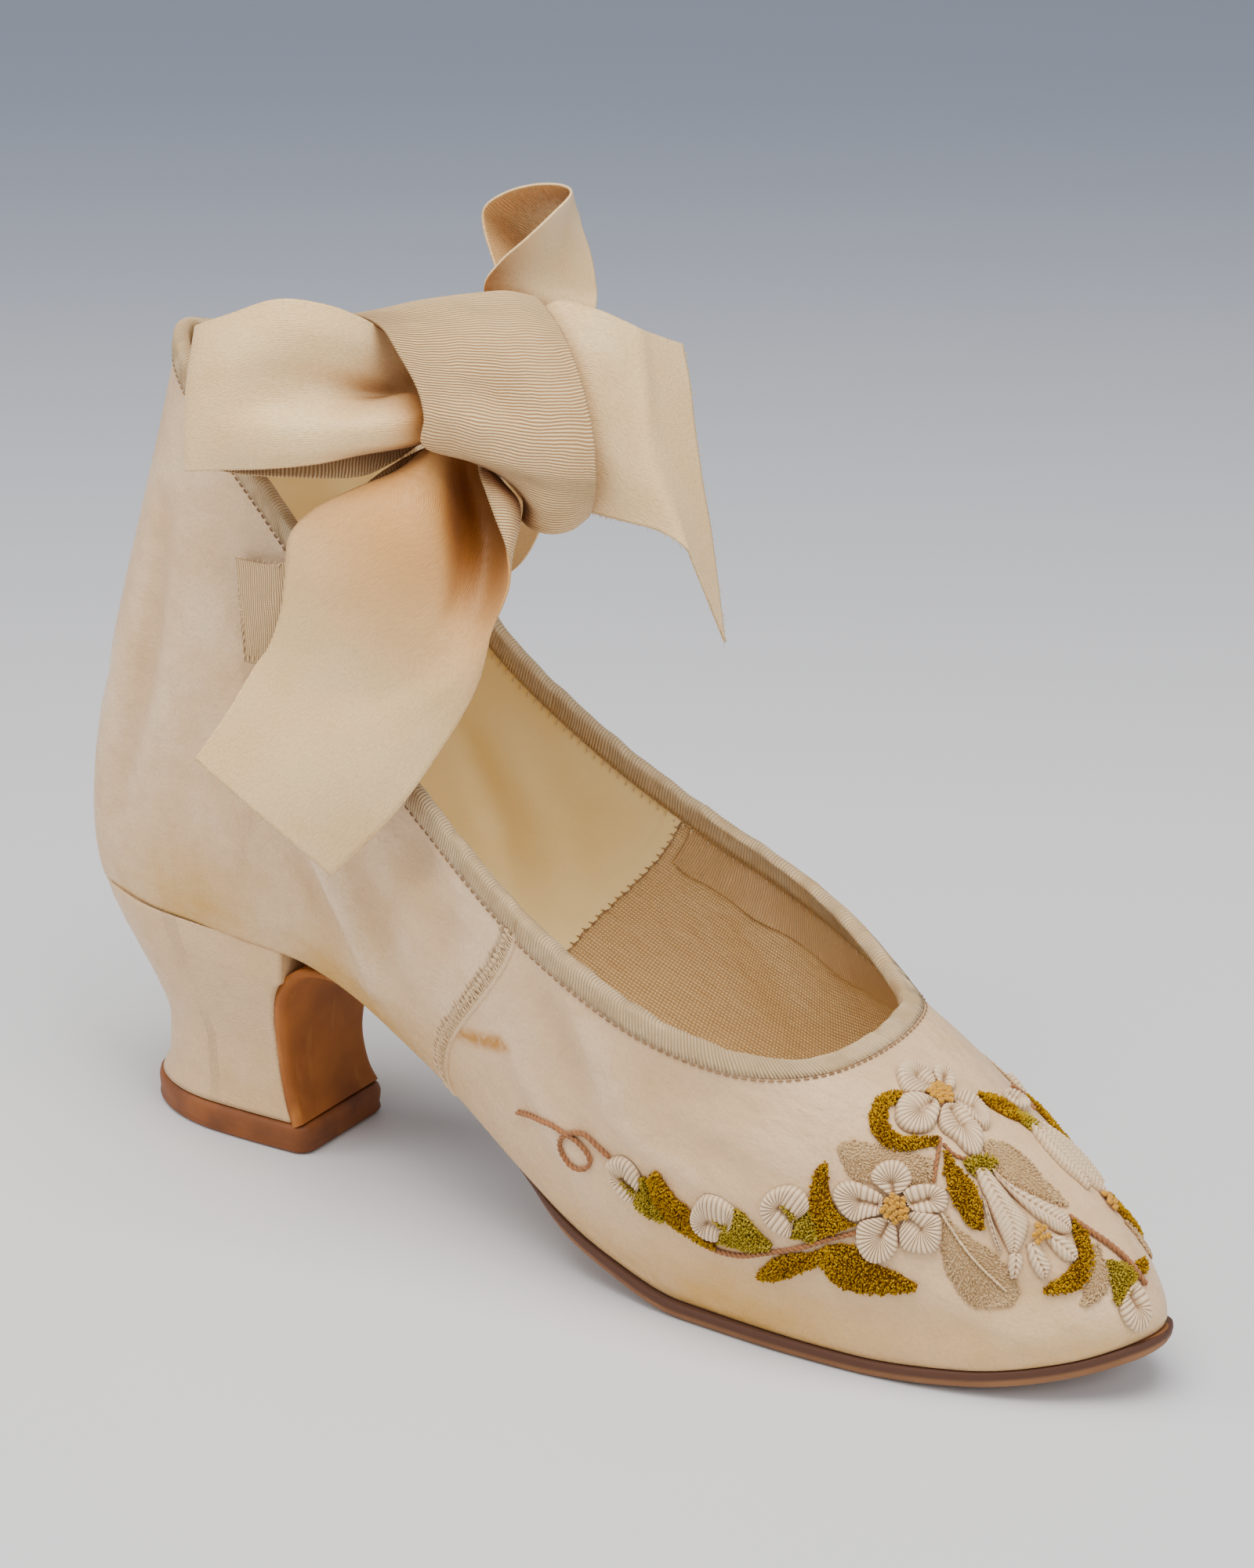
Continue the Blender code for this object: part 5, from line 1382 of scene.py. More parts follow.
def petal_look():
    look = Look("petal_ribbon_ribbed", roughness=0.5, sheen_weight=0.2, sheen_roughness=0.5)
    shade = look.ramp(look.attribute("shade"), 0.0, 1.0)
    # Painted shade in the hollows round the petals
    colour = look.layers(PETAL_SHADE, (shade, PETAL), (look.hollow(PETAL_HOLLOW), PETAL_PAINTED_FOLD_SHADE))
    return look.finish(colour, (look.grain(2500.0, 2.0), 0.05))


def thread_look(name, colour, dark):
    look = Look(name, roughness=0.7, sheen_weight=0.2)
    return look.finish(look.layers(colour, (look.cloud(1500.0, 2.0, 0.35, 0.65), dark)))


vamp_satin = satin_look("vamp_satin", 1)
quarter_satin = satin_look("quarter_satin", 0, IVORY_PALE)
heel_satin = satin_look("heel_satin_cover", 1, IVORY, HEEL_PUCKER)
kid = kid_look()
linen = linen_look()
ribbon_satin = ribbon_satin_look()
ribbon_ribbed = grosgrain_look("ribbon_ribbed", RIBBON_PEACH, RIBBON_RIB_GROOVE, RIBBON_HOLLOW, 0.6)
# A brighter copy of the ribbed face for the inside of the upright loop: painted glow of light in the loop
ribbon_glow = grosgrain_look("ribbon_ribbed_lit", RIBBON_GLOW, RIBBON_GLOW_GROOVE, None, 0.55)
binding_ribbed = grosgrain_look("binding_ribbed", BINDING_CREAM, BINDING_GROOVE, TRIM_HOLLOW)
tape_ribbed = grosgrain_look("facing_tape", TAPE, TAPE_GROOVE, TRIM_HOLLOW, 0.5)
breast_leather = tan_leather_look()
sole_leather = sole_look()
lift_leather = lift_look()
olive_pile = pile_look("olive_pile", OLIVE_DARK, OLIVE, OLIVE_BRIGHT)
calyx_pile = pile_look("calyx_pile", CALYX_DARK, CALYX, CALYX_BRIGHT)
beige_pile = pile_look("beige_pile", BEIGE_DARK, BEIGE, BEIGE_PALE)
petal_ribbed = petal_look()
brown_thread = thread_look("brown_thread", THREAD_BROWN, (0.20, 0.10, 0.035))
pale_thread = thread_look("pale_thread", THREAD_PALE, (0.58, 0.40, 0.21))
stem_thread = thread_look("stem_thread", STEM_BROWN, (0.26, 0.10, 0.03))
stamen_thread = thread_look("stamen_thread", KNOT_YELLOW, (0.50, 0.25, 0.015))


def ring_rows(per_row, seam_gap):
    """Row numbers round the shoe, with pairs of columns at the side seams."""
    rows = np.arange(0, RING_ROWS, 1.0 / per_row)
    keep = np.ones(len(rows), bool)
    for seam in (SEAM_ROW, RING_ROWS - SEAM_ROW):
        keep &= np.abs(rows - seam) > 0.5 / per_row
    seams = [SEAM_ROW - seam_gap, SEAM_ROW + seam_gap]
    seams += [RING_ROWS - seam for seam in seams]
    return np.sort(np.concatenate([rows[keep], seams]))


def make_upper():
    """The satin shell, with the linings as the materials of its inner face."""
    rows = ring_rows(UPPER_COLUMNS, UPPER_SEAM_GAP)
    heights = np.linspace(0.0, 1.0, UPPER_STEPS)
    outside, normals = satin_face(rows, heights)
    tucked = outside[:, :1] - normals[:, :1] * FOOT_TUCK - np.array([0.0, 0.0, GAP + FOOT_DROP])
    outside = np.concatenate([tucked, outside], axis=1)
    face, face_normals = satin_face(rows, np.linspace(0.0, 1.0, LINING_STEPS))
    inside = face - face_normals * UPPER_WALL
    length = flat_map(outside)[..., 1]
    from_toe = np.minimum(rows, RING_ROWS - rows)[:, None]
    # Yellowing is cut back near the toe tip as a painted highlight
    reach = AGE_REACH - AGE_TOE_LOSS * np.exp(-((from_toe / AGE_TOE_ROWS) ** 2))
    age = np.minimum(1.0, AGE_GAIN * np.exp(-((length / reach) ** AGE_FALL)) + AGE_ALL_OVER)
    age = age * (1.0 - TOE_PAINTED_HIGHLIGHT * np.exp(-((from_toe / TOE_PAINTED_HIGHLIGHT_ROWS) ** 2)))
    age = age * (1.0 - AGE_WAVER + AGE_WAVER * np.sin(rows * AGE_WAVES)[:, None])
    gap, along = distance_to_line(outside, smooth_line(STAIN))
    paler = 1.0 - STAIN_FADE + STAIN_FADE * fade(*STAIN_FADE_FROM, along)
    stain = np.minimum(1.0, STAIN_GAIN * np.exp(-((gap / STAIN_WIDTH) ** 2)) * paler)
    stain = np.where(np.abs(rows - SEAM_ROW)[:, None] < STAIN_ROWS, stain, 0.0)
    # Ridges and troughs scaled to -1..1, for the satin's painted highlight and painted shade
    crease = np.clip(crease_lift(outside) / CREASE_LIGHT_AND_SHADE_DEPTH, -1.0, 1.0)
    turned = np.concatenate([rows, [RING_ROWS]])
    middle = 0.5 * (turned[1:] + turned[:-1])
    lined = (middle < LINING_SEAM_ROW) | (middle > RING_ROWS - LINING_SEAM_ROW)
    count = len(rows)
    steps = outside.shape[1]
    mesh = Mesh()
    mesh.add(
        outside,
        grid(count, steps, closed_a=True, flip=True),
        np.repeat(np.where(on_vamp(middle), 0, 1), steps - 1),
        flat_map(outside),
        (0, girth(outside)),
        age=age,
        stain=stain,
        crease=crease,
    )
    mesh.add(
        inside,
        grid(count, LINING_STEPS, closed_a=True),
        np.repeat(np.where(lined, 3, 2), LINING_STEPS - 1),
        flat_map(inside),
        (0, girth(inside)),
        age=0.0,
        stain=0.0,
    )
    foot = np.arange(count) * steps
    inner_foot = count * steps + np.arange(count) * LINING_STEPS
    for first, second in ((inner_foot + LINING_STEPS - 1, foot + steps - 1), (foot, inner_foot)):
        mesh.join(np.stack([first, np.roll(first, -1), np.roll(second, -1), second], -1), 1)
    mesh.make("satin_upper", [vamp_satin, quarter_satin, kid, linen], "upper_satin", "upper")


class Skin:
    """Finds places on the satin's outer face, so that embroidery sits on it."""

    def __init__(self):
        rows = np.arange(-SEAM_ROW - 1.0, SEAM_ROW + 1.0, 0.08)
        heights = np.linspace(0.0, 1.0, UPPER_STEPS)
        face, _ = satin_face(rows, heights)
        faces = grid(len(rows), len(heights), flip=True)
        self.tree = BVHTree.FromPolygons(face.reshape(-1, 3).tolist(), faces.tolist())

    def lay(self, points, lift):
        """The points dropped onto the satin and lifted off it."""
        points = np.asarray(points, float)
        lift = np.broadcast_to(np.asarray(lift, float), points.shape[:-1])
        flat = points.reshape(-1, 3)
        found = np.empty_like(flat)
        out = np.empty_like(flat)
        for index, point in enumerate(flat):
            place, normal, _, _ = self.tree.find_nearest(Vector(point))
            found[index] = place
            out[index] = normal
        laid = found + out * lift.reshape(-1, 1)
        return laid.reshape(points.shape), out.reshape(points.shape)


skin = Skin()


def overlay_frame(row, height, to_row, to_height):
    """Start and end just off the satin, the direction across, and the outward direction."""
    start, end = places([(row, height), (to_row, to_height)])
    middle = (0.5 * (row + to_row), 0.5 * (height + to_height))
    normal = upper_normals([middle[0]], [middle[1]])[0, 0]
    across = unit(np.cross(normal, end - start))
    reach = normal * OVERLAY_REACH
    return start + reach, end + reach, across, normal


def tube(mesh, line, radius, sides=6, slot=0, **extra):
    """A round thread along a line of points, closed at its ends."""
    line = np.asarray(line, float)
    first, second = cross_pair(unit(np.gradient(line, axis=0)))
    turn = 2 * np.pi * np.arange(sides) / sides
    radius = np.broadcast_to(np.asarray(radius, float), (len(line),))
    rings = line[:, None] + swing(turn, first[:, None], second[:, None]) * radius[:, None, None]
    start = np.arange(mesh.count, mesh.count + sides)
    mesh.add(rings, grid(len(line), sides, closed_b=True, flip=True), slot, **extra)
    mesh.join(np.stack([start[::-1], start + (len(line) - 1) * sides]), slot)


def stitches(mesh, starts, ends, radius, out, slot=0):
    """Short threads from starts to ends, arched along the outward directions."""
    t = np.linspace(0.0, 1.0, len(STITCH_TAPER))
    arch = (radius * STITCH_ARCH * np.sin(np.pi * t))[:, None]
    for start, end, normal in zip(starts, ends, out):
        line = start + (end - start) * t[:, None] + normal * arch
        tube(mesh, line, radius * np.array(STITCH_TAPER), STITCH_SIDES, slot)


def rope(mesh, line, radius, pitch, slot=0):
    """Two strands twisted round a line."""
    length = run_lengths(line)
    at = np.arange(0.0, length[-1], ROPE_STEP)
    line = np.stack([np.interp(at, length, line[:, k]) for k in range(3)], -1)
    first, second = cross_pair(unit(np.gradient(line, axis=0)))
    ends = np.minimum(1.0, np.minimum(at, at[-1] - at) / ROPE_TAPER + ROPE_END)
    for phase in (0.0, np.pi):
        offset = swing(2 * np.pi * at / pitch + phase, first, second)
        strand = line + offset * (STRAND_OFFSET * radius * ends)[:, None]
        tube(mesh, strand, STRAND_RADIUS * radius * ends, slot=slot)


def make_binding():
    """Ribbed ribbon folded over the rim, with its ribs as geometry."""
    coarse = np.linspace(0.0, RING_ROWS, RIM_POINTS)
    length = run_lengths(upper_surface(coarse, [1.0])[:, 0])
    count = BINDING_PER_RIB * int(round(length[-1] / RIB_PITCH))
    at = np.arange(count) * length[-1] / count
    rows = np.interp(at, length, coarse)
    edge = binding_edge(rows)
    heights = edge[:, None] + (1.0 - edge[:, None]) * np.array([0.0, 0.33, 0.66, 1.0])
    face = upper_surface(rows, heights)
    normals = upper_normals(rows, heights)
    over = unit(face[:, 3] - face[:, 2])
    wound = 2 * np.pi * at
    pinch = BINDING_PINCH + BINDING_PINCH_WAVE * np.sin(wound / BINDING_PINCH_PITCH)
    step = np.where(on_vamp(rows), VAMP_STEP, 0.0)
    rib = BINDING_RIB * np.cos(2 * np.pi * np.arange(count) / BINDING_PER_RIB)
    wave = sum(lift * np.sin(wound / pitch + phase) for lift, pitch, phase in BINDING_WAVES)
    ring = []
    for index, lift in BINDING_LIFTS:
        out = lift + step + (rib if lift > BINDING_SEWN else 0.0) - (pinch if index == 0 else 0.0)
        ring.append(face[:, index] + normals[:, index] * out[:, None])
    half = 0.5 * UPPER_WALL
    for turn in np.linspace(*BINDING_TURN) * np.pi:
        out = -half + (half + BINDING_LIFTS[-1][1] + rib + step) * np.cos(turn)
        up = (BINDING_CROWN + rib + wave) * np.sin(turn)
        ring.append(face[:, 3] + normals[:, 3] * out[:, None] + over * up[:, None])
    for index, lift in reversed(BINDING_LIFTS):
        out = -UPPER_WALL - lift - (rib if lift > BINDING_SEWN else np.zeros(count))
        ring.append(face[:, index] + normals[:, index] * out[:, None])
    rings = np.stack(ring, axis=1)
    flat = flat_map(rings)
    flat[..., 0] = at[:, None]
    mesh = Mesh()
    faces = grid(count, rings.shape[1], closed_a=True, closed_b=True, flip=True)
    mesh.add(rings, faces, 0, flat, (0, length[-1]))
    mesh.make("ribbed_binding", [binding_ribbed], "binding_ribbon", "collar_binding")


def collar_path(offset, spacing):
    """Rows spaced evenly along the binding's edge, and heights that lie offset below the edge."""
    coarse = np.linspace(0.0, RING_ROWS, RIM_POINTS)
    length = run_lengths(upper_surface(coarse, binding_edge(coarse)[:, None])[:, 0])
    rows = np.interp(np.arange(0.0, length[-1], spacing), length, coarse)
    heights = binding_edge(rows)
    return rows, heights - offset / BINDING_DEPTH * (1.0 - heights)


def make_stitching():
    """The machine stitches under the binding, and the overcast stitches inside it."""
    mesh = Mesh()
    face, normals = satin_line(*collar_path(MACHINE_OFFSET, MACHINE_SPACING))
    lift = normals * MACHINE_LIFT
    ahead = face + (np.roll(face, -1, axis=0) - face) * MACHINE_SHARE
    stitches(mesh, face + lift, ahead + lift, COLLAR_THREAD, normals, 0)
    inward = UPPER_WALL + OVERCAST_LIFT
    top, normals = satin_line(*collar_path(OVERCAST_TOP, OVERCAST_SPACING))
    low, _ = satin_line(*collar_path(OVERCAST_LOW, OVERCAST_SPACING))
    stitches(mesh, top - normals * inward, low - normals * inward, COLLAR_THREAD, -normals, 1)
    line, normals = satin_line(*collar_path(OVERCAST_RUN, OVERCAST_SPACING))
    line = line - normals * inward
    stitches(mesh, line, np.roll(line, -1, axis=0), OVERCAST_THREAD, -normals, 1)
    mesh.make("collar_stitches", [brown_thread, pale_thread], "binding_ribbon")


def make_side_seams():
    """The turned edge of each quarter over the vamp, puckered by its zigzag stitches."""
    cloth = Mesh()
    thread = Mesh()
    across = np.concatenate([np.linspace(*SEAM_FOLD_ACROSS), np.linspace(*SEAM_FLAT_ACROSS)])
    rng = np.random.default_rng(SEAM_SEED)
    heights = np.linspace(*SEAM_HEIGHTS)
    first, second, edge = np.searchsorted(across, SEAM_STITCH_LINES)
    for side in (1.0, -1.0):
        length, per_row = wall_column(side * SEAM_ROW, heights)
        pleat = np.sin(2 * np.pi * length / ZIGZAG_PITCH + 0.8 * np.sin(length * 0.9))
        strip = []
        outs = []
        for d in across:
            points, out = satin_line(side * (SEAM_ROW + d / per_row), heights)
            fold = SEAM_FOLD * np.sqrt(max(0.0, 1.0 - (d / SEAM_FOLD_WIDTH) ** 2))
            pulled = np.exp(-(((d - PUCKER_MIDDLE) / PUCKER_WIDTH) ** 2))
            pucker = pulled * (PUCKER_LIFT + PUCKER_WAVE * pleat)
            spread = np.clip((SEAM_REACH - d) / SEAM_SPREAD, 0.0, 1.0) * (d > SEAM_FLAT_ACROSS[0])
            ripple = spread * (RIPPLE_LIFT + RIPPLE_WAVE * pleat)
            base = SEAM_LIFT if SEAM_PROUD[0] < d < SEAM_PROUD[1] else SEAM_SINK
            strip.append(points + out * (base + fold + pucker + ripple)[:, None])
            outs.append(out)
        strip = np.array(strip)
        faces = grid(len(across), len(heights), flip=side > 0)
        cloth.add(strip, faces, 0, flat_map(strip), age=SEAM_AGE, stain=0.0)
        marks = marks_along(length, 0.8, 1.0, ZIGZAG_PITCH)
        later = np.searchsorted(length, length[marks] + ZIGZAG_OUT)
        back = np.searchsorted(length, np.minimum(length[marks] + ZIGZAG_BACK, length[-1]))
        out = outs[first][marks]
        stitches(thread, strip[first][marks], strip[second][later], ZIGZAG_THREAD, out)
        stitches(thread, strip[second][later], strip[first][back - 1], ZIGZAG_THREAD, out)
        marks = marks_along(length, 0.5, 1.0, SEAM_OVERCAST_PITCH)
        shift = np.clip(marks + rng.integers(-2, 5, len(marks)), 0, len(heights) - 1)
        ends = strip[first + rng.integers(0, 3, len(marks)), shift]
        stitches(thread, strip[edge][marks], ends, SEAM_OVERCAST_THREAD, outs[edge][marks])
        marks = marks_along(length, 0.7, 1.0, SEAM_HAIR_PITCH)
        reach = second + rng.integers(1, 5, len(marks))
        out = outs[second][marks]
        starts = strip[second - 1][marks] + out * 0.05
        stitches(thread, starts, strip[reach, marks] + out * 0.03, SEAM_HAIR_THREAD, out, 1)
    cloth.make("side_seams", [quarter_satin], "upper_satin")
    thread.make("seam_stitches", [pale_thread, brown_thread], "upper_satin")


def make_lining_trim():
    """The tape round the inside of the throat, and the kid lining's edge with its stitches."""
    cloth = Mesh()
    thread = Mesh()
    rows = np.linspace(TAPE_END - LINING_SEAM_ROW, LINING_SEAM_ROW - TAPE_END, TAPE_POINTS)
    length = run_lengths(upper_surface(rows, [1.0])[:, 0])
    per_mm = (1.0 - binding_edge(rows)) / BINDING_DEPTH
    ripple = np.sin(2 * np.pi * length / TAPE_WAVE_PITCH + 0.5 * np.sin(length * 0.11))
    tape = []
    for down in np.linspace(*TAPE_DOWN):
        wave = TAPE_WAVE * (down - TAPE_DOWN[0]) * ripple
        face, normals = satin_line(rows, 1.0 - per_mm * (down + TAPE_WAVE_SHARE * wave))
        inside = UPPER_WALL + TAPE_LIFT + TAPE_WAVE_SHARE * np.clip(wave, 0.0, 1.0)
        tape.append(face - normals * inside[:, None])
    tape = np.array(tape).swapaxes(0, 1)
    cloth.add(tape, grid(*tape.shape[:2], flip=True), 0, flat_map(tape))
    heights = np.linspace(*KID_HEIGHTS)
    for side in (1.0, -1.0):
        climb, per_row = wall_column(side * LINING_SEAM_ROW, heights)
        tooth = 0.5 + 0.5 * np.sin(climb * 1.7) * np.sin(climb * 0.45)
        strip = []
        for part in np.linspace(0.0, 1.0, KID_EDGE_STEPS):
            d = -KID_LAP - KID_TOOTH * tooth + part * (KID_STRIP + KID_TOOTH * tooth)
            face, normals = satin_line(side * (LINING_SEAM_ROW + d / per_row), heights)
            lift = KID_LIFT if part < 1.0 else -KID_SINK
            strip.append(face - normals * (UPPER_WALL + lift))
        strip = np.array(strip)
        cloth.add(strip, grid(*strip.shape[:2], flip=side < 0), 1, flat_map(strip))
        marks = marks_along(climb, 1.0, 1.5, KID_STITCH_PITCH)
        out = -upper_normals([side * LINING_SEAM_ROW], heights[marks])[0]
        inward = strip[1][marks] - strip[0][marks]
        inner_end = strip[0][marks] + 0.8 * inward
        outer_end = strip[0][marks + 2] - 0.5 * inward
        stitches(thread, inner_end + out * 0.1, outer_end, KID_THREAD, out)
        run = marks_along(climb, 0.6, 2.2, KID_STITCH_PITCH)
        ahead = np.searchsorted(climb, climb[run] + KID_RUN_LENGTH)
        out = -upper_normals([side * LINING_SEAM_ROW], heights[run])[0]
        stitches(thread, strip[0][run] - out * 0.05, strip[0][ahead] - out * 0.05, KID_THREAD, out)
    cloth.make("lining_trim", [tape_ribbed, kid], "sock_leather")
    thread.make("lining_stitches", [brown_thread], "sock_leather")


def blunt(x):
    """A round outline's share along an axis, drawn towards a square's."""
    return np.sign(x) * np.abs(x) ** PATCH_BLUNTNESS


def make_ribbon_ends():
    """The rounded ribbon ends sewn inside the wings, overcast with brown thread."""
    row, height, half_length, half_width = RIBBON_PATCH
    part, turn = np.meshgrid(
        np.linspace(0.0, 1.0, PATCH_RINGS), 2 * np.pi * np.arange(PATCH_TURNS) / PATCH_TURNS, indexing="ij"
    )
    along = part * half_length * blunt(np.cos(turn))
    upward = part * half_width * blunt(np.sin(turn))
    inner = part < 1.0
    lift = np.where(inner, PATCH_LIFT + PATCH_RIPPLE * np.sin(upward * 0.9), PATCH_EDGE_LIFT)[..., None]
    for side, name in ((1.0, "right"), (-1.0, "left")):
        centre = places([(side * row, height)])[0]
        normal = upper_normals([side * row], [height])[0, 0]
        up = unit(places([(side * row, height + 0.02)])[0] - centre)
        across = np.cross(up, normal)
        wall = np.arange(row - PATCH_ROWS[0], row + PATCH_ROWS[1], 0.1) * side
        face, normals = satin_face(wall, np.linspace(0.3, 1.0, 60))
        lining = face - normals * UPPER_WALL
        faces = grid(*lining.shape[:2], flip=side > 0)
        tree = BVHTree.FromPolygons(lining.reshape(-1, 3).tolist(), faces.tolist())
        aim = centre - normal * UPPER_WALL + across * along[..., None] + up * upward[..., None]
        found = [tree.find_nearest(Vector(place))[0] for place in aim.reshape(-1, 3)]
        points = np.array(found).reshape(aim.shape) - normal * lift
        patch = Mesh()
        faces = grid(PATCH_RINGS, PATCH_TURNS, closed_b=True, flip=True)
        patch.add(points, faces, 0, np.stack([upward, along], -1))
        patch.make("ribbon_end_cloth_" + name, [ribbon_ribbed], "bow_ribbon", "ribbon_end_" + name)
        thread = Mesh()
        ends = points[-1, ::2] - normal * 0.1
        stitches(thread, points[-3, ::2], ends, PATCH_THREAD, np.broadcast_to(-normal, ends.shape))
        thread.make("ribbon_end_stitches_" + name, [brown_thread], "bow_ribbon")


def make_tie_stitches():
    """Overcast stitches round the end of each tie on its wing."""
    thread = Mesh()
    for edges in TIES.values():
        (top, low), (far_top, far_low) = np.array(edges[:2], float)
        run = np.concatenate([
            np.linspace(far_top, top, TIE_SIDE_STITCHES),
            np.linspace(top, low, TIE_END_STITCHES)[1:],
            np.linspace(low, far_low, TIE_SIDE_STITCHES)[1:],
        ])
        middle = run.mean(axis=0)
        out = np.array([0.0, np.sign(middle[1]), 0.0])
        inward = unit(middle - run)
        inward = inward - out * (inward @ out)[:, None]
        starts = run + inward * 1.3 + out * 0.25
        ends = run - inward * 0.4 - out * 0.1
        stitches(thread, starts, ends, TIE_THREAD, np.broadcast_to(out, run.shape))
    thread.make("tie_stitches", [pale_thread], "bow_ribbon")


def make_sole():
    toe = SOLE_OUTLINE[-1][0]
    root = np.linspace(SOLE_TIP, np.sqrt(toe - BREAST_STATION), SOLE_STEPS)
    stations = toe - root**2
    by_root = [(np.sqrt(toe - station), half) for station, half in SOLE_OUTLINE[-2::-1]]
    half = monotone([(0.0, 0.0)] + by_root, root)
    slope = np.gradient(half, stations)
    sideways = 1.0 / np.sqrt(1.0 + slope**2)
    forward = -slope * sideways
    waist = 1.0 - fade(*WAIST_STATIONS, stations)
    ring = []
    edge = []
    for side in (-1.0, 1.0):
        points = []
        marks = []
        for row in SOLE_EDGE:
            tuck = row.tuck + (row.waist_tuck - row.tuck) * waist
            lift = row.lift + (row.waist_lift - row.lift) * waist
            x = stations - tuck * forward
            y = side * np.maximum(half - tuck * sideways, 0.0) * (1.0 - row.share)
            points.append(np.stack([x, y, monotone(UNDERSIDE, x) + SOLE_THICKNESS * lift], -1))
            marks.append(row.lift if row.share == 0.0 else 0.0)
        ring += points if side < 0 else points[::-1][1:-1]
        edge += marks if side < 0 else marks[::-1][1:-1]
    rings = np.stack(ring, axis=1)
    mesh = Mesh()
    count = rings.shape[1]
    faces = grid(len(stations), count, closed_b=True, flip=True)
    mesh.add(rings, faces, edge=np.tile(edge, len(stations)))
    mesh.join([range(count)[::-1], range((len(stations) - 1) * count, len(stations) * count)])
    mesh.make("leather_sole", [sole_leather], "sole_leather", "outsole")


def make_breast():
    """The sole's leather carried down the front of the heel."""
    path = path_through(np.array(BREAST_FLAP), FLAP_STEPS)
    along = unit(np.gradient(path[:, :2], axis=0))
    inward = np.stack([along[:, 1], np.zeros(len(path)), -along[:, 0]], -1)
    front = []
    back = []
    for y in np.linspace(-1.0, 1.0, FLAP_COLUMNS):
        point = np.stack([path[:, 0], y * path[:, 2], path[:, 1]], -1)
        round_edge = FLAP_EDGE * max(0.0, (abs(y) - 0.9) / 0.1) ** 2
        front.append(point + inward * round_edge)
        back.append(point + inward * FLAP_THICKNESS)
    loop = np.array(front + back[::-1])
    mesh = Mesh()
    mesh.add(loop, grid(len(loop), len(path), closed_a=True, flip=True), 0, flat_map(loop))
    index = np.arange(len(loop) * len(path)).reshape(len(loop), len(path))
    mesh.join([index[::-1, 0], index[:, -1]])
    mesh.make("breast_flap", [breast_leather], "sole_leather")


def heel_loop(back, front, half_width, corner, taper=HEEL_FRONT_TAPER):
    """A D-shaped loop in plan: round at the back, narrower and straight at the breast."""
    half_length = 0.5 * (front - back)
    turn = np.linspace(-0.5 * np.pi, 0.5 * np.pi, HEEL_BACK_POINTS)
    loop = [np.stack([back + half_length * (1.0 - np.cos(turn)), half_width * np.sin(turn)], -1)]
    narrow = half_width * (1.0 - taper)
    t = np.linspace(0.0, 1.0, HEEL_SIDE_POINTS)[1:]
    x = back + half_length + (half_length - corner) * t
    side = np.stack([x, half_width + (narrow - half_width) * t**HEEL_SIDE_BEND], -1)
    turn = np.linspace(0.5 * np.pi, 0.0, HEEL_CORNER_POINTS)[1:]
    bend = np.array([front - corner, narrow - corner])
    bend = bend + corner * np.stack([np.cos(turn), np.sin(turn)], -1)
    loop += [side, bend]
    t = np.linspace(1.0, -1.0, HEEL_FRONT_POINTS)[1:-1]
    loop.append(np.stack([np.full(len(t), front), (narrow - corner) * t], -1))
    mirror = np.array([1.0, -1.0])
    loop += [bend[::-1] * mirror, side[::-1] * mirror]
    return np.concatenate(loop)


def closed_loft(mesh, rings, **extra):
    """Rings joined into a solid with a face over each end."""
    rings = np.asarray(rings)
    count, around = rings.shape[:2]
    period = (1, girth(rings.swapaxes(0, 1)))
    mesh.add(rings, grid(count, around, closed_b=True), 0, flat_map(rings), period, **extra)
    mesh.join([range(around), range((count - 1) * around, count * around)[::-1]])


def make_heel():
    foot = TOP_PIECE_HEIGHT + GAP
    table = np.array(HEEL_SECTIONS)
    flap = [(row[1], row[0]) for row in BREAST_FLAP[::-1]]
    rings = []
    for part in np.linspace(0.0, 1.0, HEEL_STEPS):
        back = float(monotone(table[:, [0, 1]], part))
        half_width = float(monotone(table[:, [0, 2]], part))
        plain_height = foot + part * (float(sole_top(HEEL_SEAT_FRONT)) - foot)
        front = float(monotone(flap, plain_height)) - FLAP_THICKNESS - GAP
        taper = HEEL_FRONT_TAPER + HEEL_SEAT_TAPER * fade(*HEEL_SEAT_PART, part)
        loop = heel_loop(back, front, half_width, HEEL_CORNER, taper)
        height = foot + part * (sole_top(loop[:, 0]) + GAP - foot)
        rings.append(np.column_stack([loop, height]))
    mesh = Mesh()
    closed_loft(mesh, rings, age=HEEL_AGE, stain=0.0)
    mesh.make("heel_cover", [heel_satin], "heel_satin", "heel")
    rings = []
    for lift, inset in LIFT_EDGE:
        front = TOP_PIECE_FRONT - inset
        half_width = TOP_PIECE_HALF_WIDTH - inset
        loop = heel_loop(TOP_PIECE_BACK + inset, front, half_width, LIFT_CORNER)
        rings.append(np.column_stack([loop, np.full(len(loop), lift)]))
    mesh = Mesh()
    closed_loft(mesh, rings)
    mesh.make("top_lift", [lift_leather], "lift_leather", "top_piece")


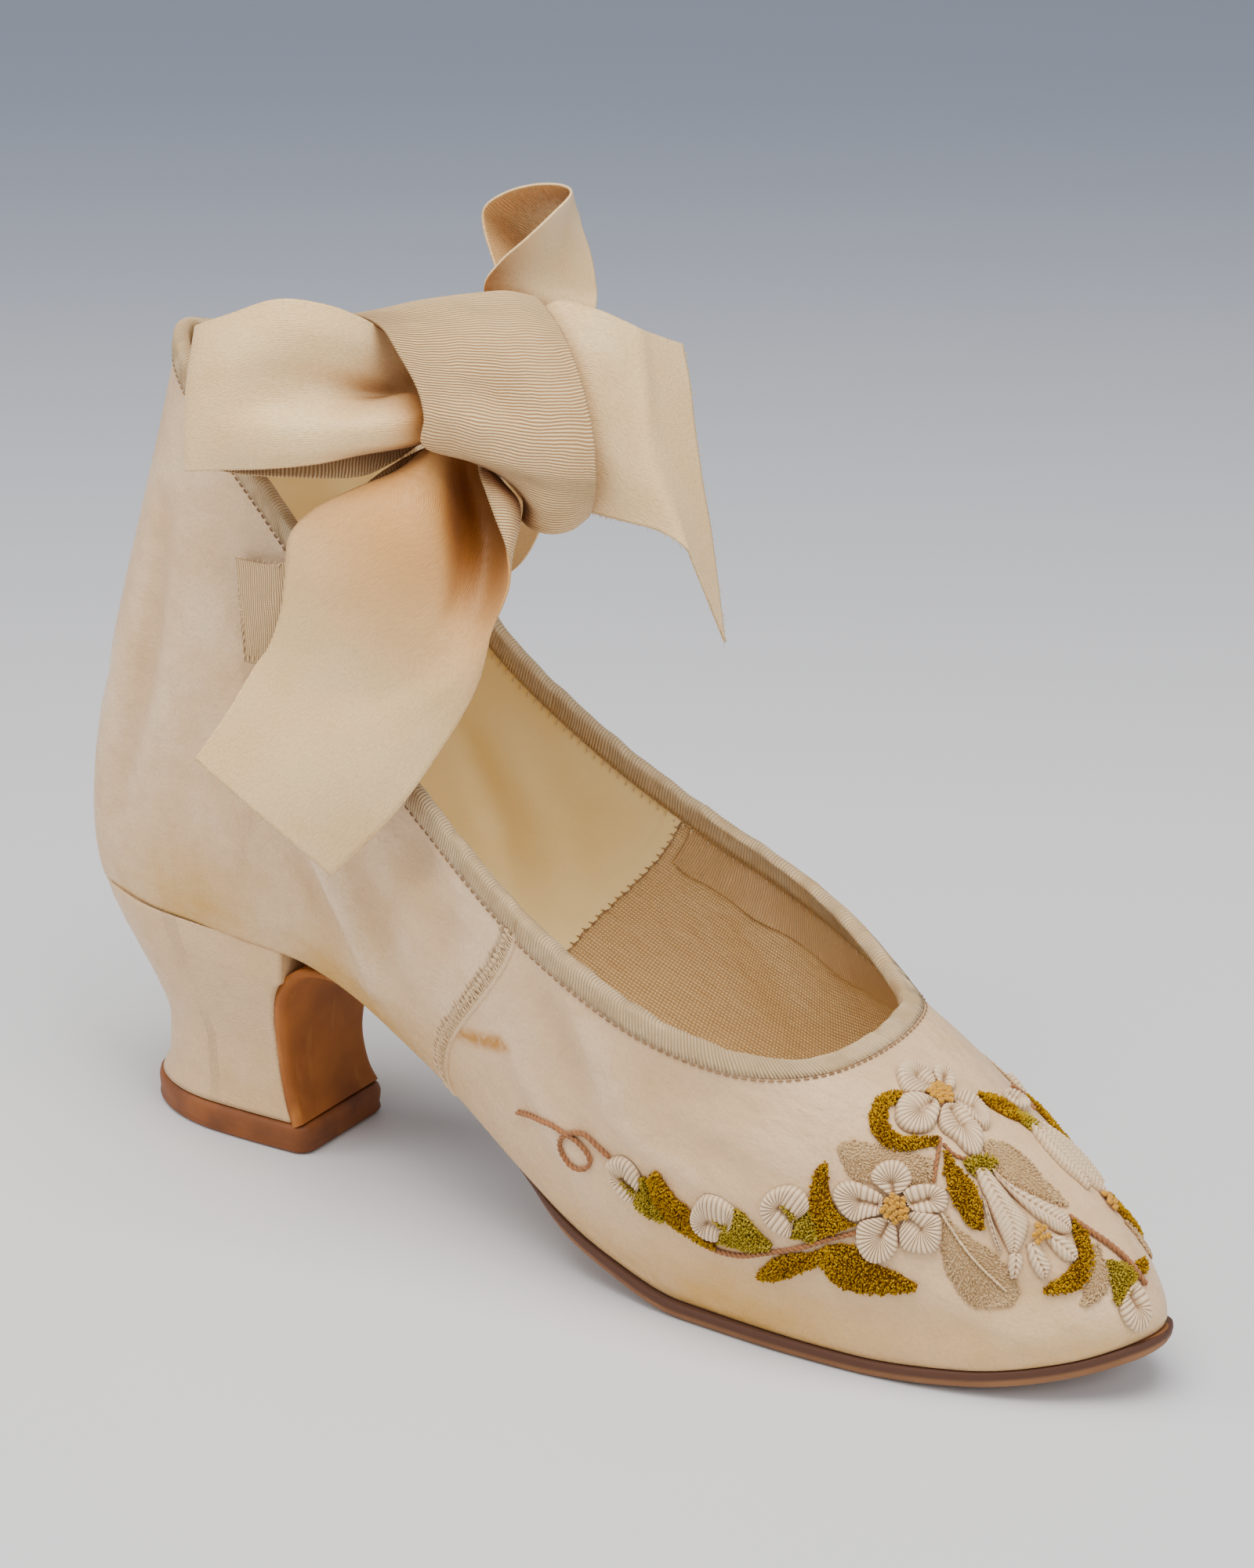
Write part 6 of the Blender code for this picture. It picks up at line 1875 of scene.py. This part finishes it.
def make_sock():
    """The kid sock over the insole, fitted inside the feather line."""
    feather = upper_surface(np.linspace(0.0, LAST_ROW, 400), [0.0])[:, 0]
    order = np.argsort(feather[:, 0])
    back = feather[:, 0].min() + SOCK_END_GAP
    front = feather[:, 0].max() - SOCK_END_GAP
    turn = 0.5 - 0.5 * np.cos(np.linspace(0.0, np.pi, SOCK_STEPS))
    stations = back + (front - back) * turn
    width = np.interp(stations, feather[order, 0], -feather[order, 1]) - SOCK_SIDE_GAP
    round_back = SOCK_ROUND_BACK * np.sqrt(np.clip(stations - back, 0.0, None))
    round_toe = SOCK_ROUND_TOE * np.sqrt(np.clip(front - stations, 0.0, None))
    width = np.maximum(np.minimum(width, np.minimum(round_back, round_toe)), SOCK_TIP)
    top = []
    low = []
    for y in np.linspace(-1.0, 1.0, SOCK_COLUMNS):
        bevel = SOCK_BEVEL * max(0.0, (abs(y) - SOCK_EDGE) / (1.0 - SOCK_EDGE))
        crown = SOCK_THICKNESS + SOCK_CROWN * (1.0 - y * y) - bevel
        place = np.stack([stations, y * width, sole_top(stations) + GAP], -1)
        top.append(place + np.array([0.0, 0.0, crown]))
        low.append(place + np.array([0.0, 0.0, SOCK_TIP]))
    loop = np.array(top + low[::-1])
    mesh = Mesh()
    mesh.add(loop, grid(len(loop), len(stations), closed_a=True, flip=True), 0, flat_map(loop))
    index = np.arange(len(loop) * len(stations)).reshape(len(loop), len(stations))
    mesh.join([index[:, 0], index[::-1, -1]])
    mesh.make("kid_sock", [kid], "sock_leather", "insole")


PHOTO_BACK = np.array([np.sin(PHOTO_AZIMUTH) * np.cos(PHOTO_ELEVATION),
                       -np.cos(PHOTO_AZIMUTH) * np.cos(PHOTO_ELEVATION),
                       np.sin(PHOTO_ELEVATION)])
PHOTO_RIGHT = unit(np.cross([0.0, 0.0, 1.0], PHOTO_BACK))
PHOTO_UP = np.cross(PHOTO_BACK, PHOTO_RIGHT)
PHOTO_PLACE = np.array(CAMERA_PLACE) / MM + np.array([ORIGIN_STATION, 0.0, 0.0])


def sight_lines(pixels):
    """Directions from the camera through pixels of the photograph, to a depth of one focal length."""
    across, down = np.moveaxis(np.asarray(pixels, float) - PHOTO_MIDDLE, -1, 0)
    sideways = across[..., None] * PHOTO_RIGHT - down[..., None] * PHOTO_UP
    return sideways - PHOTO_FOCAL * PHOTO_BACK


def bow_places(net):
    """Points of a ribbon's net, given by pixels and by depths before the bow's plane."""
    net = np.asarray(net, float)
    depth = BOW_PLANE - net[..., 2:]
    return PHOTO_PLACE + sight_lines(net[..., :2]) * depth / PHOTO_FOCAL


def even_steps(points, coarse, count):
    """Numbers along a path, from those of its coarse points, that are evenly spaced in length."""
    step = np.linalg.norm(np.diff(points, axis=0), axis=-1).mean(axis=1)
    length = np.concatenate([[0.0], np.cumsum(step)])
    count = int(length[-1] / RIBBON_STEP_ALONG) if count is None else count
    return np.interp(np.linspace(0.0, length[-1], count + 1), length, coarse), length[-1]


def ribbon_sheet(net, closed):
    """Middle face of a ribbon, smooth through its net, and its length."""
    net = np.asarray(net, float)
    rows = len(net) if closed else len(net) - 1
    columns = net.shape[1]
    coarse = np.linspace(0.0, rows, NET_STEPS * rows + 1)
    fine = through_rows(net.reshape(len(net), -1), coarse, closed).reshape(-1, columns, 3)
    at, length = even_steps(fine, coarse, None)
    at = at[:-1] if closed else at
    lines = through_rows(net.reshape(len(net), -1), at, closed).reshape(-1, columns, 3)
    across = lines.transpose(1, 0, 2)
    coarse = np.linspace(0.0, columns - 1.0, NET_STEPS * columns)
    fine = through_rows(across.reshape(columns, -1), coarse, False).reshape(len(coarse), -1, 3)
    at, _ = even_steps(fine, coarse, RIBBON_STEPS_ACROSS)
    sheet = through_rows(across.reshape(columns, -1), at, False).reshape(len(at), -1, 3)
    return sheet.transpose(1, 0, 2), length


def sheet_normals(sheet, closed):
    if closed:
        along = np.roll(sheet, -1, axis=0) - np.roll(sheet, 1, axis=0)
    else:
        along = np.gradient(sheet, axis=0)
    return unit(np.cross(np.gradient(sheet, axis=1), along))


def make_ribbon(name, net, materials, closed=False):
    """A ribbon with its own face on each side and thicker selvages."""
    sheet, length = ribbon_sheet(net, closed)
    normals = sheet_normals(sheet, closed)
    width = np.linalg.norm(np.diff(sheet, axis=1), axis=-1).sum(axis=1)
    part = np.linspace(0.0, 1.0, sheet.shape[1])
    from_edge = np.minimum(part, part[::-1])
    selvage = np.exp(-((from_edge[None, :] * width[:, None] / SELVAGE_WIDTH) ** 2))
    half = 0.5 * (RIBBON_THICKNESS + SELVAGE_THICKNESS * selvage)
    flat = flat_map(sheet)
    count, across = sheet.shape[:2]
    # shade: painted golden shade, full near the knot and fading with distance from it
    gap = np.linalg.norm(sheet - bow_places(BOW["bow_knot"]).mean(axis=(0, 1)), axis=-1)
    shade = 1.0 - fade(*PAINTED_SHADE_REACH.get(name, PAINTED_SHADE_NEAR), gap)
    mesh = Mesh()
    top = sheet + normals * half[..., None]
    mesh.add(top, grid(count, across, closed_a=closed, flip=True), 0, flat, shade=shade)
    low = sheet - normals * half[..., None]
    mesh.add(low, grid(count, across, closed_a=closed), 1, flat, shade=shade)
    index = np.arange(count * across).reshape(count, across)
    under = index + count * across
    bands = []
    for low, top in ((under[:, 0], index[:, 0]), (index[:, -1], under[:, -1])):
        if closed:
            top, low = np.append(top, top[0]), np.append(low, low[0])
        bands.append(np.stack([top[:-1], top[1:], low[1:], low[:-1]], -1))
    if not closed:
        for low, top in ((index[0], under[0]), (under[-1], index[-1])):
            bands.append(np.stack([top[:-1], top[1:], low[1:], low[:-1]], -1))
    for band in bands:
        mesh.join(band)
    made = mesh.make(name.replace("bow_", "ribbon_") + "_cloth", materials, "bow_ribbon", name)


def make_bow():
    faces = [ribbon_satin, ribbon_ribbed]
    for name, net in BOW.items():
        turned = faces[::-1] if name == "bow_loop_side" else faces
        turned = [ribbon_satin, ribbon_glow] if name == "bow_loop_upright" else turned
        make_ribbon(name, bow_places(net), turned, closed=name == "bow_knot")
    for name, edges in TIES.items():
        make_ribbon(name, edges, faces if name == "tie_left" else faces[::-1])


def make_frays():
    """Loose threads at the cut ends of the tails and along the side tail's lower selvage."""
    thread = Mesh()
    rng = np.random.default_rng(FRAY_SEED)
    for name, cut in (("bow_tail_front", True), ("bow_tail_side", True), ("bow_tail_side", False)):
        sheet, _ = ribbon_sheet(bow_places(BOW[name]), False)
        normals = sheet_normals(sheet, False)
        edge = sheet[-1] if cut else sheet[:, -1]
        inner = sheet[-2] if cut else sheet[:, -2]
        out = normals[-1] if cut else normals[:, -1]
        count = int(np.linalg.norm(np.diff(edge, axis=0), axis=1).sum() / FRAY_SPACING)
        at = rng.uniform(0.0, len(edge) - 1.0, count)
        start = through_rows(edge, at, False)
        away = unit(through_rows(edge - inner, at, False))
        length = rng.uniform(*FRAY_LENGTH, count)[:, None]
        end = start + (away + FRAY_SPREAD * rng.standard_normal(start.shape)) * length
        stitches(thread, start - away * FRAY_ROOT, end, FRAY_RADIUS, through_rows(out, at, False))
    thread.make("ribbon_frays", [pale_thread], "bow_ribbon")


def seen(pixels):
    """Places on the satin that the photograph shows at its pixels."""
    found = []
    for aim in unit(sight_lines(pixels)):
        place, _, _, _ = skin.tree.ray_cast(Vector(PHOTO_PLACE), Vector(aim))
        if place is None:
            reach = (TOE_MIDDLE - PHOTO_PLACE) @ aim
            place, _, _, _ = skin.tree.find_nearest(Vector(PHOTO_PLACE + aim * reach))
        found.append(place)
    return np.array(found)


def seen_edges(pair):
    return [seen(edge) for edge in pair]


def mirrored(points):
    return points * np.array([1.0, -1.0, 1.0])


def mirrored_edges(edges):
    """The same strip on the left side, with its edges changed over so that it faces out."""
    return [mirrored(edge) for edge in edges[::-1]]


def leaf_edges(leaf):
    """Two edges of a leaf that is given by its ends, half width and bend."""
    start, end, across, _ = overlay_frame(*leaf[:4])
    t = np.linspace(0.0, 1.0, LEAF_POINTS)
    middle = start + (end - start) * t[:, None] + across * (leaf.bend * 4 * t * (1 - t))[:, None]
    reach = leaf.half_width * np.sin(np.pi * np.clip(t, LEAF_TIP, 1.0 - LEAF_TIP)) ** LEAF_FULLNESS
    return [middle + across * reach[:, None] * side for side in (1.0, -1.0)]


def between(edges, t, s):
    """Places part t along and part s across a strip."""
    first, second = [through_rows(edge, t * (len(edge) - 1), False) for edge in edges]
    return first + (second - first) * s[:, None]


def strip_grid(edges, steps, sides):
    t, s = np.meshgrid(np.linspace(0.0, 1.0, steps), np.linspace(0.0, 1.0, sides), indexing="ij")
    return between(edges, t.ravel(), s.ravel()).reshape(steps, sides, 3)


def strip_size(edges):
    """Length of a strip's middle and its width along it."""
    points = strip_grid(edges, 25, 3)
    length = np.linalg.norm(np.diff(points[:, 1], axis=0), axis=1).sum()
    return length, np.linalg.norm(points[:, 2] - points[:, 0], axis=1)


def faces_out(points):
    """Whether a grid's faces, taken as they come, look away from the satin."""
    i = points.shape[0] // 2
    j = points.shape[1] // 2
    _, out = skin.lay(points[i, j][None], 0.0)
    normal = np.cross(points[i, j] - points[i - 1, j], points[i, j] - points[i, j - 1])
    return bool(normal @ out[0] > 0)


def pile(mesh, edges, slot, height=1.0, spacing=PILE_SPACING, lie=0.0):
    """A raised pad between two edges on the satin, covered in short tufts that stand or lie."""
    length, widths = strip_size(edges)
    points = strip_grid(edges, max(8, int(length / PAD_STEP)), PAD_COLUMNS)
    across = np.linspace(-1.0, 1.0, PAD_COLUMNS)
    along = np.linspace(-1.0, 1.0, len(points))
    dome = np.sqrt(np.clip(1.0 - across**2, 0.0, 1.0))[None, :] * (1.0 - along**6)[:, None]
    pad, _ = skin.lay(points, PAD_LIFT + PAD_RISE * height * dome)
    mesh.add(pad, grid(*pad.shape[:2], flip=not faces_out(pad)), slot, shade=PAD_SHADE)
    count_t = max(3, int(length / spacing))
    count_s = max(2, int(widths.max() / spacing))
    at_t = (np.arange(count_t)[:, None] + rng.random((count_t, count_s))) / count_t
    at_s = (np.arange(count_s)[None, :] + rng.random((count_t, count_s))) / count_s
    at_t, at_s = at_t.ravel(), at_s.ravel()
    width = np.interp(at_t, np.linspace(0.0, 1.0, len(widths)), widths)
    keep = rng.random(len(at_t)) < np.clip(width / widths.max() * TUFT_SHARE, TUFT_LEAST_SHARE, 1.0)
    at_t, at_s, width = at_t[keep], at_s[keep], width[keep]
    side = 2.0 * at_s - 1.0
    spots = between(edges, at_t, at_s)
    spots = spots + rng.standard_normal(spots.shape) * TUFT_SCATTER
    rise = PAD_RISE * height * np.sqrt(np.clip(1.0 - side**2, 0.0, 1.0))
    base, out = skin.lay(spots, rise)
    sideways = between(edges, at_t, np.ones(len(at_t))) - between(edges, at_t, np.zeros(len(at_t)))
    ahead = between(edges, np.minimum(at_t + TUFT_NUDGE, 1.0), at_s)
    ahead = ahead - between(edges, np.maximum(at_t - TUFT_NUDGE, 0.0), at_s)
    spread = unit(sideways) * side[:, None]
    lying = unit(ahead) + spread
    stand = (1.0 - TUFT_LIE * lie) * out + TUFT_SPREAD * spread + lie * lying
    stand = unit(stand + (TUFT_STRAY - TUFT_TIDY * lie) * rng.standard_normal(base.shape))
    slant = at_t * length + PILE_SLANT * side * width
    rows = 0.5 + 0.5 * np.cos(2 * np.pi * slant / PILE_ROW)
    tall = height * (TUFT_LEAST + TUFT_ROW_RISE * rows + TUFT_RISE * rng.random(len(base)))
    first, second = cross_pair(stand)
    thick = TUFT_THICKNESS * spacing * (0.85 + 0.35 * rng.random(len(base)))
    patches = np.sin(at_t * 9.0 + 2.5 * side) * 0.10 + 0.22 * (rows - 0.5)
    shade = np.clip(0.52 + patches + (0.20 - 0.06 * lie) * rng.standard_normal(len(base)), 0.0, 1.0)
    rings = []
    for level, spread, twist in TUFT_RINGS:
        for k in range(TUFT_SIDES):
            turn = 2 * np.pi * k / TUFT_SIDES + twist
            offset = np.cos(turn) * first + np.sin(turn) * second
            rings.append(base + stand * (level * tall)[:, None] + offset * (spread * thick)[:, None])
    rings.append(base + stand * tall[:, None])
    points = np.stack(rings, axis=1)
    per_tuft = points.shape[1]
    walls = []
    tips = []
    for k in range(TUFT_SIDES):
        after = (k + 1) % TUFT_SIDES
        for low in (0, TUFT_SIDES):
            walls.append([low + k, low + after, low + TUFT_SIDES + after, low + TUFT_SIDES + k])
        tips.append([2 * TUFT_SIDES + k, 2 * TUFT_SIDES + after, 3 * TUFT_SIDES])
    start = np.arange(len(base))[:, None, None] * per_tuft
    depth = np.append(np.repeat(TUFT_SHADES, TUFT_SIDES), TUFT_TIP_SHADE)
    tint = np.clip(shade[:, None] * depth, 0.0, 1.0)
    before = mesh.count
    mesh.add(points, (start + np.array(walls)).reshape(-1, 4), slot, shade=tint)
    mesh.join((start + np.array(tips)).reshape(-1, 3) + before, slot)


def cord_profile(turns):
    """1 on the round back of each cord of a ribbed ribbon and -1 in the narrow grooves between."""
    return 2.0 * np.abs(np.cos(np.pi * turns)) ** 0.7 - 1.0


def ruche(mesh, dimple, root, outline, height):
    """A puffed petal of ribbed ribbon, gathered into a slit from its dimple towards its root."""
    ribs = max(14, int(girth(outline[:, None]) / PETAL_RIB_PITCH))
    count = RIB_POINTS * ribs
    turn = np.arange(count) / count
    ring = through_rows(outline, turn * len(outline), True)
    rib = cord_profile(ribs * turn)
    parts, puff = np.array(PETAL_PUFF).T
    slit = SLIT_SHARE * (root - dimple)
    along = np.clip(((ring - dimple) @ slit) / (slit @ slit), 0.0, 1.0)
    inner = dimple + along[:, None] * slit
    place = inner[:, None] + (ring - inner)[:, None] * parts[None, :, None]
    away = np.clip((dimple - ring) @ unit(slit) / np.linalg.norm(ring - dimple, axis=1), -1.0, 1.0)
    swell = height * (0.86 + 0.14 * away)
    lift = PETAL_LIFT + swell[:, None] * puff[None, :] + RIB_DEPTH * rib[:, None] * np.sqrt(puff)[None, :]
    laid, _ = skin.lay(place, lift)
    shade = np.clip(PETAL_TONE + RIB_TONE * rib[:, None] + PUFF_TONE * (puff - 0.80), 0.0, 1.0)
    mesh.add(laid, grid(count, len(parts), closed_a=True, flip=not faces_out(laid)), 0, shade=shade)
    middle = mesh.count - count * len(parts) + len(parts) * np.arange(count)
    mesh.join([middle[::-1] if faces_out(laid) else middle])


def folded_petal(mesh, edges, height):
    """A long petal folded down its middle, with ribs that slant out from the fold."""
    length, widths = strip_size(edges)
    steps = max(12, int(length * RIB_POINTS / RIB_PITCH))
    points = strip_grid(edges, steps, FOLDED_COLUMNS)
    t = np.linspace(0.0, 1.0, steps)
    side = np.linspace(-1.0, 1.0, FOLDED_COLUMNS)
    width = np.interp(t, np.linspace(0.0, 1.0, len(widths)), widths)
    fold = np.exp(-((side / FOLD_WIDTH) ** 2))
    puff = np.clip(1.0 - side**2, 0.0, 1.0) ** 0.45 - 0.35 * fold
    slant = t[:, None] * length - 0.40 * np.abs(side)[None, :] * width[:, None]
    rib = cord_profile(slant / PETAL_RIB_PITCH)
    body = np.sin(np.pi * np.clip(0.10 + 0.80 * t, 0.0, 1.0)) ** 0.4
    lift = PETAL_LIFT + height * puff[None, :] * body[:, None]
    lift = lift + RIB_DEPTH * rib * np.clip(2.0 * (1.0 - np.abs(side)), 0.0, 1.0)[None, :]
    laid, _ = skin.lay(points, lift)
    shade = np.clip(PETAL_TONE + RIB_TONE * rib + PUFF_TONE * (puff - 0.75), 0.0, 1.0)
    mesh.add(laid, grid(*laid.shape[:2], flip=not faces_out(laid)), 0, shade=shade)


def french_knots(mesh, centre, radius, count, lift):
    """Small coiled knots packed round a centre."""
    _, out = skin.lay(centre[None], 0.0)
    first, second = cross_pair(out[0])
    for k in range(count):
        ring = radius * np.sqrt((k + 0.5) / count)
        turn = GOLDEN_TURN * k
        spot = centre + ring * (np.cos(turn) * first + np.sin(turn) * second)
        place, _ = skin.lay(spot[None], lift * (1.0 - 0.35 * ring / radius))
        at = np.linspace(0.0, KNOT_SWEEP * np.pi, KNOT_POINTS)
        coil = KNOT_SIZE * KNOT_COIL * swing(at + k, first, second)
        coil = place[0] + coil * (1.0 - KNOT_NARROWING * at / at[-1])[:, None]
        coil = coil + out[0] * (KNOT_LIFT + KNOT_RISE * KNOT_SIZE * at / at[-1])[:, None]
        tube(mesh, coil, KNOT_SIZE * KNOT_THREAD, slot=STAMEN_SLOT)


def embroider(name, mesh, slot, node=None):
    """An embroidered piece, with the looks in the order of their slots."""
    looks = [petal_ribbed, stamen_thread, calyx_pile, olive_pile, beige_pile, pale_thread]
    mesh.make(name, looks, slot, node)


def add_calyx(mesh, edges):
    pile(mesh, edges, CALYX_SLOT, CALYX_HEIGHT, CALYX_SPACING)


def add_leaf(mesh, name, edges):
    if name.startswith("pale"):
        pile(mesh, edges, BEIGE_SLOT, PALE_PILE_HEIGHT, PALE_SPACING, 1.0)
    else:
        pile(mesh, edges, OLIVE_SLOT, PILE_HEIGHT)


def make_leaves():
    for name, pair in STRIPS.items():
        edges = seen_edges(pair)
        sides = {"_right": edges, "_left": mirrored_edges(edges)}
        sides = {"": edges} if name in MIDDLE_LEAVES else sides
        for side, placed in sides.items():
            mesh = Mesh()
            add_leaf(mesh, name, placed)
            if name == "pale_leaf_ball":
                line = seen(VEIN)
                line = line if side == "_right" else mirrored(line)
                laid, _ = skin.lay(path_through(line, VEIN_POINTS), VEIN_LIFT)
                rope(mesh, laid, VEIN_RADIUS, VEIN_TWIST, VEIN_SLOT)
            chenille = "pale_chenille" if name.startswith("pale") else "leaf_chenille"
            embroider(name + side + "_pile", mesh, chenille, name + side)
    mesh = Mesh()
    pile(mesh, leaf_edges(RIDGE_LEAF), OLIVE_SLOT, PILE_HEIGHT)
    embroider("leaf_ridge_pile", mesh, "leaf_chenille", "leaf_ridge")
    mesh = Mesh()
    pile(mesh, seen_edges(SMALL_TOE_LEAF), OLIVE_SLOT, SMALL_PILE_HEIGHT)
    embroider("leaf_toe_small_pile", mesh, "leaf_chenille")


def make_flowers():
    for name, petals in RUCHES.items():
        shapes = [(seen([dimple])[0], seen(outline)) for dimple, outline in petals]
        knot_place = seen([KNOTS[name][0]])[0] if name in KNOTS else None
        calyx_edges = [seen_edges(pair) for pair in CALYXES.get(name, ())]
        single = name in ("flower_throat", "bud_toe")
        for side in (1,) if single else (1, -1):
            mesh = Mesh()
            for dimple, outline in shapes:
                root = knot_place if knot_place is not None else np.mean(calyx_edges[0], axis=(0, 1))
                if side < 0:
                    dimple, root, outline = mirrored(dimple), mirrored(root), mirrored(outline)[::-1]
                ruche(mesh, dimple, root, outline, PETAL_HEIGHT)
            if knot_place is not None:
                centre = knot_place if side > 0 else mirrored(knot_place)
                french_knots(mesh, centre, KNOTS[name][1], FLOWER_KNOTS, FLOWER_KNOT_LIFT)
            for edges in calyx_edges:
                add_calyx(mesh, edges if side > 0 else mirrored_edges(edges))
            ending = "" if single else "_right" if side > 0 else "_left"
            if name == "flower_right":
                node = name if side > 0 else "flower_left"
            else:
                node = name + ending
            embroider(node + "_petals", mesh, "petal_ribbon", node)


def make_bells():
    mesh = Mesh()
    for edges in FOLDED_PETALS["bell_right"]:
        folded_petal(mesh, seen_edges(edges), PETAL_HEIGHT)
    for edges in CALYXES["bell_right"]:
        add_calyx(mesh, seen_edges(edges))
    place, radius = KNOTS["bell_right"]
    french_knots(mesh, seen([place])[0], radius, BELL_KNOTS, PETAL_HEIGHT)
    embroider("bell_right_petals", mesh, "petal_ribbon", "bell_right")
    mesh = Mesh()
    for leaf in FAR_BELL_PETALS:
        folded_petal(mesh, leaf_edges(leaf), PETAL_HEIGHT)
    add_calyx(mesh, leaf_edges(FAR_CALYX))
    french_knots(mesh, places([FAR_STAMENS])[0], FAR_KNOTS_RADIUS, BELL_KNOTS, FAR_KNOT_LIFT)
    bud = places([FAR_BUD])[0]
    turns = 2 * np.pi * np.arange(BUD_POINTS) / BUD_POINTS
    _, out = skin.lay(bud[None], 0.0)
    first, second = cross_pair(out[0])
    outline = bud + FAR_BUD_RADIUS * swing(turns, first, second)
    ruche(mesh, bud + BUD_DIMPLE * first, bud + FAR_BUD_RADIUS * first, outline, PETAL_HEIGHT)
    embroider("bell_left_petals", mesh, "petal_ribbon", "bell_left")


def make_stems():
    mesh = Mesh()
    for name, (radius, pixels) in STEMS.items():
        line = seen(pixels)
        fine = path_through(line, 30 * len(line))
        for placed in (fine,) if name == "toe" else (fine, mirrored(fine)):
            laid, _ = skin.lay(placed, 0.75 * radius)
            rope(mesh, laid, radius, STEM_TWIST)
    mesh.make("stem_stitches", [stem_thread], "leaf_chenille")


def make_floor():
    mesh = bpy.data.meshes.new("floor")
    turns = 2 * np.pi * np.arange(FLOOR_SIDES) / FLOOR_SIDES
    points = np.stack([np.cos(turns), np.sin(turns), np.zeros(FLOOR_SIDES)], -1) * FLOOR_RADIUS
    mesh.from_pydata(points.tolist(), [], [list(range(FLOOR_SIDES))])
    floor = bpy.data.objects.new("floor", mesh)
    bpy.context.scene.collection.objects.link(floor)
    look = Look("floor_pale", roughness=0.42, specular_ior_level=0.25)
    reach = look.node("ShaderNodeVectorMath")
    reach.operation = "DOT_PRODUCT"
    look.links.new(look.space(), reach.inputs[0])
    reach.inputs[1].default_value = FLOOR_BACKWARD
    far = look.ramp(reach.outputs["Value"], FLOOR_PALE_REACH, FLOOR_DEEP_REACH)
    far.node.interpolation_type = "SMOOTHSTEP"
    mesh.materials.append(look.finish(look.layers(FLOOR_PALE, (far, FLOOR_DEEP))))


def area_light(name, place, size, power, colour):
    light = bpy.data.lights.new(name, "AREA")
    light.shape = "RECTANGLE"
    light.size, light.size_y = size
    light.energy = power
    light.color = colour
    made = bpy.data.objects.new(name, light)
    made.location = place
    made.rotation_euler = (Vector(LIGHT_AIM) - Vector(place)).to_track_quat("-Z", "Y").to_euler()
    bpy.context.scene.collection.objects.link(made)


def make_stage():
    make_floor()
    for light in LIGHTS:
        area_light(*light)
    world = bpy.context.scene.world or bpy.data.worlds.new("studio")
    bpy.context.scene.world = world
    world.use_nodes = True
    background = world.node_tree.nodes["Background"]
    background.inputs["Color"].default_value = ROOM_LIGHT
    background.inputs["Strength"].default_value = ROOM_POWER
    camera_data = bpy.data.cameras.new("camera")
    camera_data.sensor_fit = "VERTICAL"
    camera_data.sensor_height = CAMERA_SENSOR
    camera_data.lens = CAMERA_LENS
    camera = bpy.data.objects.new("camera", camera_data)
    camera.location = CAMERA_PLACE
    look_along = Vector(CAMERA_AIM) - Vector(CAMERA_PLACE)
    camera.rotation_euler = look_along.to_track_quat("-Z", "Y").to_euler()
    bpy.context.scene.collection.objects.link(camera)
    bpy.context.scene.camera = camera


make_stage()
make_upper()
make_binding()
make_stitching()
make_side_seams()
make_lining_trim()
make_ribbon_ends()
make_sole()
make_breast()
make_heel()
make_sock()
make_bow()
make_tie_stitches()
make_frays()
make_leaves()
make_flowers()
make_bells()
make_stems()
